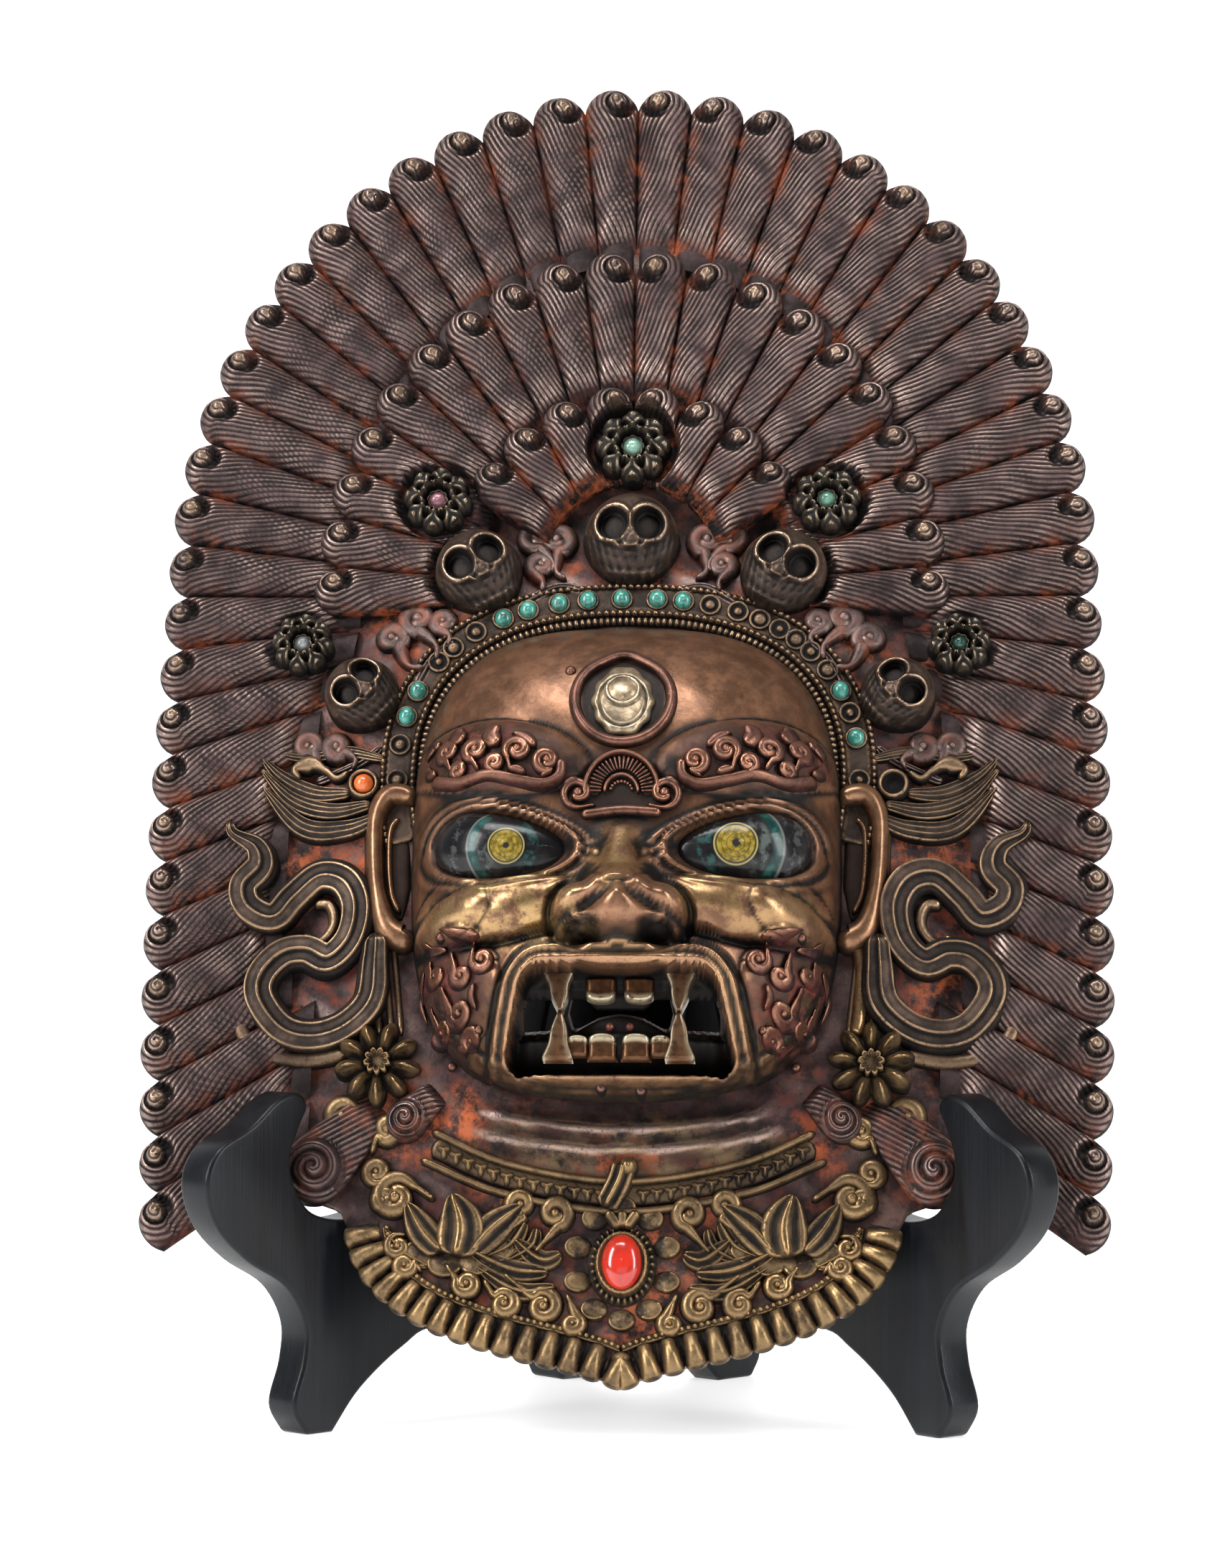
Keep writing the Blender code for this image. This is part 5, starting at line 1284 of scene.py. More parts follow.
def lid(x, y):
    """How far the eye opens up or down at a place across it."""
    return np.where(y > 0, 0.90 + 0.26 * x, 0.96 + 0.10 * x)


def eye_radius(u, v):
    """1 on the eye's edge: narrow at the nose, high and round towards the temple."""
    x = (np.abs(u) - EYE_CENTRE[0]) / EYE_HALF[0]
    y = (v - EYE_CENTRE[1] - 1.4 * x) / EYE_HALF[1]
    y = y / lid(x, y)
    return (np.abs(x) ** EYE_POWER + np.abs(y) ** EYE_POWER) ** (1 / EYE_POWER), y


def soft_max(parts, soft=1.6):
    """The highest of several heights, with soft joins."""
    return soft * np.log(sum(np.exp(np.clip(part / soft, None, 60.0)) for part in parts))


def nose(u, v):
    """Bridge, tip and wings of the nose."""
    side = np.abs(u)
    ridge_half = 5.2 + 4.6 * smoothstep((-20.0 - v) / 14.0)
    along = 5.5 + 12.5 * smoothstep((-12.0 - v) / 26.0)
    end = smoothstep((v + 50.0) / 7.0) * smoothstep((-12.0 - v) / 5.0)
    bridge = along * end * np.exp(-((side / (ridge_half * 1.15)) ** 2.4))
    tip = 22.5 * rest((side / 11.0) ** 2 + ((v + 38.5) / 10.5) ** 2) ** 0.5
    wing = 17.0 * rest(((side - 10.0) / 7.4) ** 2 + ((v + 40.2) / 7.8) ** 2) ** 0.5
    return np.clip(soft_max((bridge, tip, wing, 0.0 * side), 2.6) - 2.6 * math.log(4.0), 0.0, None)


def face_base(u, v):
    """The face's big forms, as height over its rim."""
    side = np.abs(u)
    radius = np.clip(face_radius(u, v), 0.0, 1.0)
    height = FACE_DEPTH * (1.0 - radius**3.4) ** 0.62
    height = height + mound(side, v, (33.0, 4.5), (25.0, 10.5), 5.0, 0.55, 8.0)
    eye, _ = eye_radius(u, v)
    height -= 6.0 * (1.0 - smoothstep((eye - 0.72) / 0.32))
    height += mound(side, v, (30.0, -37.0), (26.0, 7.6), 6.0, 0.55, -6.0)
    height += mound(side, v, (44.5, -36.0), (11.0, 8.6), 3.0, 0.6, -10.0)
    height += nose(u, v)
    gap = mouth_distance(u, v)
    muzzle = 1.0 - smoothstep(gap / 14.0)
    height += muzzle * 5.0
    height += mound(side, v, (42.5, -55.5), (12.0, 14.5), 3.4, 0.5)
    return height


def cheek_radius(side, v):
    """1 round the cheek's foot."""
    return np.sqrt(((side - 29.0) / 26.5) ** 2 + ((v + 37.0 + 0.1 * (side - 29.0)) / 8.1) ** 2)


def wing_radius(side, v):
    """1 round the foot of the nose's wing."""
    return np.hypot((side - 10.4) / 7.2, (v + 40.4) / 7.7)


def face_height(u, v):
    """The whole face, as height over its rim, before the ornament laid on it."""
    u, v = np.asarray(u, float), np.asarray(v, float)
    side = np.abs(u)
    height = face_base(u, v)
    eye, upper = eye_radius(u, v)
    above = smoothstep((upper + 0.15) / 0.4)
    height += above * 1.9 * ridge(eye - 1.10, 0.055)
    height += above * 1.1 * ridge(eye - 1.25, 0.05)
    height -= above * 0.9 * ridge(eye - 1.18, 0.03)
    height += (1 - above) * 1.9 * ridge(eye - 1.10, 0.085)
    height += (1 - above) * 0.8 * ridge(eye - 1.33, 0.06)
    height -= 2.0 * ridge(cheek_radius(side, v) - 1.06, 0.09) * (v < -34.0)
    height -= 2.4 * ridge(wing_radius(side, v) - 1.12, 0.12) * smoothstep((side - 6.5) / 4.0)
    nostril = np.hypot((side - 9.6) / 4.4, (v + 45.6 - 0.16 * (side - 9.6)) / 2.4)
    height -= 5.5 * smoothstep((1.15 - nostril) / 0.35)
    for at, slope in ((-22.8, 0.5), (-25.5, 0.42)):
        fold = 1.2 * ridge(v - at - slope * (side - 7.5), 0.9)
        height += fold * smoothstep((side - 4.8) / 2.0) * smoothstep((13.5 - side) / 3.0)
    height += mouth_edge(u, v)
    chin = np.clip(face_radius(u, v), 0.0, 1.0)
    height -= 0.9 * ridge(chin - 0.94, 0.012) * (v < -60.0)
    height += 0.8 * ridge(chin - 0.965, 0.012) * (v < -60.0)
    height += uneven(u, v, 13.0, 0.16) * (1.0 - smoothstep((1.15 - eye) / 0.2))
    return np.clip(height, 0.0, None)


def mouth_edge(u, v):
    """The frame round the mouth with its two ridges, and the gums behind it."""
    gap = mouth_distance(u, v)
    band = smoothstep((gap + 0.5) / 0.7) * smoothstep((MOUTH_RIM + 0.7 - gap) / 0.9)
    height = 3.6 * band
    height += 1.2 * ridge(gap - 0.6, 0.75) + 1.4 * ridge(gap - 3.7, 0.8)
    height -= 1.2 * ridge(gap - 6.0, 0.7)
    height -= 12.0 * smoothstep(-gap / 1.6 + 0.1)
    gum = np.where(gap < 0.0, 1.0, 0.0)
    teeth = 0.0
    side = np.abs(u)
    for low, high, reach in ((-57.9, -52.9, 2.2), (-77.7, -67.4, 2.6)):
        ledge = smoothstep((v - low) / 0.8) * smoothstep((high - v) / 0.8)
        teeth = teeth + reach * ledge * (0.85 + 0.15 * np.cos(side * 1.05))
    tongue = (side / 13.0) ** 2 + ((v + 69.5) / 7.0) ** 2
    teeth = teeth + 5.2 * rest(tongue) ** 0.45
    return height + gum * teeth


def face_front(u, v):
    return RIM + face_height(u, v)


def mouth_slots():
    """The openings between the gums: one at each side of a fang, and one above the tongue."""
    outer = FANG_PLACE + FANG_WAIST
    middle = (SLOT_TOP + SLOT_BOTTOM) / 2
    right = [
        (outer + 0.9, SLOT_TOP), (25.0, SLOT_TOP), (26.5, middle), (26.5, SLOT_BOTTOM),
        (outer + 0.9, SLOT_BOTTOM), (outer, middle),
    ]
    inner = FANG_PLACE - FANG_WAIST
    half = [
        (TONGUE_HALF_WIDTH * share, SLOT_BOTTOM + TONGUE_RISE * (1.0 - share**2))
        for share in (0.0, 0.5, 0.95)
    ]
    half += [
        (inner - 1.0, SLOT_BOTTOM + 0.4), (inner, middle), (inner - 1.0, SLOT_TOP),
        (9.0, SLOT_TOP), (6.0, SLOT_TOP - 2.6), (0.0, SLOT_TOP - 2.6),
    ]
    centre = half + [(-u, v) for u, v in half[-2:0:-1]]
    return [np.array(loop) for loop in (right, [(-u, v) for u, v in right[::-1]], centre)]


def inside(points, loop):
    """Which points are inside a closed loop."""
    hit = np.zeros(len(points), bool)
    for before, after in zip(np.roll(loop, 1, axis=0), loop):
        spans = (before[1] > points[:, 1]) != (after[1] > points[:, 1])
        rise = after[1] - before[1]
        share = (points[:, 1] - before[1]) / (rise if rise else 1.0)
        hit ^= spans & (points[:, 0] < before[0] + share * (after[0] - before[0]))
    return hit


def nearest_on(points, loop):
    """The nearest place on a closed loop to each point."""
    best = np.full(len(points), 1e9)
    found = points.copy()
    for before, after in zip(np.roll(loop, 1, axis=0), loop):
        along = after - before
        share = np.clip(((points - before) @ along) / (along @ along), 0.0, 1.0)
        place_on = before + share[:, None] * along
        away = np.linalg.norm(points - place_on, axis=1)
        nearer = away < best
        best[nearer] = away[nearer]
        found[nearer] = place_on[nearer]
    return found


def lowest_near(grid, reach):
    """The least height round each place of a grid."""
    for _ in range(reach):
        wide = np.pad(grid, 1, mode="edge")
        grid = np.minimum.reduce(
            (grid, wide[:-2, 1:-1], wide[2:, 1:-1], wide[1:-1, :-2], wide[1:-1, 2:])
        )
    return grid


def make_face():
    """The hollow face: a square grid drawn to its outline, with the mouth cut through."""
    across, down = FACE_COLUMNS, FACE_ROWS
    x = np.linspace(-1.0, 1.0, across)[None, :] * np.ones((down, 1))
    y = np.linspace(-1.0, 1.0, down)[:, None] * np.ones((1, across))
    x, y = (value * (1.14 - 0.14 * value**2) for value in (x, y))
    power = FACE_POWER
    length = (np.abs(x) ** power + np.abs(y) ** power) ** (1.0 / power)
    scale = np.maximum(np.abs(x), np.abs(y)) / np.maximum(length, 1e-6)
    u = x * scale * FACE_HALF_WIDTH
    reach = np.where(y > 0, FACE_TOP - FACE_CENTRE, FACE_CENTRE - FACE_BOTTOM)
    v = FACE_CENTRE + y * scale * reach
    flat = np.column_stack((u.ravel(), v.ravel()))
    quads = grid_quads(down, across, False)
    middles = flat[quads].mean(axis=1)
    gone = np.zeros(len(quads), bool)
    for loop in mouth_slots():
        cut = inside(middles, loop)
        edge = np.intersect1d(quads[cut].ravel(), quads[~cut].ravel())
        flat[edge] = nearest_on(flat[edge], loop)
        gone |= cut
    u, v = flat[:, 0].reshape(u.shape), flat[:, 1].reshape(v.shape)
    height = face_height(u, v)
    behind = np.clip(lowest_near(height, 3) - FACE_WALL, 0.0, None)
    shrink = 1.0 - FACE_WALL / FACE_HALF_WIDTH
    front = np.dstack((u, v, RIM + height))
    back = np.dstack((u * shrink, FACE_CENTRE + (v - FACE_CENTRE) * shrink, RIM + behind))
    quads = quads[~gone]
    if facing(front, quads) < 0:
        quads = quads[:, ::-1]
    worn, deep = wear_and_shade_of(front[..., 2])
    # Inside the mouth: less rubbed and darkened, as painted shade in its hollow with dark patina.
    within = smoothstep((-0.6 - mouth_distance(u, v)) / 1.2)
    worn, deep = worn * (1.0 - 0.8 * within), np.clip(deep + 0.95 * within, 0.0, 1.0)
    shape = Shape()
    red = face_red(u, v)
    # Darker where pigment lies and in the face's hollows and creases: dark patina with painted shade.
    deep = np.clip(1.3 * deep + 0.95 * red + face_grime_and_shade(u, v), 0.0, 1.0)
    shape.add(front, quads, worn=worn, deep=deep, gilt=face_gilding(u, v), red=red)
    shape.add(back, quads[:, ::-1], worn=0.1, deep=0.4)
    count = front.shape[0] * front.shape[1]
    borders = open_edges(quads)
    start, end = borders[:, 0], borders[:, 1]
    walls = np.column_stack((end, start, start + count, end + count))
    shape.quads.append(walls)
    shape.build("worked_face", "face", "bright_copper", "face")


def open_edges(quads):
    """Edges that only one face has, in the direction in which that face runs."""
    edges = np.concatenate([quads[:, [k, (k + 1) % 4]] for k in range(4)])
    key = np.sort(edges, axis=1)
    _, index, counts = np.unique(key, axis=0, return_index=True, return_counts=True)
    return edges[index[counts == 1]]


def wear_and_shade_of(w, detail=3):
    """Where hands rub a height grid, and where its hollows darken with dark patina and painted shade."""
    return wear_and_shade_from(w - blur(w, detail), w - blur(w, detail * 6))


def face_grime_and_shade(u, v):
    """Darkening in the face round the upright eye, the crest, the lids, the nose, the cheeks, the mouth and
    the face's edge: dark patina with painted shade.
    """
    side = np.abs(u)
    grime_and_shade = 0.95 * smoothstep((1.12 - np.hypot(u / 10.6, (v - 19.6) / 11.6)) / 0.12)
    nostril = np.hypot((side - 9.6) / 4.4, (v + 45.6) / 2.6)
    grime_and_shade = np.maximum(grime_and_shade, 0.95 * smoothstep((1.25 - nostril) / 0.3))
    grime_and_shade = np.maximum(grime_and_shade, mound(side, v, (0.0, -6.0), (19.0, 13.0), 0.95, 0.4))
    eye, upper = eye_radius(u, v)
    grime_and_shade = np.maximum(grime_and_shade, 0.9 * ridge(eye - 1.02, 0.05))
    grime_and_shade = np.maximum(grime_and_shade, 0.6 * ridge(eye - 1.20, 0.04))
    grime_and_shade = np.maximum(grime_and_shade, 0.65 * ridge(eye - 1.46, 0.11) * (upper > -0.2))
    wing = wing_radius(side, v)
    grime_and_shade = np.maximum(grime_and_shade, 0.9 * ridge(wing - 1.18, 0.13) * smoothstep((side - 8.0) / 5.0))
    cheek = cheek_radius(side, v)
    grime_and_shade = np.maximum(grime_and_shade, 0.9 * ridge(cheek - 1.12, 0.13) * (v < -34.0) * (side > 12.0))
    gap = mouth_distance(u, v)
    grime_and_shade = np.maximum(grime_and_shade, 0.75 * ridge(gap - 6.2, 1.1))
    grime_and_shade = np.maximum(grime_and_shade, 0.6 * ridge(gap - 2.2, 0.7))
    return np.maximum(grime_and_shade, 0.55 * smoothstep((face_radius(u, v) - 0.93) / 0.05))


def face_gilding(u, v):
    """Where the face keeps its gilding: cheeks, nose bridge and the mouth's frame."""
    side = np.abs(u)
    gilt = mound(side, v, (31.0, -35.5), (25.0, 9.0), 1.1, 0.5, -6.0) * np.where(u < 0, 0.85, 0.5)
    gilt = np.maximum(gilt, mound(u, v, (-1.5, -26.0), (9.0, 14.0), 0.8, 1.2))
    gilt = np.maximum(gilt, mound(u, v, (-20.0, -44.0), (16.0, 6.0), 1.0, 0.5))
    gap = mouth_distance(u, v)
    gilt = np.maximum(gilt, 0.26 * smoothstep((gap + 0.5) / 1.0) * smoothstep((7.0 - gap) / 2.5))
    edge = smoothstep((face_radius(u, v) - 0.90) / 0.05) * (v < -55.0)
    return np.clip(np.maximum(gilt, 0.22 * edge), 0.0, 1.0)


def face_red(u, v):
    """Where pigment stays between the curls of the brows and the beard."""
    side = np.abs(u)
    red = mound(side, v, (33.0, 4.0), (22.0, 9.5), 1.0, 0.4, 8.0)
    beard = mound(side, v, (44.0, -57.0), (11.5, 16.0), 0.8, 0.4)
    return np.clip(np.maximum(red, beard), 0.0, 1.0)


BROW_CURLS = (
    (((21.0, -3.5), (17.5, -3.0)), (19.2, 0.9), 3.1, 1),
    (((28.5, -2.0), (30.5, 1.0)), (27.0, 4.0), 3.3, 1),
    (((37.0, -0.5), (39.0, 2.5)), (38.2, 5.4), 3.0, 1),
    (((44.5, 0.5), (46.5, 3.5)), (46.0, 7.0), 2.6, 1),
    (((32.5, -2.0), (34.5, -0.5)), (33.0, 0.9), 1.9, 1),
    (((43.0, -1.2), (44.5, -0.2)), (43.0, 0.8), 1.6, 1),
)
BROW_LEAVES = (
    (((32.0, 5.4), (34.0, 8.8), (31.8, 12.0)), 2.9),
    (((41.5, 8.4), (43.4, 11.0), (42.0, 13.6)), 2.8),
    (((48.0, 9.6), (50.6, 10.6), (52.0, 7.4)), 2.0),
    (((22.0, 4.4), (25.0, 7.6), (28.6, 8.8)), 1.8),
    (((24.5, -2.6), (27.0, -1.4), (29.6, -1.2)), 1.3),
    (((49.0, 1.8), (51.4, 3.4), (51.6, 5.8)), 1.4),
)
BROW_EDGE = (
    (15.4, 1.5), (16.0, -3.0), (20.5, -5.0), (28.0, -3.6), (35.0, -1.8), (43.0, -2.2), (50.5, 0.8),
)
BEARD_CURLS = (
    (((37.5, -45.0), (38.5, -48.5)), (35.5, -50.0), 2.8, -1),
    (((44.0, -46.0), (44.5, -50.0)), (41.2, -53.2), 2.4, -1),
    (((47.0, -54.0), (46.5, -59.0)), (42.0, -61.5), 3.0, -1),
    (((43.0, -68.0), (41.0, -70.5)), (39.0, -67.8), 2.2, 1),
    (((50.0, -46.5), (51.0, -49.5)), (48.6, -51.2), 1.9, -1),
    (((50.5, -57.0), (50.5, -61.0)), (47.3, -63.8), 2.1, -1),
)
BEARD_FLAMES = (
    (((36.0, -44.5), (42.0, -43.5), (47.0, -41.0)), 1.2),
    (((45.0, -45.5), (49.5, -44.5), (52.5, -41.5)), 1.0),
    (((52.0, -48.0), (53.5, -53.5), (51.5, -60.0)), 0.9),
    (((37.5, -55.5), (38.5, -58.5), (37.0, -62.0)), 1.1),
)


def make_face_ornament():
    """Brows, the ribbed crest between them, the beard's curls, lids and rivets."""
    shape = Shape()
    laid = {"below": face_front}
    for side in (1, -1):
        edge = track(BROW_EDGE, side, 0.6)
        add_ribbon(shape, edge, 1.5, 2.6, columns=11, red=0.3, **laid)
        for stem, centre, radius, hand in BROW_CURLS:
            looks = {"bead": radius * 0.42, "red": 0.35, "step": 0.5, **laid}
            add_curl(shape, side, stem, centre, radius, 1.3, hand, 1.45, 2.7, **looks)
        for points, half in BROW_LEAVES:
            add_ribbon(shape, track(points, side, 0.5), leaf(half), 3.0, columns=11, red=0.15, **laid)
        for stem, centre, radius, hand in BEARD_CURLS:
            looks = {"bead": radius * 0.42, "red": 0.4, "step": 0.5, **laid}
            add_curl(shape, side, stem, centre, radius, 1.25, hand, 1.35, 2.4, **looks)
        for points, half in BEARD_FLAMES:
            add_ribbon(shape, track(points, side, 0.5), leaf(half), 2.2, columns=9, red=0.4, **laid)
        for spot in ((38.3, -43.5), (36.5, -66.0), (46.5, -43.0), (45.0, -70.5)):
            add_dome(shape, (side * spot[0], spot[1]), 1.3, 1.4, count=12, rings=5, red=0.3, **laid)
    for spot in ((-5.0, -80.2), (5.2, -80.6), (-14.0, 28.7)):
        add_dome(shape, spot, 1.5, 1.2, count=14, rings=5, **laid)
    root = spline(((-10.4, -12.9), (0.0, -11.6), (10.6, -12.2)), 0.5)
    add_ribbon(shape, root, 1.5, 2.2, columns=11, **laid)
    add_crest(shape)
    add_third_eye_ring(shape)
    shape.build("face_ornament", "face_ornament", "bright_copper", "face")


def add_crest(shape):
    """The ribbed crest between the brows, with a spiral at each side."""
    laid = {"below": face_front}

    def arc(width, height, step):
        turn = np.linspace(math.radians(-6), math.radians(186), 90)
        return even(np.column_stack((width * np.cos(turn), -6.6 + height * np.sin(turn))), step)

    ribs = 25

    def ribbed(share):
        return 1.7 + 0.7 * np.cos(TAU * share * ribs)

    add_ribbon(shape, arc(6.9, 8.0, 0.2), 2.1, ribbed, band_profile, columns=11, **laid)
    add_ribbon(shape, arc(9.5, 10.7, 0.5), 0.8, 2.6, columns=9, **laid)
    add_ribbon(shape, arc(4.3, 4.6, 0.4), 0.6, 1.9, columns=7, **laid)
    for k in range(9):
        turn = math.radians(18 + 18 * k)
        spot = (2.9 * math.cos(turn), -6.6 + 2.9 * math.sin(turn))
        add_dome(shape, spot, 0.55, 1.0, count=8, rings=4, **laid)
    for side in (1, -1):
        stem = ((6.5, -10.3), (10.0, -12.2))
        add_curl(shape, side, stem, (11.2, -6.9), 4.3, 1.3, 1, 1.1, 2.4, step=0.5, **laid)


def add_third_eye_ring(shape):
    """The raised ring round the upright eye, pointed at the top."""
    turn = np.linspace(0.0, TAU + 0.15, 124)
    point = 1.0 + 0.10 * ridge(turn - math.pi / 2, 0.32)
    line = np.column_stack((12.6 * np.cos(turn) * point**0.2, 19.9 + 12.9 * np.sin(turn) * point))
    add_ribbon(shape, even(line, 0.6), 1.6, 2.9, columns=13, ends=0.01, below=face_front)


def make_third_eye():
    shape = Shape()

    def outline(turn):
        upright = np.abs(np.sin(turn))
        almond = 8.2 * (1.0 + 0.26 * upright**3 + 0.12 * ridge(turn - math.pi / 2, 0.3))
        scallop = 1.0 + 0.035 * np.cos(10 * turn)
        return almond * scallop

    def relief(r, t, du, dv):
        body = 3.3 * rest(r**5) ** 0.5
        groove = 0.7 * ridge(np.hypot(du / 6.2, (dv + 0.3) / 7.4) - 1.0, 0.06)
        ball = np.hypot(du, dv - 2.6)
        boss = 1.2 * ridge(ball - 4.2, 0.5) + 1.4 * np.sqrt(np.clip(1 - (ball / 3.6) ** 2, 0, None))
        return body - groove + boss

    add_round(shape, (0.0, 18.9), outline, relief, 40, 120, below=face_front, follow=True, gilt=0.35)
    shape.build("upright_eye", "pale_gilt", "bright_copper", "face")


def make_eyes():
    """The domed eyes, painted with an iris that has rings, and an arc towards the temple."""
    for name, side in (("right_eye", 1), ("left_eye", -1)):
        shape = Shape()
        rows, count = 30, 96
        share = np.sin(np.linspace(0.0, 1.0, rows) * math.pi / 2)[::-1, None]
        turn = around(count)[None, :]
        x = share * np.sign(np.cos(turn)) * np.abs(np.cos(turn)) ** (2 / EYE_POWER)
        y = share * np.sign(np.sin(turn)) * np.abs(np.sin(turn)) ** (2 / EYE_POWER)
        y = y * lid(x, y)
        u = side * (EYE_CENTRE[0] + 0.99 * EYE_HALF[0] * x)
        v = EYE_CENTRE[1] + 0.99 * EYE_HALF[1] * y + 1.4 * x
        level = face_base(u, v)
        edge = level[:1].mean()
        middle = 0.5 * (level[:1] + edge)
        w = RIM + middle * share**2 + (edge + 0.6) * (1 - share**2) + 7.2 * np.sqrt(1.001 - share**2) - 2.6
        pupil = (side * 29.6, -19.9 if side > 0 else -20.6)
        radius = 5.3 if side > 0 else 4.4
        away = np.hypot(u - pupil[0], v - pupil[1]) / radius
        toward = np.arctan2(v - pupil[1], (u - pupil[0]) * side)
        shape.add_grid(np.dstack((u, v, w)), floor=w.min() - 1.0, closed=True, gilt=away, red=toward)
        shape.build(name, "eye", "bright_copper", "face")


def make_teeth():
    shape = Shape()
    for side in (1, -1):
        centre = side * FANG_PLACE
        add_fang(shape, centre + side * 0.6, -53.3, centre, -63.2, 3.6)
        add_fang(shape, centre + side * 0.4, -76.0, centre, -63.9, 3.5)
        add_tooth(shape, side * 4.9, -54.8, -60.4, 4.1)
        add_tooth(shape, side * 4.3, -75.6, -69.4, 3.9)
        add_tooth(shape, side * 10.6, -74.6, -69.9, 2.9)
    shape.build("teeth", "tooth", "bright_copper", "face")
    flesh = Shape()
    for side in (1, -1):
        add_dome(flesh, (side * 2.6, -66.0), 1.2, 1.4, count=12, rings=5, below=face_front, red=1.0)
    flesh.build("tongue_rivets", "face_ornament", "bright_copper", "face")


def tooth_level():
    return RIM + float(face_height(np.array(0.0), np.array(-54.5)))


def add_fang(shape, root_u, root_v, tip_u, tip_v, half):
    """A flat-faced fang that tapers from the gum to its point."""
    rows, columns = 16, 13
    share = np.linspace(0.0, 1.0, rows)[:, None]
    c = np.linspace(-1.0, 1.0, columns)[None, :]
    width = half * (1.0 - 0.80 * share**1.2) * (1.0 + 0.10 * np.cos(share * 9.0))
    u = root_u + (tip_u - root_u) * share + width * c
    v = root_v + (tip_v - root_v) * share + 0.0 * c
    lip = np.abs(c) ** 4
    w = tooth_level() + 4.2 * (1.0 - 0.25 * share) + 0.7 * lip - 0.9 * np.abs(c) ** 12
    shape.add_grid(np.dstack((u, v, w)), floor=tooth_level() - 2.5, detail=2, gilt=0.9 * lip + 0.1 * share)


def add_tooth(shape, u_place, root_v, tip_v, half):
    """A short tooth with a rounded end and a pale rim."""
    rows, columns = 12, 15
    share = np.linspace(0.0, 1.0, rows)[:, None]
    c = np.linspace(-1.0, 1.0, columns)[None, :]
    length = 0.72 + 0.28 * np.sqrt(rest(c**2))
    u = u_place + half * c * (1.0 - 0.06 * share)
    v = root_v + (tip_v - root_v) * share * length
    end = smoothstep((share - 0.62) / 0.25)
    w = tooth_level() + 2.6 * rest(c**6) ** 0.5 + 0.6 * end + 0.0 * share
    shape.add_grid(np.dstack((u, v, w)), floor=tooth_level() - 2.5, detail=2, gilt=np.clip(1.2 * end, 0, 1))


# The stand


BOARD_THICKNESS = 11.0
BOARD_SPREAD = math.radians(42.0)
BOARD_CROSSING = 46.8
BOARD_ROUNDING = 3.4
LAP_HEIGHT = 118.0
LAP_REACH = 0.119
ABOVE_BOARDS = 0.256
BELOW_BOARDS = -0.02
BOARD_PROFILE = (
    (132.5, 8.0), (129.0, 19.0), (128.5, 29.0), (135.0, 39.0), (148.0, 46.5), (158.0, 55.5),
    (162.0, 66.5), (158.0, 75.5), (147.0, 81.0), (138.0, 87.4), (131.0, 89.0), (127.8, 85.4),
    (130.5, 80.0), (133.4, 73.0), (132.6, 66.1), (127.0, 58.3), (118.0, 55.5), (109.0, 55.9),
    (94.0, 59.1), (72.0, 65.1), (54.0, 78.1), (43.0, 101.1), (36.0, 136.1), (37.0, 191.0),
    (39.0, 222.0), (35.0, 233.0), (24.0, 236.0), (-8.4, 222.0), (-20.0, 196.0), (-21.0, 138.0),
    (-22.0, 88.0), (-28.0, 52.0), (-40.0, 24.0), (-45.0, 8.0), (-41.5, 0.0), (-28.0, 0.0),
    (-18.0, 8.0), (0.0, 17.0), (38.0, 23.0), (80.0, 24.5), (94.0, 20.0), (109.0, 10.5),
    (119.0, 0.0), (128.0, 0.0),
)


def board_outline():
    """The board's outline as a dense smooth loop that keeps its flat feet."""
    corners = np.array(BOARD_PROFILE)
    loop = np.vstack((corners[-2:], corners, corners[:2]))
    smooth = []
    for k in range(len(corners)):
        p0, p1, p2, p3 = (loop[(k + step) % len(loop)] for step in (1, 2, 3, 4))
        if p1[1] == 0.0 and p2[1] == 0.0:
            p0, p3 = 2 * p1 - p2, 2 * p2 - p1
        elif p1[1] == 0.0:
            p0 = 2 * p1 - p2
        elif p2[1] == 0.0:
            p3 = 2 * p2 - p1
        smooth += [between(p0, p1, p2, p3, t) for t in np.linspace(0.0, 1.0, 6, endpoint=False)]
    smooth = np.array(smooth)
    smooth[:, 1] = np.maximum(smooth[:, 1], 0.0)
    return smooth


def board_place(side, height):
    """Where a board stands: turned about the upright line where the two cross."""
    along = Vector((side * math.sin(BOARD_SPREAD), -math.cos(BOARD_SPREAD), 0.0))
    up = Vector((0.0, 0.0, 1.0))
    turn = Matrix((along, up, along.cross(up))).transposed().to_4x4()
    turn.translation = Vector((0.0, BOARD_CROSSING * MM, height))
    return turn


def make_stand():
    for name, side in (("left_stand_board", -1), ("right_stand_board", 1)):
        outline = board_outline()
        mesh = bpy.data.meshes.new("turned_" + name)
        half = BOARD_THICKNESS / 2
        build = bmesh.new()
        ring = [build.verts.new((r * MM, z * MM, -half * MM)) for r, z in outline]
        face = build.faces.new(ring)
        swept = bmesh.ops.extrude_face_region(build, geom=[face])
        lifted = [item for item in swept["geom"] if isinstance(item, bmesh.types.BMVert)]
        bmesh.ops.translate(build, verts=lifted, vec=(0.0, 0.0, BOARD_THICKNESS * MM))
        bmesh.ops.recalc_face_normals(build, faces=build.faces)
        build.to_mesh(mesh)
        build.free()
        board = link(bpy.data.objects.new("rounded_" + name, mesh))
        mesh.transform(board_place(side, 0.0))
        cut_lap(board, -side, side < 0)
        place(board, MATERIALS["black_wood"], "black_wood", (name,))


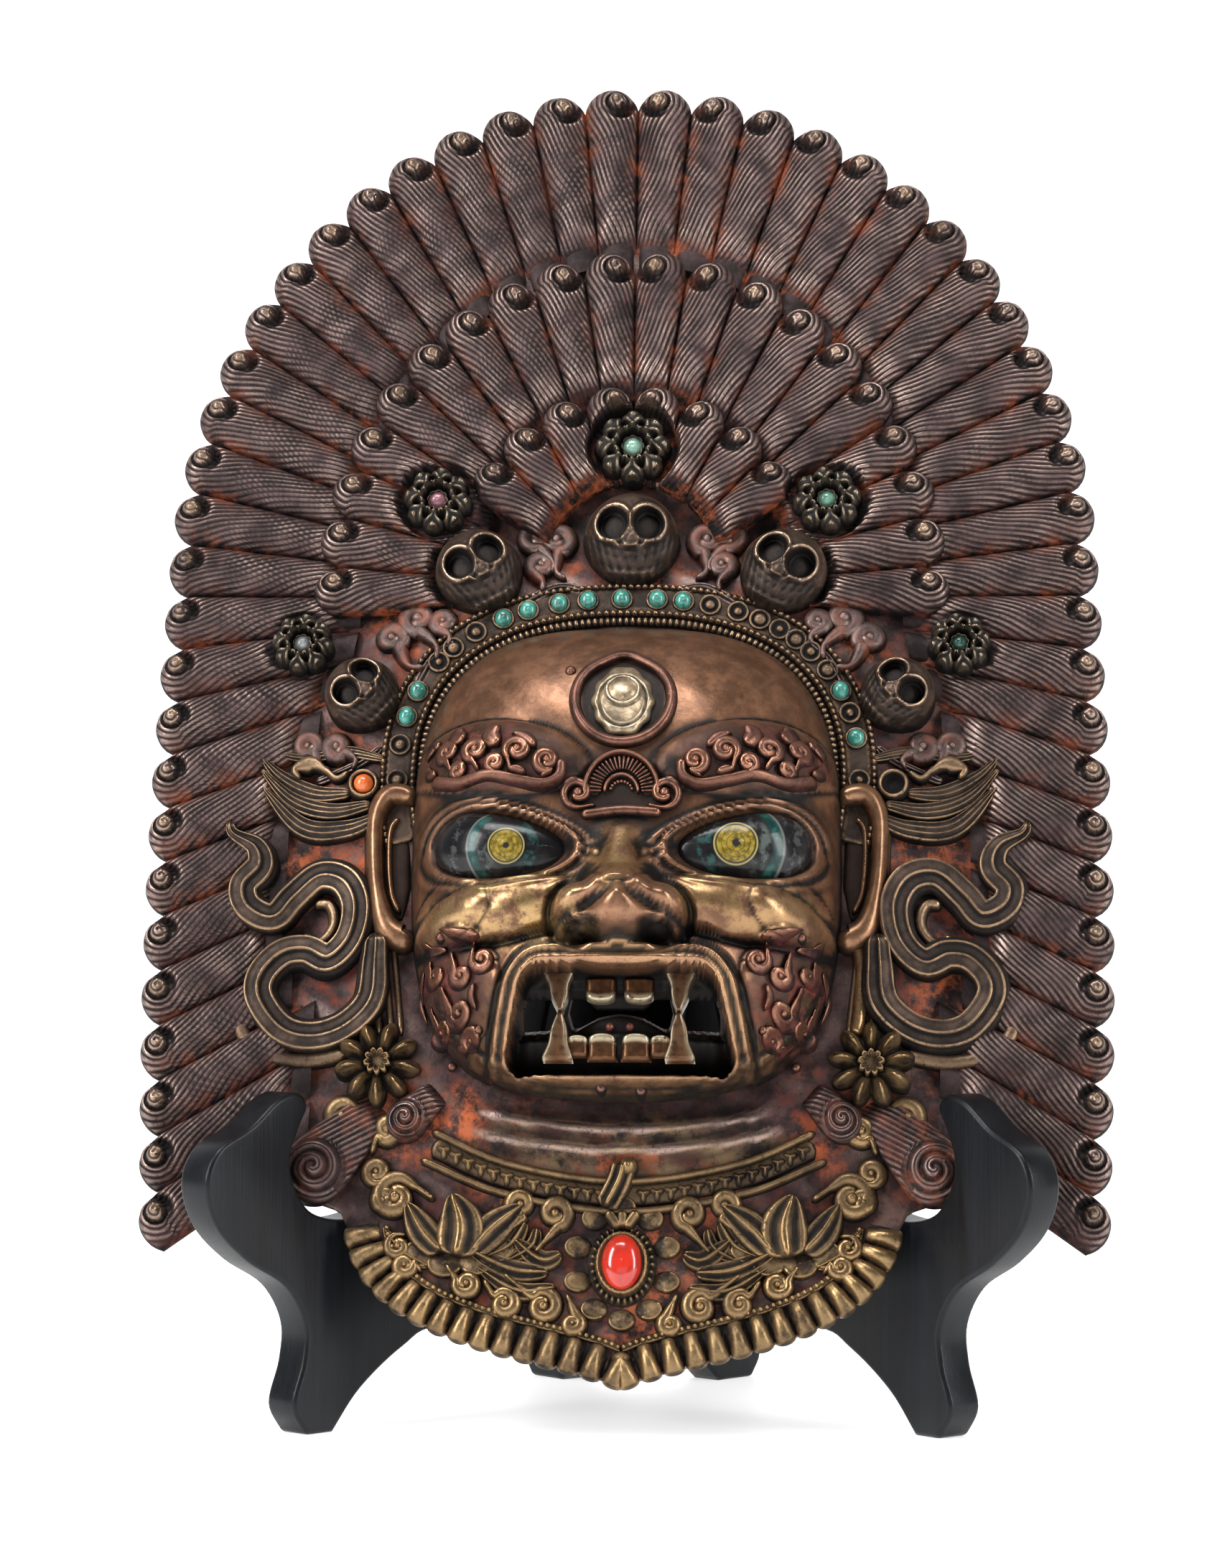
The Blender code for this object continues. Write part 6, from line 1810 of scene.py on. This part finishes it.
def cut_lap(board, side, over):
    """Takes away the half of the board that the other one fills where they cross."""
    half = (BOARD_THICKNESS / 2 + FIT_GAP) * MM
    low, high = (LAP_HEIGHT - FIT_GAP / 2) * MM, ABOVE_BOARDS
    if not over:
        low, high = BELOW_BOARDS, (LAP_HEIGHT + FIT_GAP / 2) * MM
    box = bpy.data.meshes.new("lap_room")
    build = bmesh.new()
    bmesh.ops.create_cube(build, size=1.0)
    build.to_mesh(box)
    build.free()
    turn = board_place(side, (low + high) / 2)
    size = Matrix.Diagonal(Vector((2 * LAP_REACH, high - low, 2 * half, 1.0)))
    box.transform(turn @ size)
    cutter = link(bpy.data.objects.new("lap_room", box))
    cut = board.modifiers.new("lap", "BOOLEAN")
    cut.operation, cut.solver, cut.object = "DIFFERENCE", "EXACT", cutter
    rounding = board.modifiers.new("soft_edges", "BEVEL")
    rounding.width, rounding.segments = BOARD_ROUNDING * MM, 5
    rounding.limit_method, rounding.angle_limit = "ANGLE", math.radians(50.0)
    graph = bpy.context.evaluated_depsgraph_get()
    finished = bpy.data.meshes.new_from_object(board.evaluated_get(graph))
    board.modifiers.clear()
    board.data = finished
    bpy.data.objects.remove(cutter)
    finished.shade_smooth()
    finished.set_sharp_from_angle(angle=math.radians(40.0))


# Materials


class Value:
    """A node's output that can be reckoned with like a number."""

    def __init__(self, tree, socket):
        self.tree, self.socket = tree, socket

    def math(self, kind, *parts):
        node = self.tree.nodes.new("ShaderNodeMath")
        node.operation = kind
        for socket, part in zip(node.inputs, parts):
            connect(self.tree, part, socket)
        return Value(self.tree, node.outputs[0])

    def __add__(self, other):
        return self.math("ADD", self, other)

    def __sub__(self, other):
        return self.math("SUBTRACT", self, other)

    def __rsub__(self, other):
        return self.math("SUBTRACT", other, self)

    def __mul__(self, other):
        return self.math("MULTIPLY", self, other)

    def __abs__(self):
        return self.math("ABSOLUTE", self)

    def highest(self, other):
        return self.math("MAXIMUM", self, other)

    def clamped(self):
        """The same value, held between 0 and 1."""
        self.socket.node.use_clamp = True
        return self

    def ramp(self, low, high):
        """0 at low, 1 at high and smooth between them."""
        node = self.tree.nodes.new("ShaderNodeMapRange")
        node.interpolation_type = "SMOOTHSTEP"
        connect(self.tree, self, node.inputs["Value"])
        node.inputs["From Min"].default_value = low
        node.inputs["From Max"].default_value = high
        return Value(self.tree, node.outputs["Result"])

    def ring(self, low, high, soft):
        """1 between low and high, with soft edges."""
        return self.ramp(low - soft, low + soft) * self.ramp(high + soft, high - soft)


def connect(tree, value, socket):
    """Links a value to a socket, or sets a plain number or colour on it."""
    if isinstance(value, Value):
        tree.links.new(value.socket, socket)
    elif isinstance(value, tuple) and socket.type == "RGBA":
        socket.default_value = (*value, 1.0)
    else:
        socket.default_value = value


class Finish:
    """A Principled material and short ways to wire its nodes."""

    def __init__(self, name, metallic=1.0, roughness=0.4):
        self.material = bpy.data.materials.new(name)
        self.material.use_nodes = True
        self.tree = self.material.node_tree
        self.shader = self.tree.nodes["Principled BSDF"]
        self.set(Metallic=metallic, Roughness=roughness)
        self.place = Value(self.tree, self.tree.nodes.new("ShaderNodeTexCoord").outputs["Object"])

    def set(self, **sockets):
        for name, value in sockets.items():
            connect(self.tree, value, self.shader.inputs[name.replace("_", " ")])

    def value(self, name):
        """A value that the mesh carries at each of its points."""
        node = self.tree.nodes.new("ShaderNodeAttribute")
        node.attribute_name = name
        return Value(self.tree, node.outputs["Fac"])

    def noise(self, scale, detail, roughness, stretch=None):
        node = self.tree.nodes.new("ShaderNodeTexNoise")
        node.inputs["Scale"].default_value = scale
        node.inputs["Detail"].default_value = detail
        node.inputs["Roughness"].default_value = roughness
        place = self.place
        if stretch is not None:
            mapping = self.tree.nodes.new("ShaderNodeMapping")
            mapping.inputs["Scale"].default_value = stretch
            connect(self.tree, place, mapping.inputs["Vector"])
            place = Value(self.tree, mapping.outputs["Vector"])
        connect(self.tree, place, node.inputs["Vector"])
        return Value(self.tree, node.outputs["Fac"])

    def mix(self, share, first, second):
        node = self.tree.nodes.new("ShaderNodeMix")
        node.data_type = "RGBA"
        colours = [socket for socket in node.inputs if socket.type == "RGBA"]
        for socket, value in zip((node.inputs["Factor"], *colours), (share, first, second)):
            connect(self.tree, value, socket)
        return Value(self.tree, next(socket for socket in node.outputs if socket.type == "RGBA"))

    def edges(self, low, high):
        """Convex places, by the mesh's own curvature."""
        node = self.tree.nodes.new("ShaderNodeNewGeometry")
        return Value(self.tree, node.outputs["Pointiness"]).ramp(low, high)

    def bump(self, height, distance, strength):
        node = self.tree.nodes.new("ShaderNodeBump")
        node.inputs["Distance"].default_value = distance
        node.inputs["Strength"].default_value = strength
        connect(self.tree, height, node.inputs["Height"])
        normal = self.shader.inputs["Normal"]
        if normal.links:
            self.tree.links.new(normal.links[0].from_socket, node.inputs["Normal"])
        self.tree.links.new(node.outputs["Normal"], normal)


EARTH = ((0.085, 0.013, 0.008), (0.47, 0.105, 0.026))
WINE = ((0.040, 0.006, 0.006), (0.19, 0.026, 0.018))
# Near-black of hollows and creases: dark patina together with painted shade.
GRIME_AND_SHADE = (0.0075, 0.0060, 0.0055)
GILDING = (0.47, 0.315, 0.14)


def worked_metal(
    name, patina, copper, wear, red, gold, smooth, rough, grain=1.0, mottle=1.0, pigments=EARTH
):
    """Old worked copper: dark patina, rubbed ridges, gilding and pigment left in the ground."""
    finish = Finish(name)
    blotch = finish.noise(55.0, 5.0, 0.65)
    speck = finish.noise(900.0, 3.0, 0.7)
    patch = finish.noise(160.0, 5.0, 0.7)
    flakes = finish.noise(190.0, 6.0, 0.72)
    deep = finish.value("deep")
    rubbed = finish.value("worn") * blotch.ramp(0.25, 0.62) + finish.edges(0.505, 0.60) * 0.55
    rubbed = (rubbed * speck.ramp(0.22, 0.52) * wear - deep).clamped()
    turn = finish.value("lines") * math.pi
    strand = abs(turn.math("SINE", turn))
    rubbed = rubbed * strand.ramp(0.30, 0.80)
    # Darker in the grooves between strands: painted shade for grooves that the mesh only roughly has.
    deep = deep.highest(strand.ramp(0.55, 0.05) * 0.75)
    tones = (1.0 - 0.4 * mottle, 1.0 + mottle)
    low, high = (tuple(tone * value for value in patina) for tone in tones)
    colour = finish.mix(patch.ramp(0.38, 0.66), low, high)
    # Hollows and creases turn near-black: dark patina with painted shade.
    colour = finish.mix(deep, colour, GRIME_AND_SHADE)
    colour = finish.mix(rubbed, colour, copper)
    gilt = (finish.value("gilt") * patch.ramp(0.38, 0.58) * gold).clamped() * (1.0 - deep * 0.8)
    colour = finish.mix(gilt, colour, GILDING)
    pigment = finish.value("red") * flakes.ramp(0.42, 0.62) * (1.0 - rubbed).clamped()
    pigment = (pigment * red).clamped()
    hue = finish.mix(finish.noise(45.0, 3.0, 0.6).ramp(0.40, 0.64), *pigments)
    bright = rubbed.highest(gilt)
    spread = (1.0 - bright) * (rough - smooth) + smooth + (speck - 0.5) * 0.30
    finish.set(
        Base_Color=finish.mix(pigment, colour, hue),
        Metallic=(1.0 - pigment * 0.9) * (bright * 0.35 + 0.65),
        Roughness=(spread + (pigment * 0.25 + deep * 0.22)).clamped(),
    )
    finish.bump(strand, 0.30 * MM, 0.8)
    finish.bump(finish.noise(1500.0, 3.0, 0.6), 0.09 * MM * grain, 0.55)
    finish.bump(finish.noise(330.0, 5.0, 0.65), 0.40 * MM * grain, 0.6)
    return finish.material


def stone_finish(name, colour, second, roughness, coat, scale=420.0, veins=0.0):
    """A clouded stone or glass, with fine dark veins where asked."""
    finish = Finish(name, 0.0, roughness)
    tone = finish.mix(finish.noise(scale, 5.0, 0.65).ramp(0.36, 0.64), colour, second)
    if veins:
        line = abs(finish.noise(scale * 0.7, 4.0, 0.5) - 0.5)
        tone = finish.mix(line.ramp(0.035, 0.0) * veins, tone, (0.05, 0.04, 0.03))
    finish.set(Base_Color=tone, Coat_Weight=coat, Coat_Roughness=0.08)
    finish.bump(finish.noise(scale * 3.0, 3.0, 0.6), 0.06 * MM, 0.5)
    return finish.material


def eye_finish():
    """Black glossy eye, with an iris of thin rings and a green arc towards the temple."""
    finish = Finish("painted_eye", 0.0, 0.24)
    away = finish.value("gilt")
    toward = abs(finish.value("red"))
    grain = finish.noise(700.0, 4.0, 0.6)
    white = finish.noise(260.0, 4.0, 0.65)
    ragged = away + (grain - 0.5) * 0.16
    outward, inward = toward.ramp(1.25, 0.8), toward.ramp(1.9, 2.5)
    teal = finish.mix(white.ramp(0.45, 0.62), (0.005, 0.030, 0.028), (0.02, 0.085, 0.075))
    yellow = finish.mix(grain.ramp(0.38, 0.6), (0.11, 0.078, 0.010), (0.27, 0.195, 0.03))
    ink = (0.05, 0.04, 0.02)
    colour = finish.noise(120.0, 4.0, 0.6).ramp(0.45, 0.8)
    colour = finish.mix(colour, (0.006, 0.006, 0.007), (0.022, 0.018, 0.018))
    for share, paint in (
        (ragged.ring(1.85, 2.30, 0.10) * outward, teal),
        (ragged.ring(1.18, 1.72, 0.12) * outward * white.ramp(0.42, 0.6), (0.075, 0.088, 0.082)),
        (away.ring(2.30, 2.42, 0.03) * outward * 0.6, (0.17, 0.18, 0.165)),
        (ragged.ring(2.6, 3.6, 0.2) * outward * white.ramp(0.50, 0.62), (0.05, 0.05, 0.049)),
        (ragged.ring(1.25, 1.9, 0.1) * inward * white.ramp(0.46, 0.62), (0.02, 0.065, 0.06)),
        (away.ramp(1.12, 1.06), (0.30, 0.25, 0.10)),
        (away.ramp(1.04, 0.99), (0.04, 0.035, 0.02)),
        (away.ramp(0.95, 0.90), yellow),
        (away.ring(0.68, 0.72, 0.03) * 0.85, ink),
        (away.ring(0.42, 0.46, 0.03) * 0.85, ink),
        (ragged.ramp(0.26, 0.16), (0.02, 0.02, 0.02)),
    ):
        colour = finish.mix(share, colour, paint)
    finish.set(Base_Color=colour, Coat_Weight=0.15, Specular_IOR_Level=0.22, Coat_Roughness=0.06)
    finish.bump(finish.noise(500.0, 3.0, 0.5), 0.06 * MM, 0.4)
    return finish.material


def wood_finish():
    """Ebonised wood under a satin finish, its fine grain upright."""
    finish = Finish("ebonised_wood", 0.0, 0.36)
    grain = finish.noise(1.0, 4.0, 0.65, stretch=(1500.0, 1500.0, 26.0))
    streak = finish.noise(1.0, 4.0, 0.6, stretch=(260.0, 260.0, 9.0))
    colour = finish.mix(streak.ramp(0.3, 0.7), (0.0020, 0.0025, 0.0036), (0.0045, 0.0058, 0.0082))
    # Lighter on the rounded edges: a painted highlight.
    colour = finish.mix(finish.edges(0.52, 0.60) * 0.35, colour, (0.012, 0.014, 0.018))
    finish.set(Base_Color=colour, Roughness=(grain - 0.5) * 0.22 + 0.36)
    finish.set(Coat_Weight=0.06, Specular_IOR_Level=0.22, Coat_Roughness=0.24)
    finish.bump(grain, 0.10 * MM, 0.5)
    return finish.material


def tooth_finish():
    """Brown worn tooth faces with pale gilt edges."""
    finish = Finish("teeth_metal", 0.75, 0.36)
    grain = finish.noise(500.0, 4.0, 0.6)
    colour = finish.mix(grain.ramp(0.35, 0.65), (0.070, 0.030, 0.013), (0.13, 0.058, 0.025))
    colour = finish.mix(finish.value("gilt") * grain.ramp(0.30, 0.5), colour, (0.48, 0.41, 0.28))
    # Darker in the teeth's hollows: painted shade with dark patina.
    colour = finish.mix(finish.value("deep") * 0.8, colour, (0.02, 0.015, 0.012))
    finish.set(Base_Color=colour)
    finish.bump(grain, 0.08 * MM, 0.5)
    return finish.material


# Patina and rubbed copper of each metal, then its wear, pigment, gilding, roughness where
# bright and where dull, and for some its grain, mottling and pigments.
METALS = {
    "mantle": ((0.034, 0.020, 0.020), (0.30, 0.215, 0.185), 1.25, 0.75, 0.6, 0.30, 0.52),
    "ornament": ((0.044, 0.028, 0.020), (0.34, 0.22, 0.13), 1.1, 0.9, 0.7, 0.30, 0.55),
    "face": ((0.16, 0.075, 0.040), (0.42, 0.235, 0.14), 0.6, 1.0, 1.0, 0.25, 0.33, 0.35, 0.55, WINE),
    "face_ornament": (
        (0.065, 0.027, 0.021), (0.34, 0.165, 0.105), 0.85, 1.2, 0.9, 0.26, 0.40, 0.6, 1.0, WINE
    ),
    "skull": ((0.060, 0.038, 0.028), (0.36, 0.25, 0.17), 1.0, 0.5, 0.3, 0.24, 0.40, 0.7),
    "rosette": ((0.030, 0.026, 0.022), (0.26, 0.21, 0.15), 1.0, 0.4, 0.4, 0.28, 0.48),
    "collar": ((0.042, 0.025, 0.016), (0.28, 0.18, 0.088), 0.95, 0.9, 0.55, 0.28, 0.50),
    "pale_gilt": ((0.26, 0.20, 0.13), (0.66, 0.55, 0.40), 0.9, 0.0, 0.25, 0.22, 0.34, 0.5),
}
# Name and two colours of each stone, its roughness and coat, and for some its clouds' scale and veins
STONES = {
    "turquoise": ("turquoise_stone", (0.018, 0.17, 0.13), (0.06, 0.31, 0.25), 0.30, 0.6, 300.0, 0.7),
    "coral": ("red_coral", (0.40, 0.010, 0.006), (0.55, 0.026, 0.012), 0.20, 0.8, 120.0, 0.25),
    "orange_coral": ("orange_coral", (0.60, 0.10, 0.015), (0.75, 0.18, 0.035), 0.28, 0.6),
    "pale_green": ("pale_green_glass", (0.16, 0.34, 0.26), (0.30, 0.50, 0.40), 0.10, 0.9),
    "pink": ("pink_glass", (0.26, 0.10, 0.13), (0.42, 0.20, 0.24), 0.10, 0.9),
    "clear": ("grey_glass", (0.20, 0.22, 0.22), (0.42, 0.45, 0.45), 0.08, 0.9),
    "leaf_green": ("soft_green_glass", (0.10, 0.28, 0.20), (0.22, 0.42, 0.31), 0.10, 0.9),
    "dark_green": ("dark_green_glass", (0.02, 0.07, 0.055), (0.05, 0.16, 0.12), 0.08, 0.9),
}


def make_materials():
    found = {name: worked_metal(name + "_copper", *values) for name, values in METALS.items()}
    found.update({key: stone_finish(*values) for key, values in STONES.items()})
    found.update({"eye": eye_finish(), "tooth": tooth_finish(), "black_wood": wood_finish()})
    return found


# Floor, light and camera


FLOOR_HALF = 9.0
SOFT_BOXES = {
    "left_box": ((-1.05, -0.75, 0.75), (0.40, 1.0), 18.0),
    "right_box": ((1.10, -0.55, 0.55), (0.26, 1.0), 10.0),
    "top_box": ((-0.15, -0.45, 1.35), (0.8, 0.4), 12.0),
    "low_front": ((0.05, -1.6, 0.30), (1.1, 0.4), 1.0),
}
SURROUNDINGS = {"From Min": 0.10, "From Max": 0.85, "To Min": 0.13, "To Max": 1.35}
FOCAL_PIXELS = 6500.0
IMAGE_HEIGHT = 2184.0
SENSOR = 36.0
CAMERA_DISTANCE = 1.25
CAMERA_HEIGHT = 0.169
CAMERA_AZIMUTH = math.radians(2.5)
HUB_OFFSET = 23.0


def make_floor():
    mesh = bpy.data.meshes.new("floor")
    corners = [(x * FLOOR_HALF, y * FLOOR_HALF, 0.0) for x, y in ((-1, -1), (1, -1), (1, 1), (-1, 1))]
    mesh.from_pydata(corners, [], [(0, 1, 2, 3)])
    floor = link(bpy.data.objects.new("floor", mesh))
    finish = Finish("pale_floor", 0.0, 0.5)
    finish.set(Base_Color=(0.90, 0.90, 0.90), Emission_Color=(1.0, 1.0, 1.0), Emission_Strength=0.60)
    mesh.materials.append(finish.material)


def make_studio():
    """Soft boxes at both sides and above, and surroundings that are bright behind the object."""
    middle = Vector((0.0, 0.0, 0.19))
    for name, (spot, size, power) in SOFT_BOXES.items():
        data = bpy.data.lights.new(name, "AREA")
        data.shape, data.energy = "RECTANGLE", power
        data.size, data.size_y = size
        lamp = link(bpy.data.objects.new(name, data))
        lamp.location = spot
        lamp.rotation_euler = (middle - Vector(spot)).to_track_quat("-Z", "Y").to_euler()
    world = bpy.data.worlds.new("studio")
    world.use_nodes = True
    tree = world.node_tree
    source = tree.nodes.new("ShaderNodeTexCoord")
    parts = tree.nodes.new("ShaderNodeSeparateXYZ")
    tree.links.new(source.outputs["Generated"], parts.inputs[0])
    strength = Value(tree, parts.outputs["Y"]).ramp(0.0, 1.0)
    for name, value in SURROUNDINGS.items():
        strength.socket.node.inputs[name].default_value = value
    back = tree.nodes["Background"]
    connect(tree, strength, back.inputs["Strength"])
    connect(tree, (1.0, 1.0, 1.0), back.inputs["Color"])
    bpy.context.scene.world = world
    bpy.context.scene.view_settings.view_transform = "Standard"


def make_camera():
    data = bpy.data.cameras.new("camera")
    data.sensor_width = SENSOR
    data.lens = FOCAL_PIXELS * SENSOR / IMAGE_HEIGHT
    data.shift_x = -HUB_OFFSET / IMAGE_HEIGHT
    camera = link(bpy.data.objects.new("camera", data))
    camera.location = (
        CAMERA_DISTANCE * math.sin(CAMERA_AZIMUTH),
        HUB[1] * MM - CAMERA_DISTANCE * math.cos(CAMERA_AZIMUTH),
        CAMERA_HEIGHT,
    )
    turn = Matrix.Rotation(CAMERA_AZIMUTH, 4, "Z") @ Matrix.Rotation(math.pi / 2, 4, "X")
    camera.rotation_euler = turn.to_euler()
    bpy.context.scene.camera = camera


MATERIALS = make_materials()
for make in (
    make_camera, make_studio, make_floor, make_sheet, make_locks, make_low_locks, make_side_ornament,
    make_crown_band, make_crown_scrolls, make_skulls, make_rosettes, make_jaw_flowers, make_stones,
    make_collar, make_face, make_face_ornament, make_third_eye, make_eyes, make_teeth, make_stand,
):
    make()

bpy.context.view_layer.update()
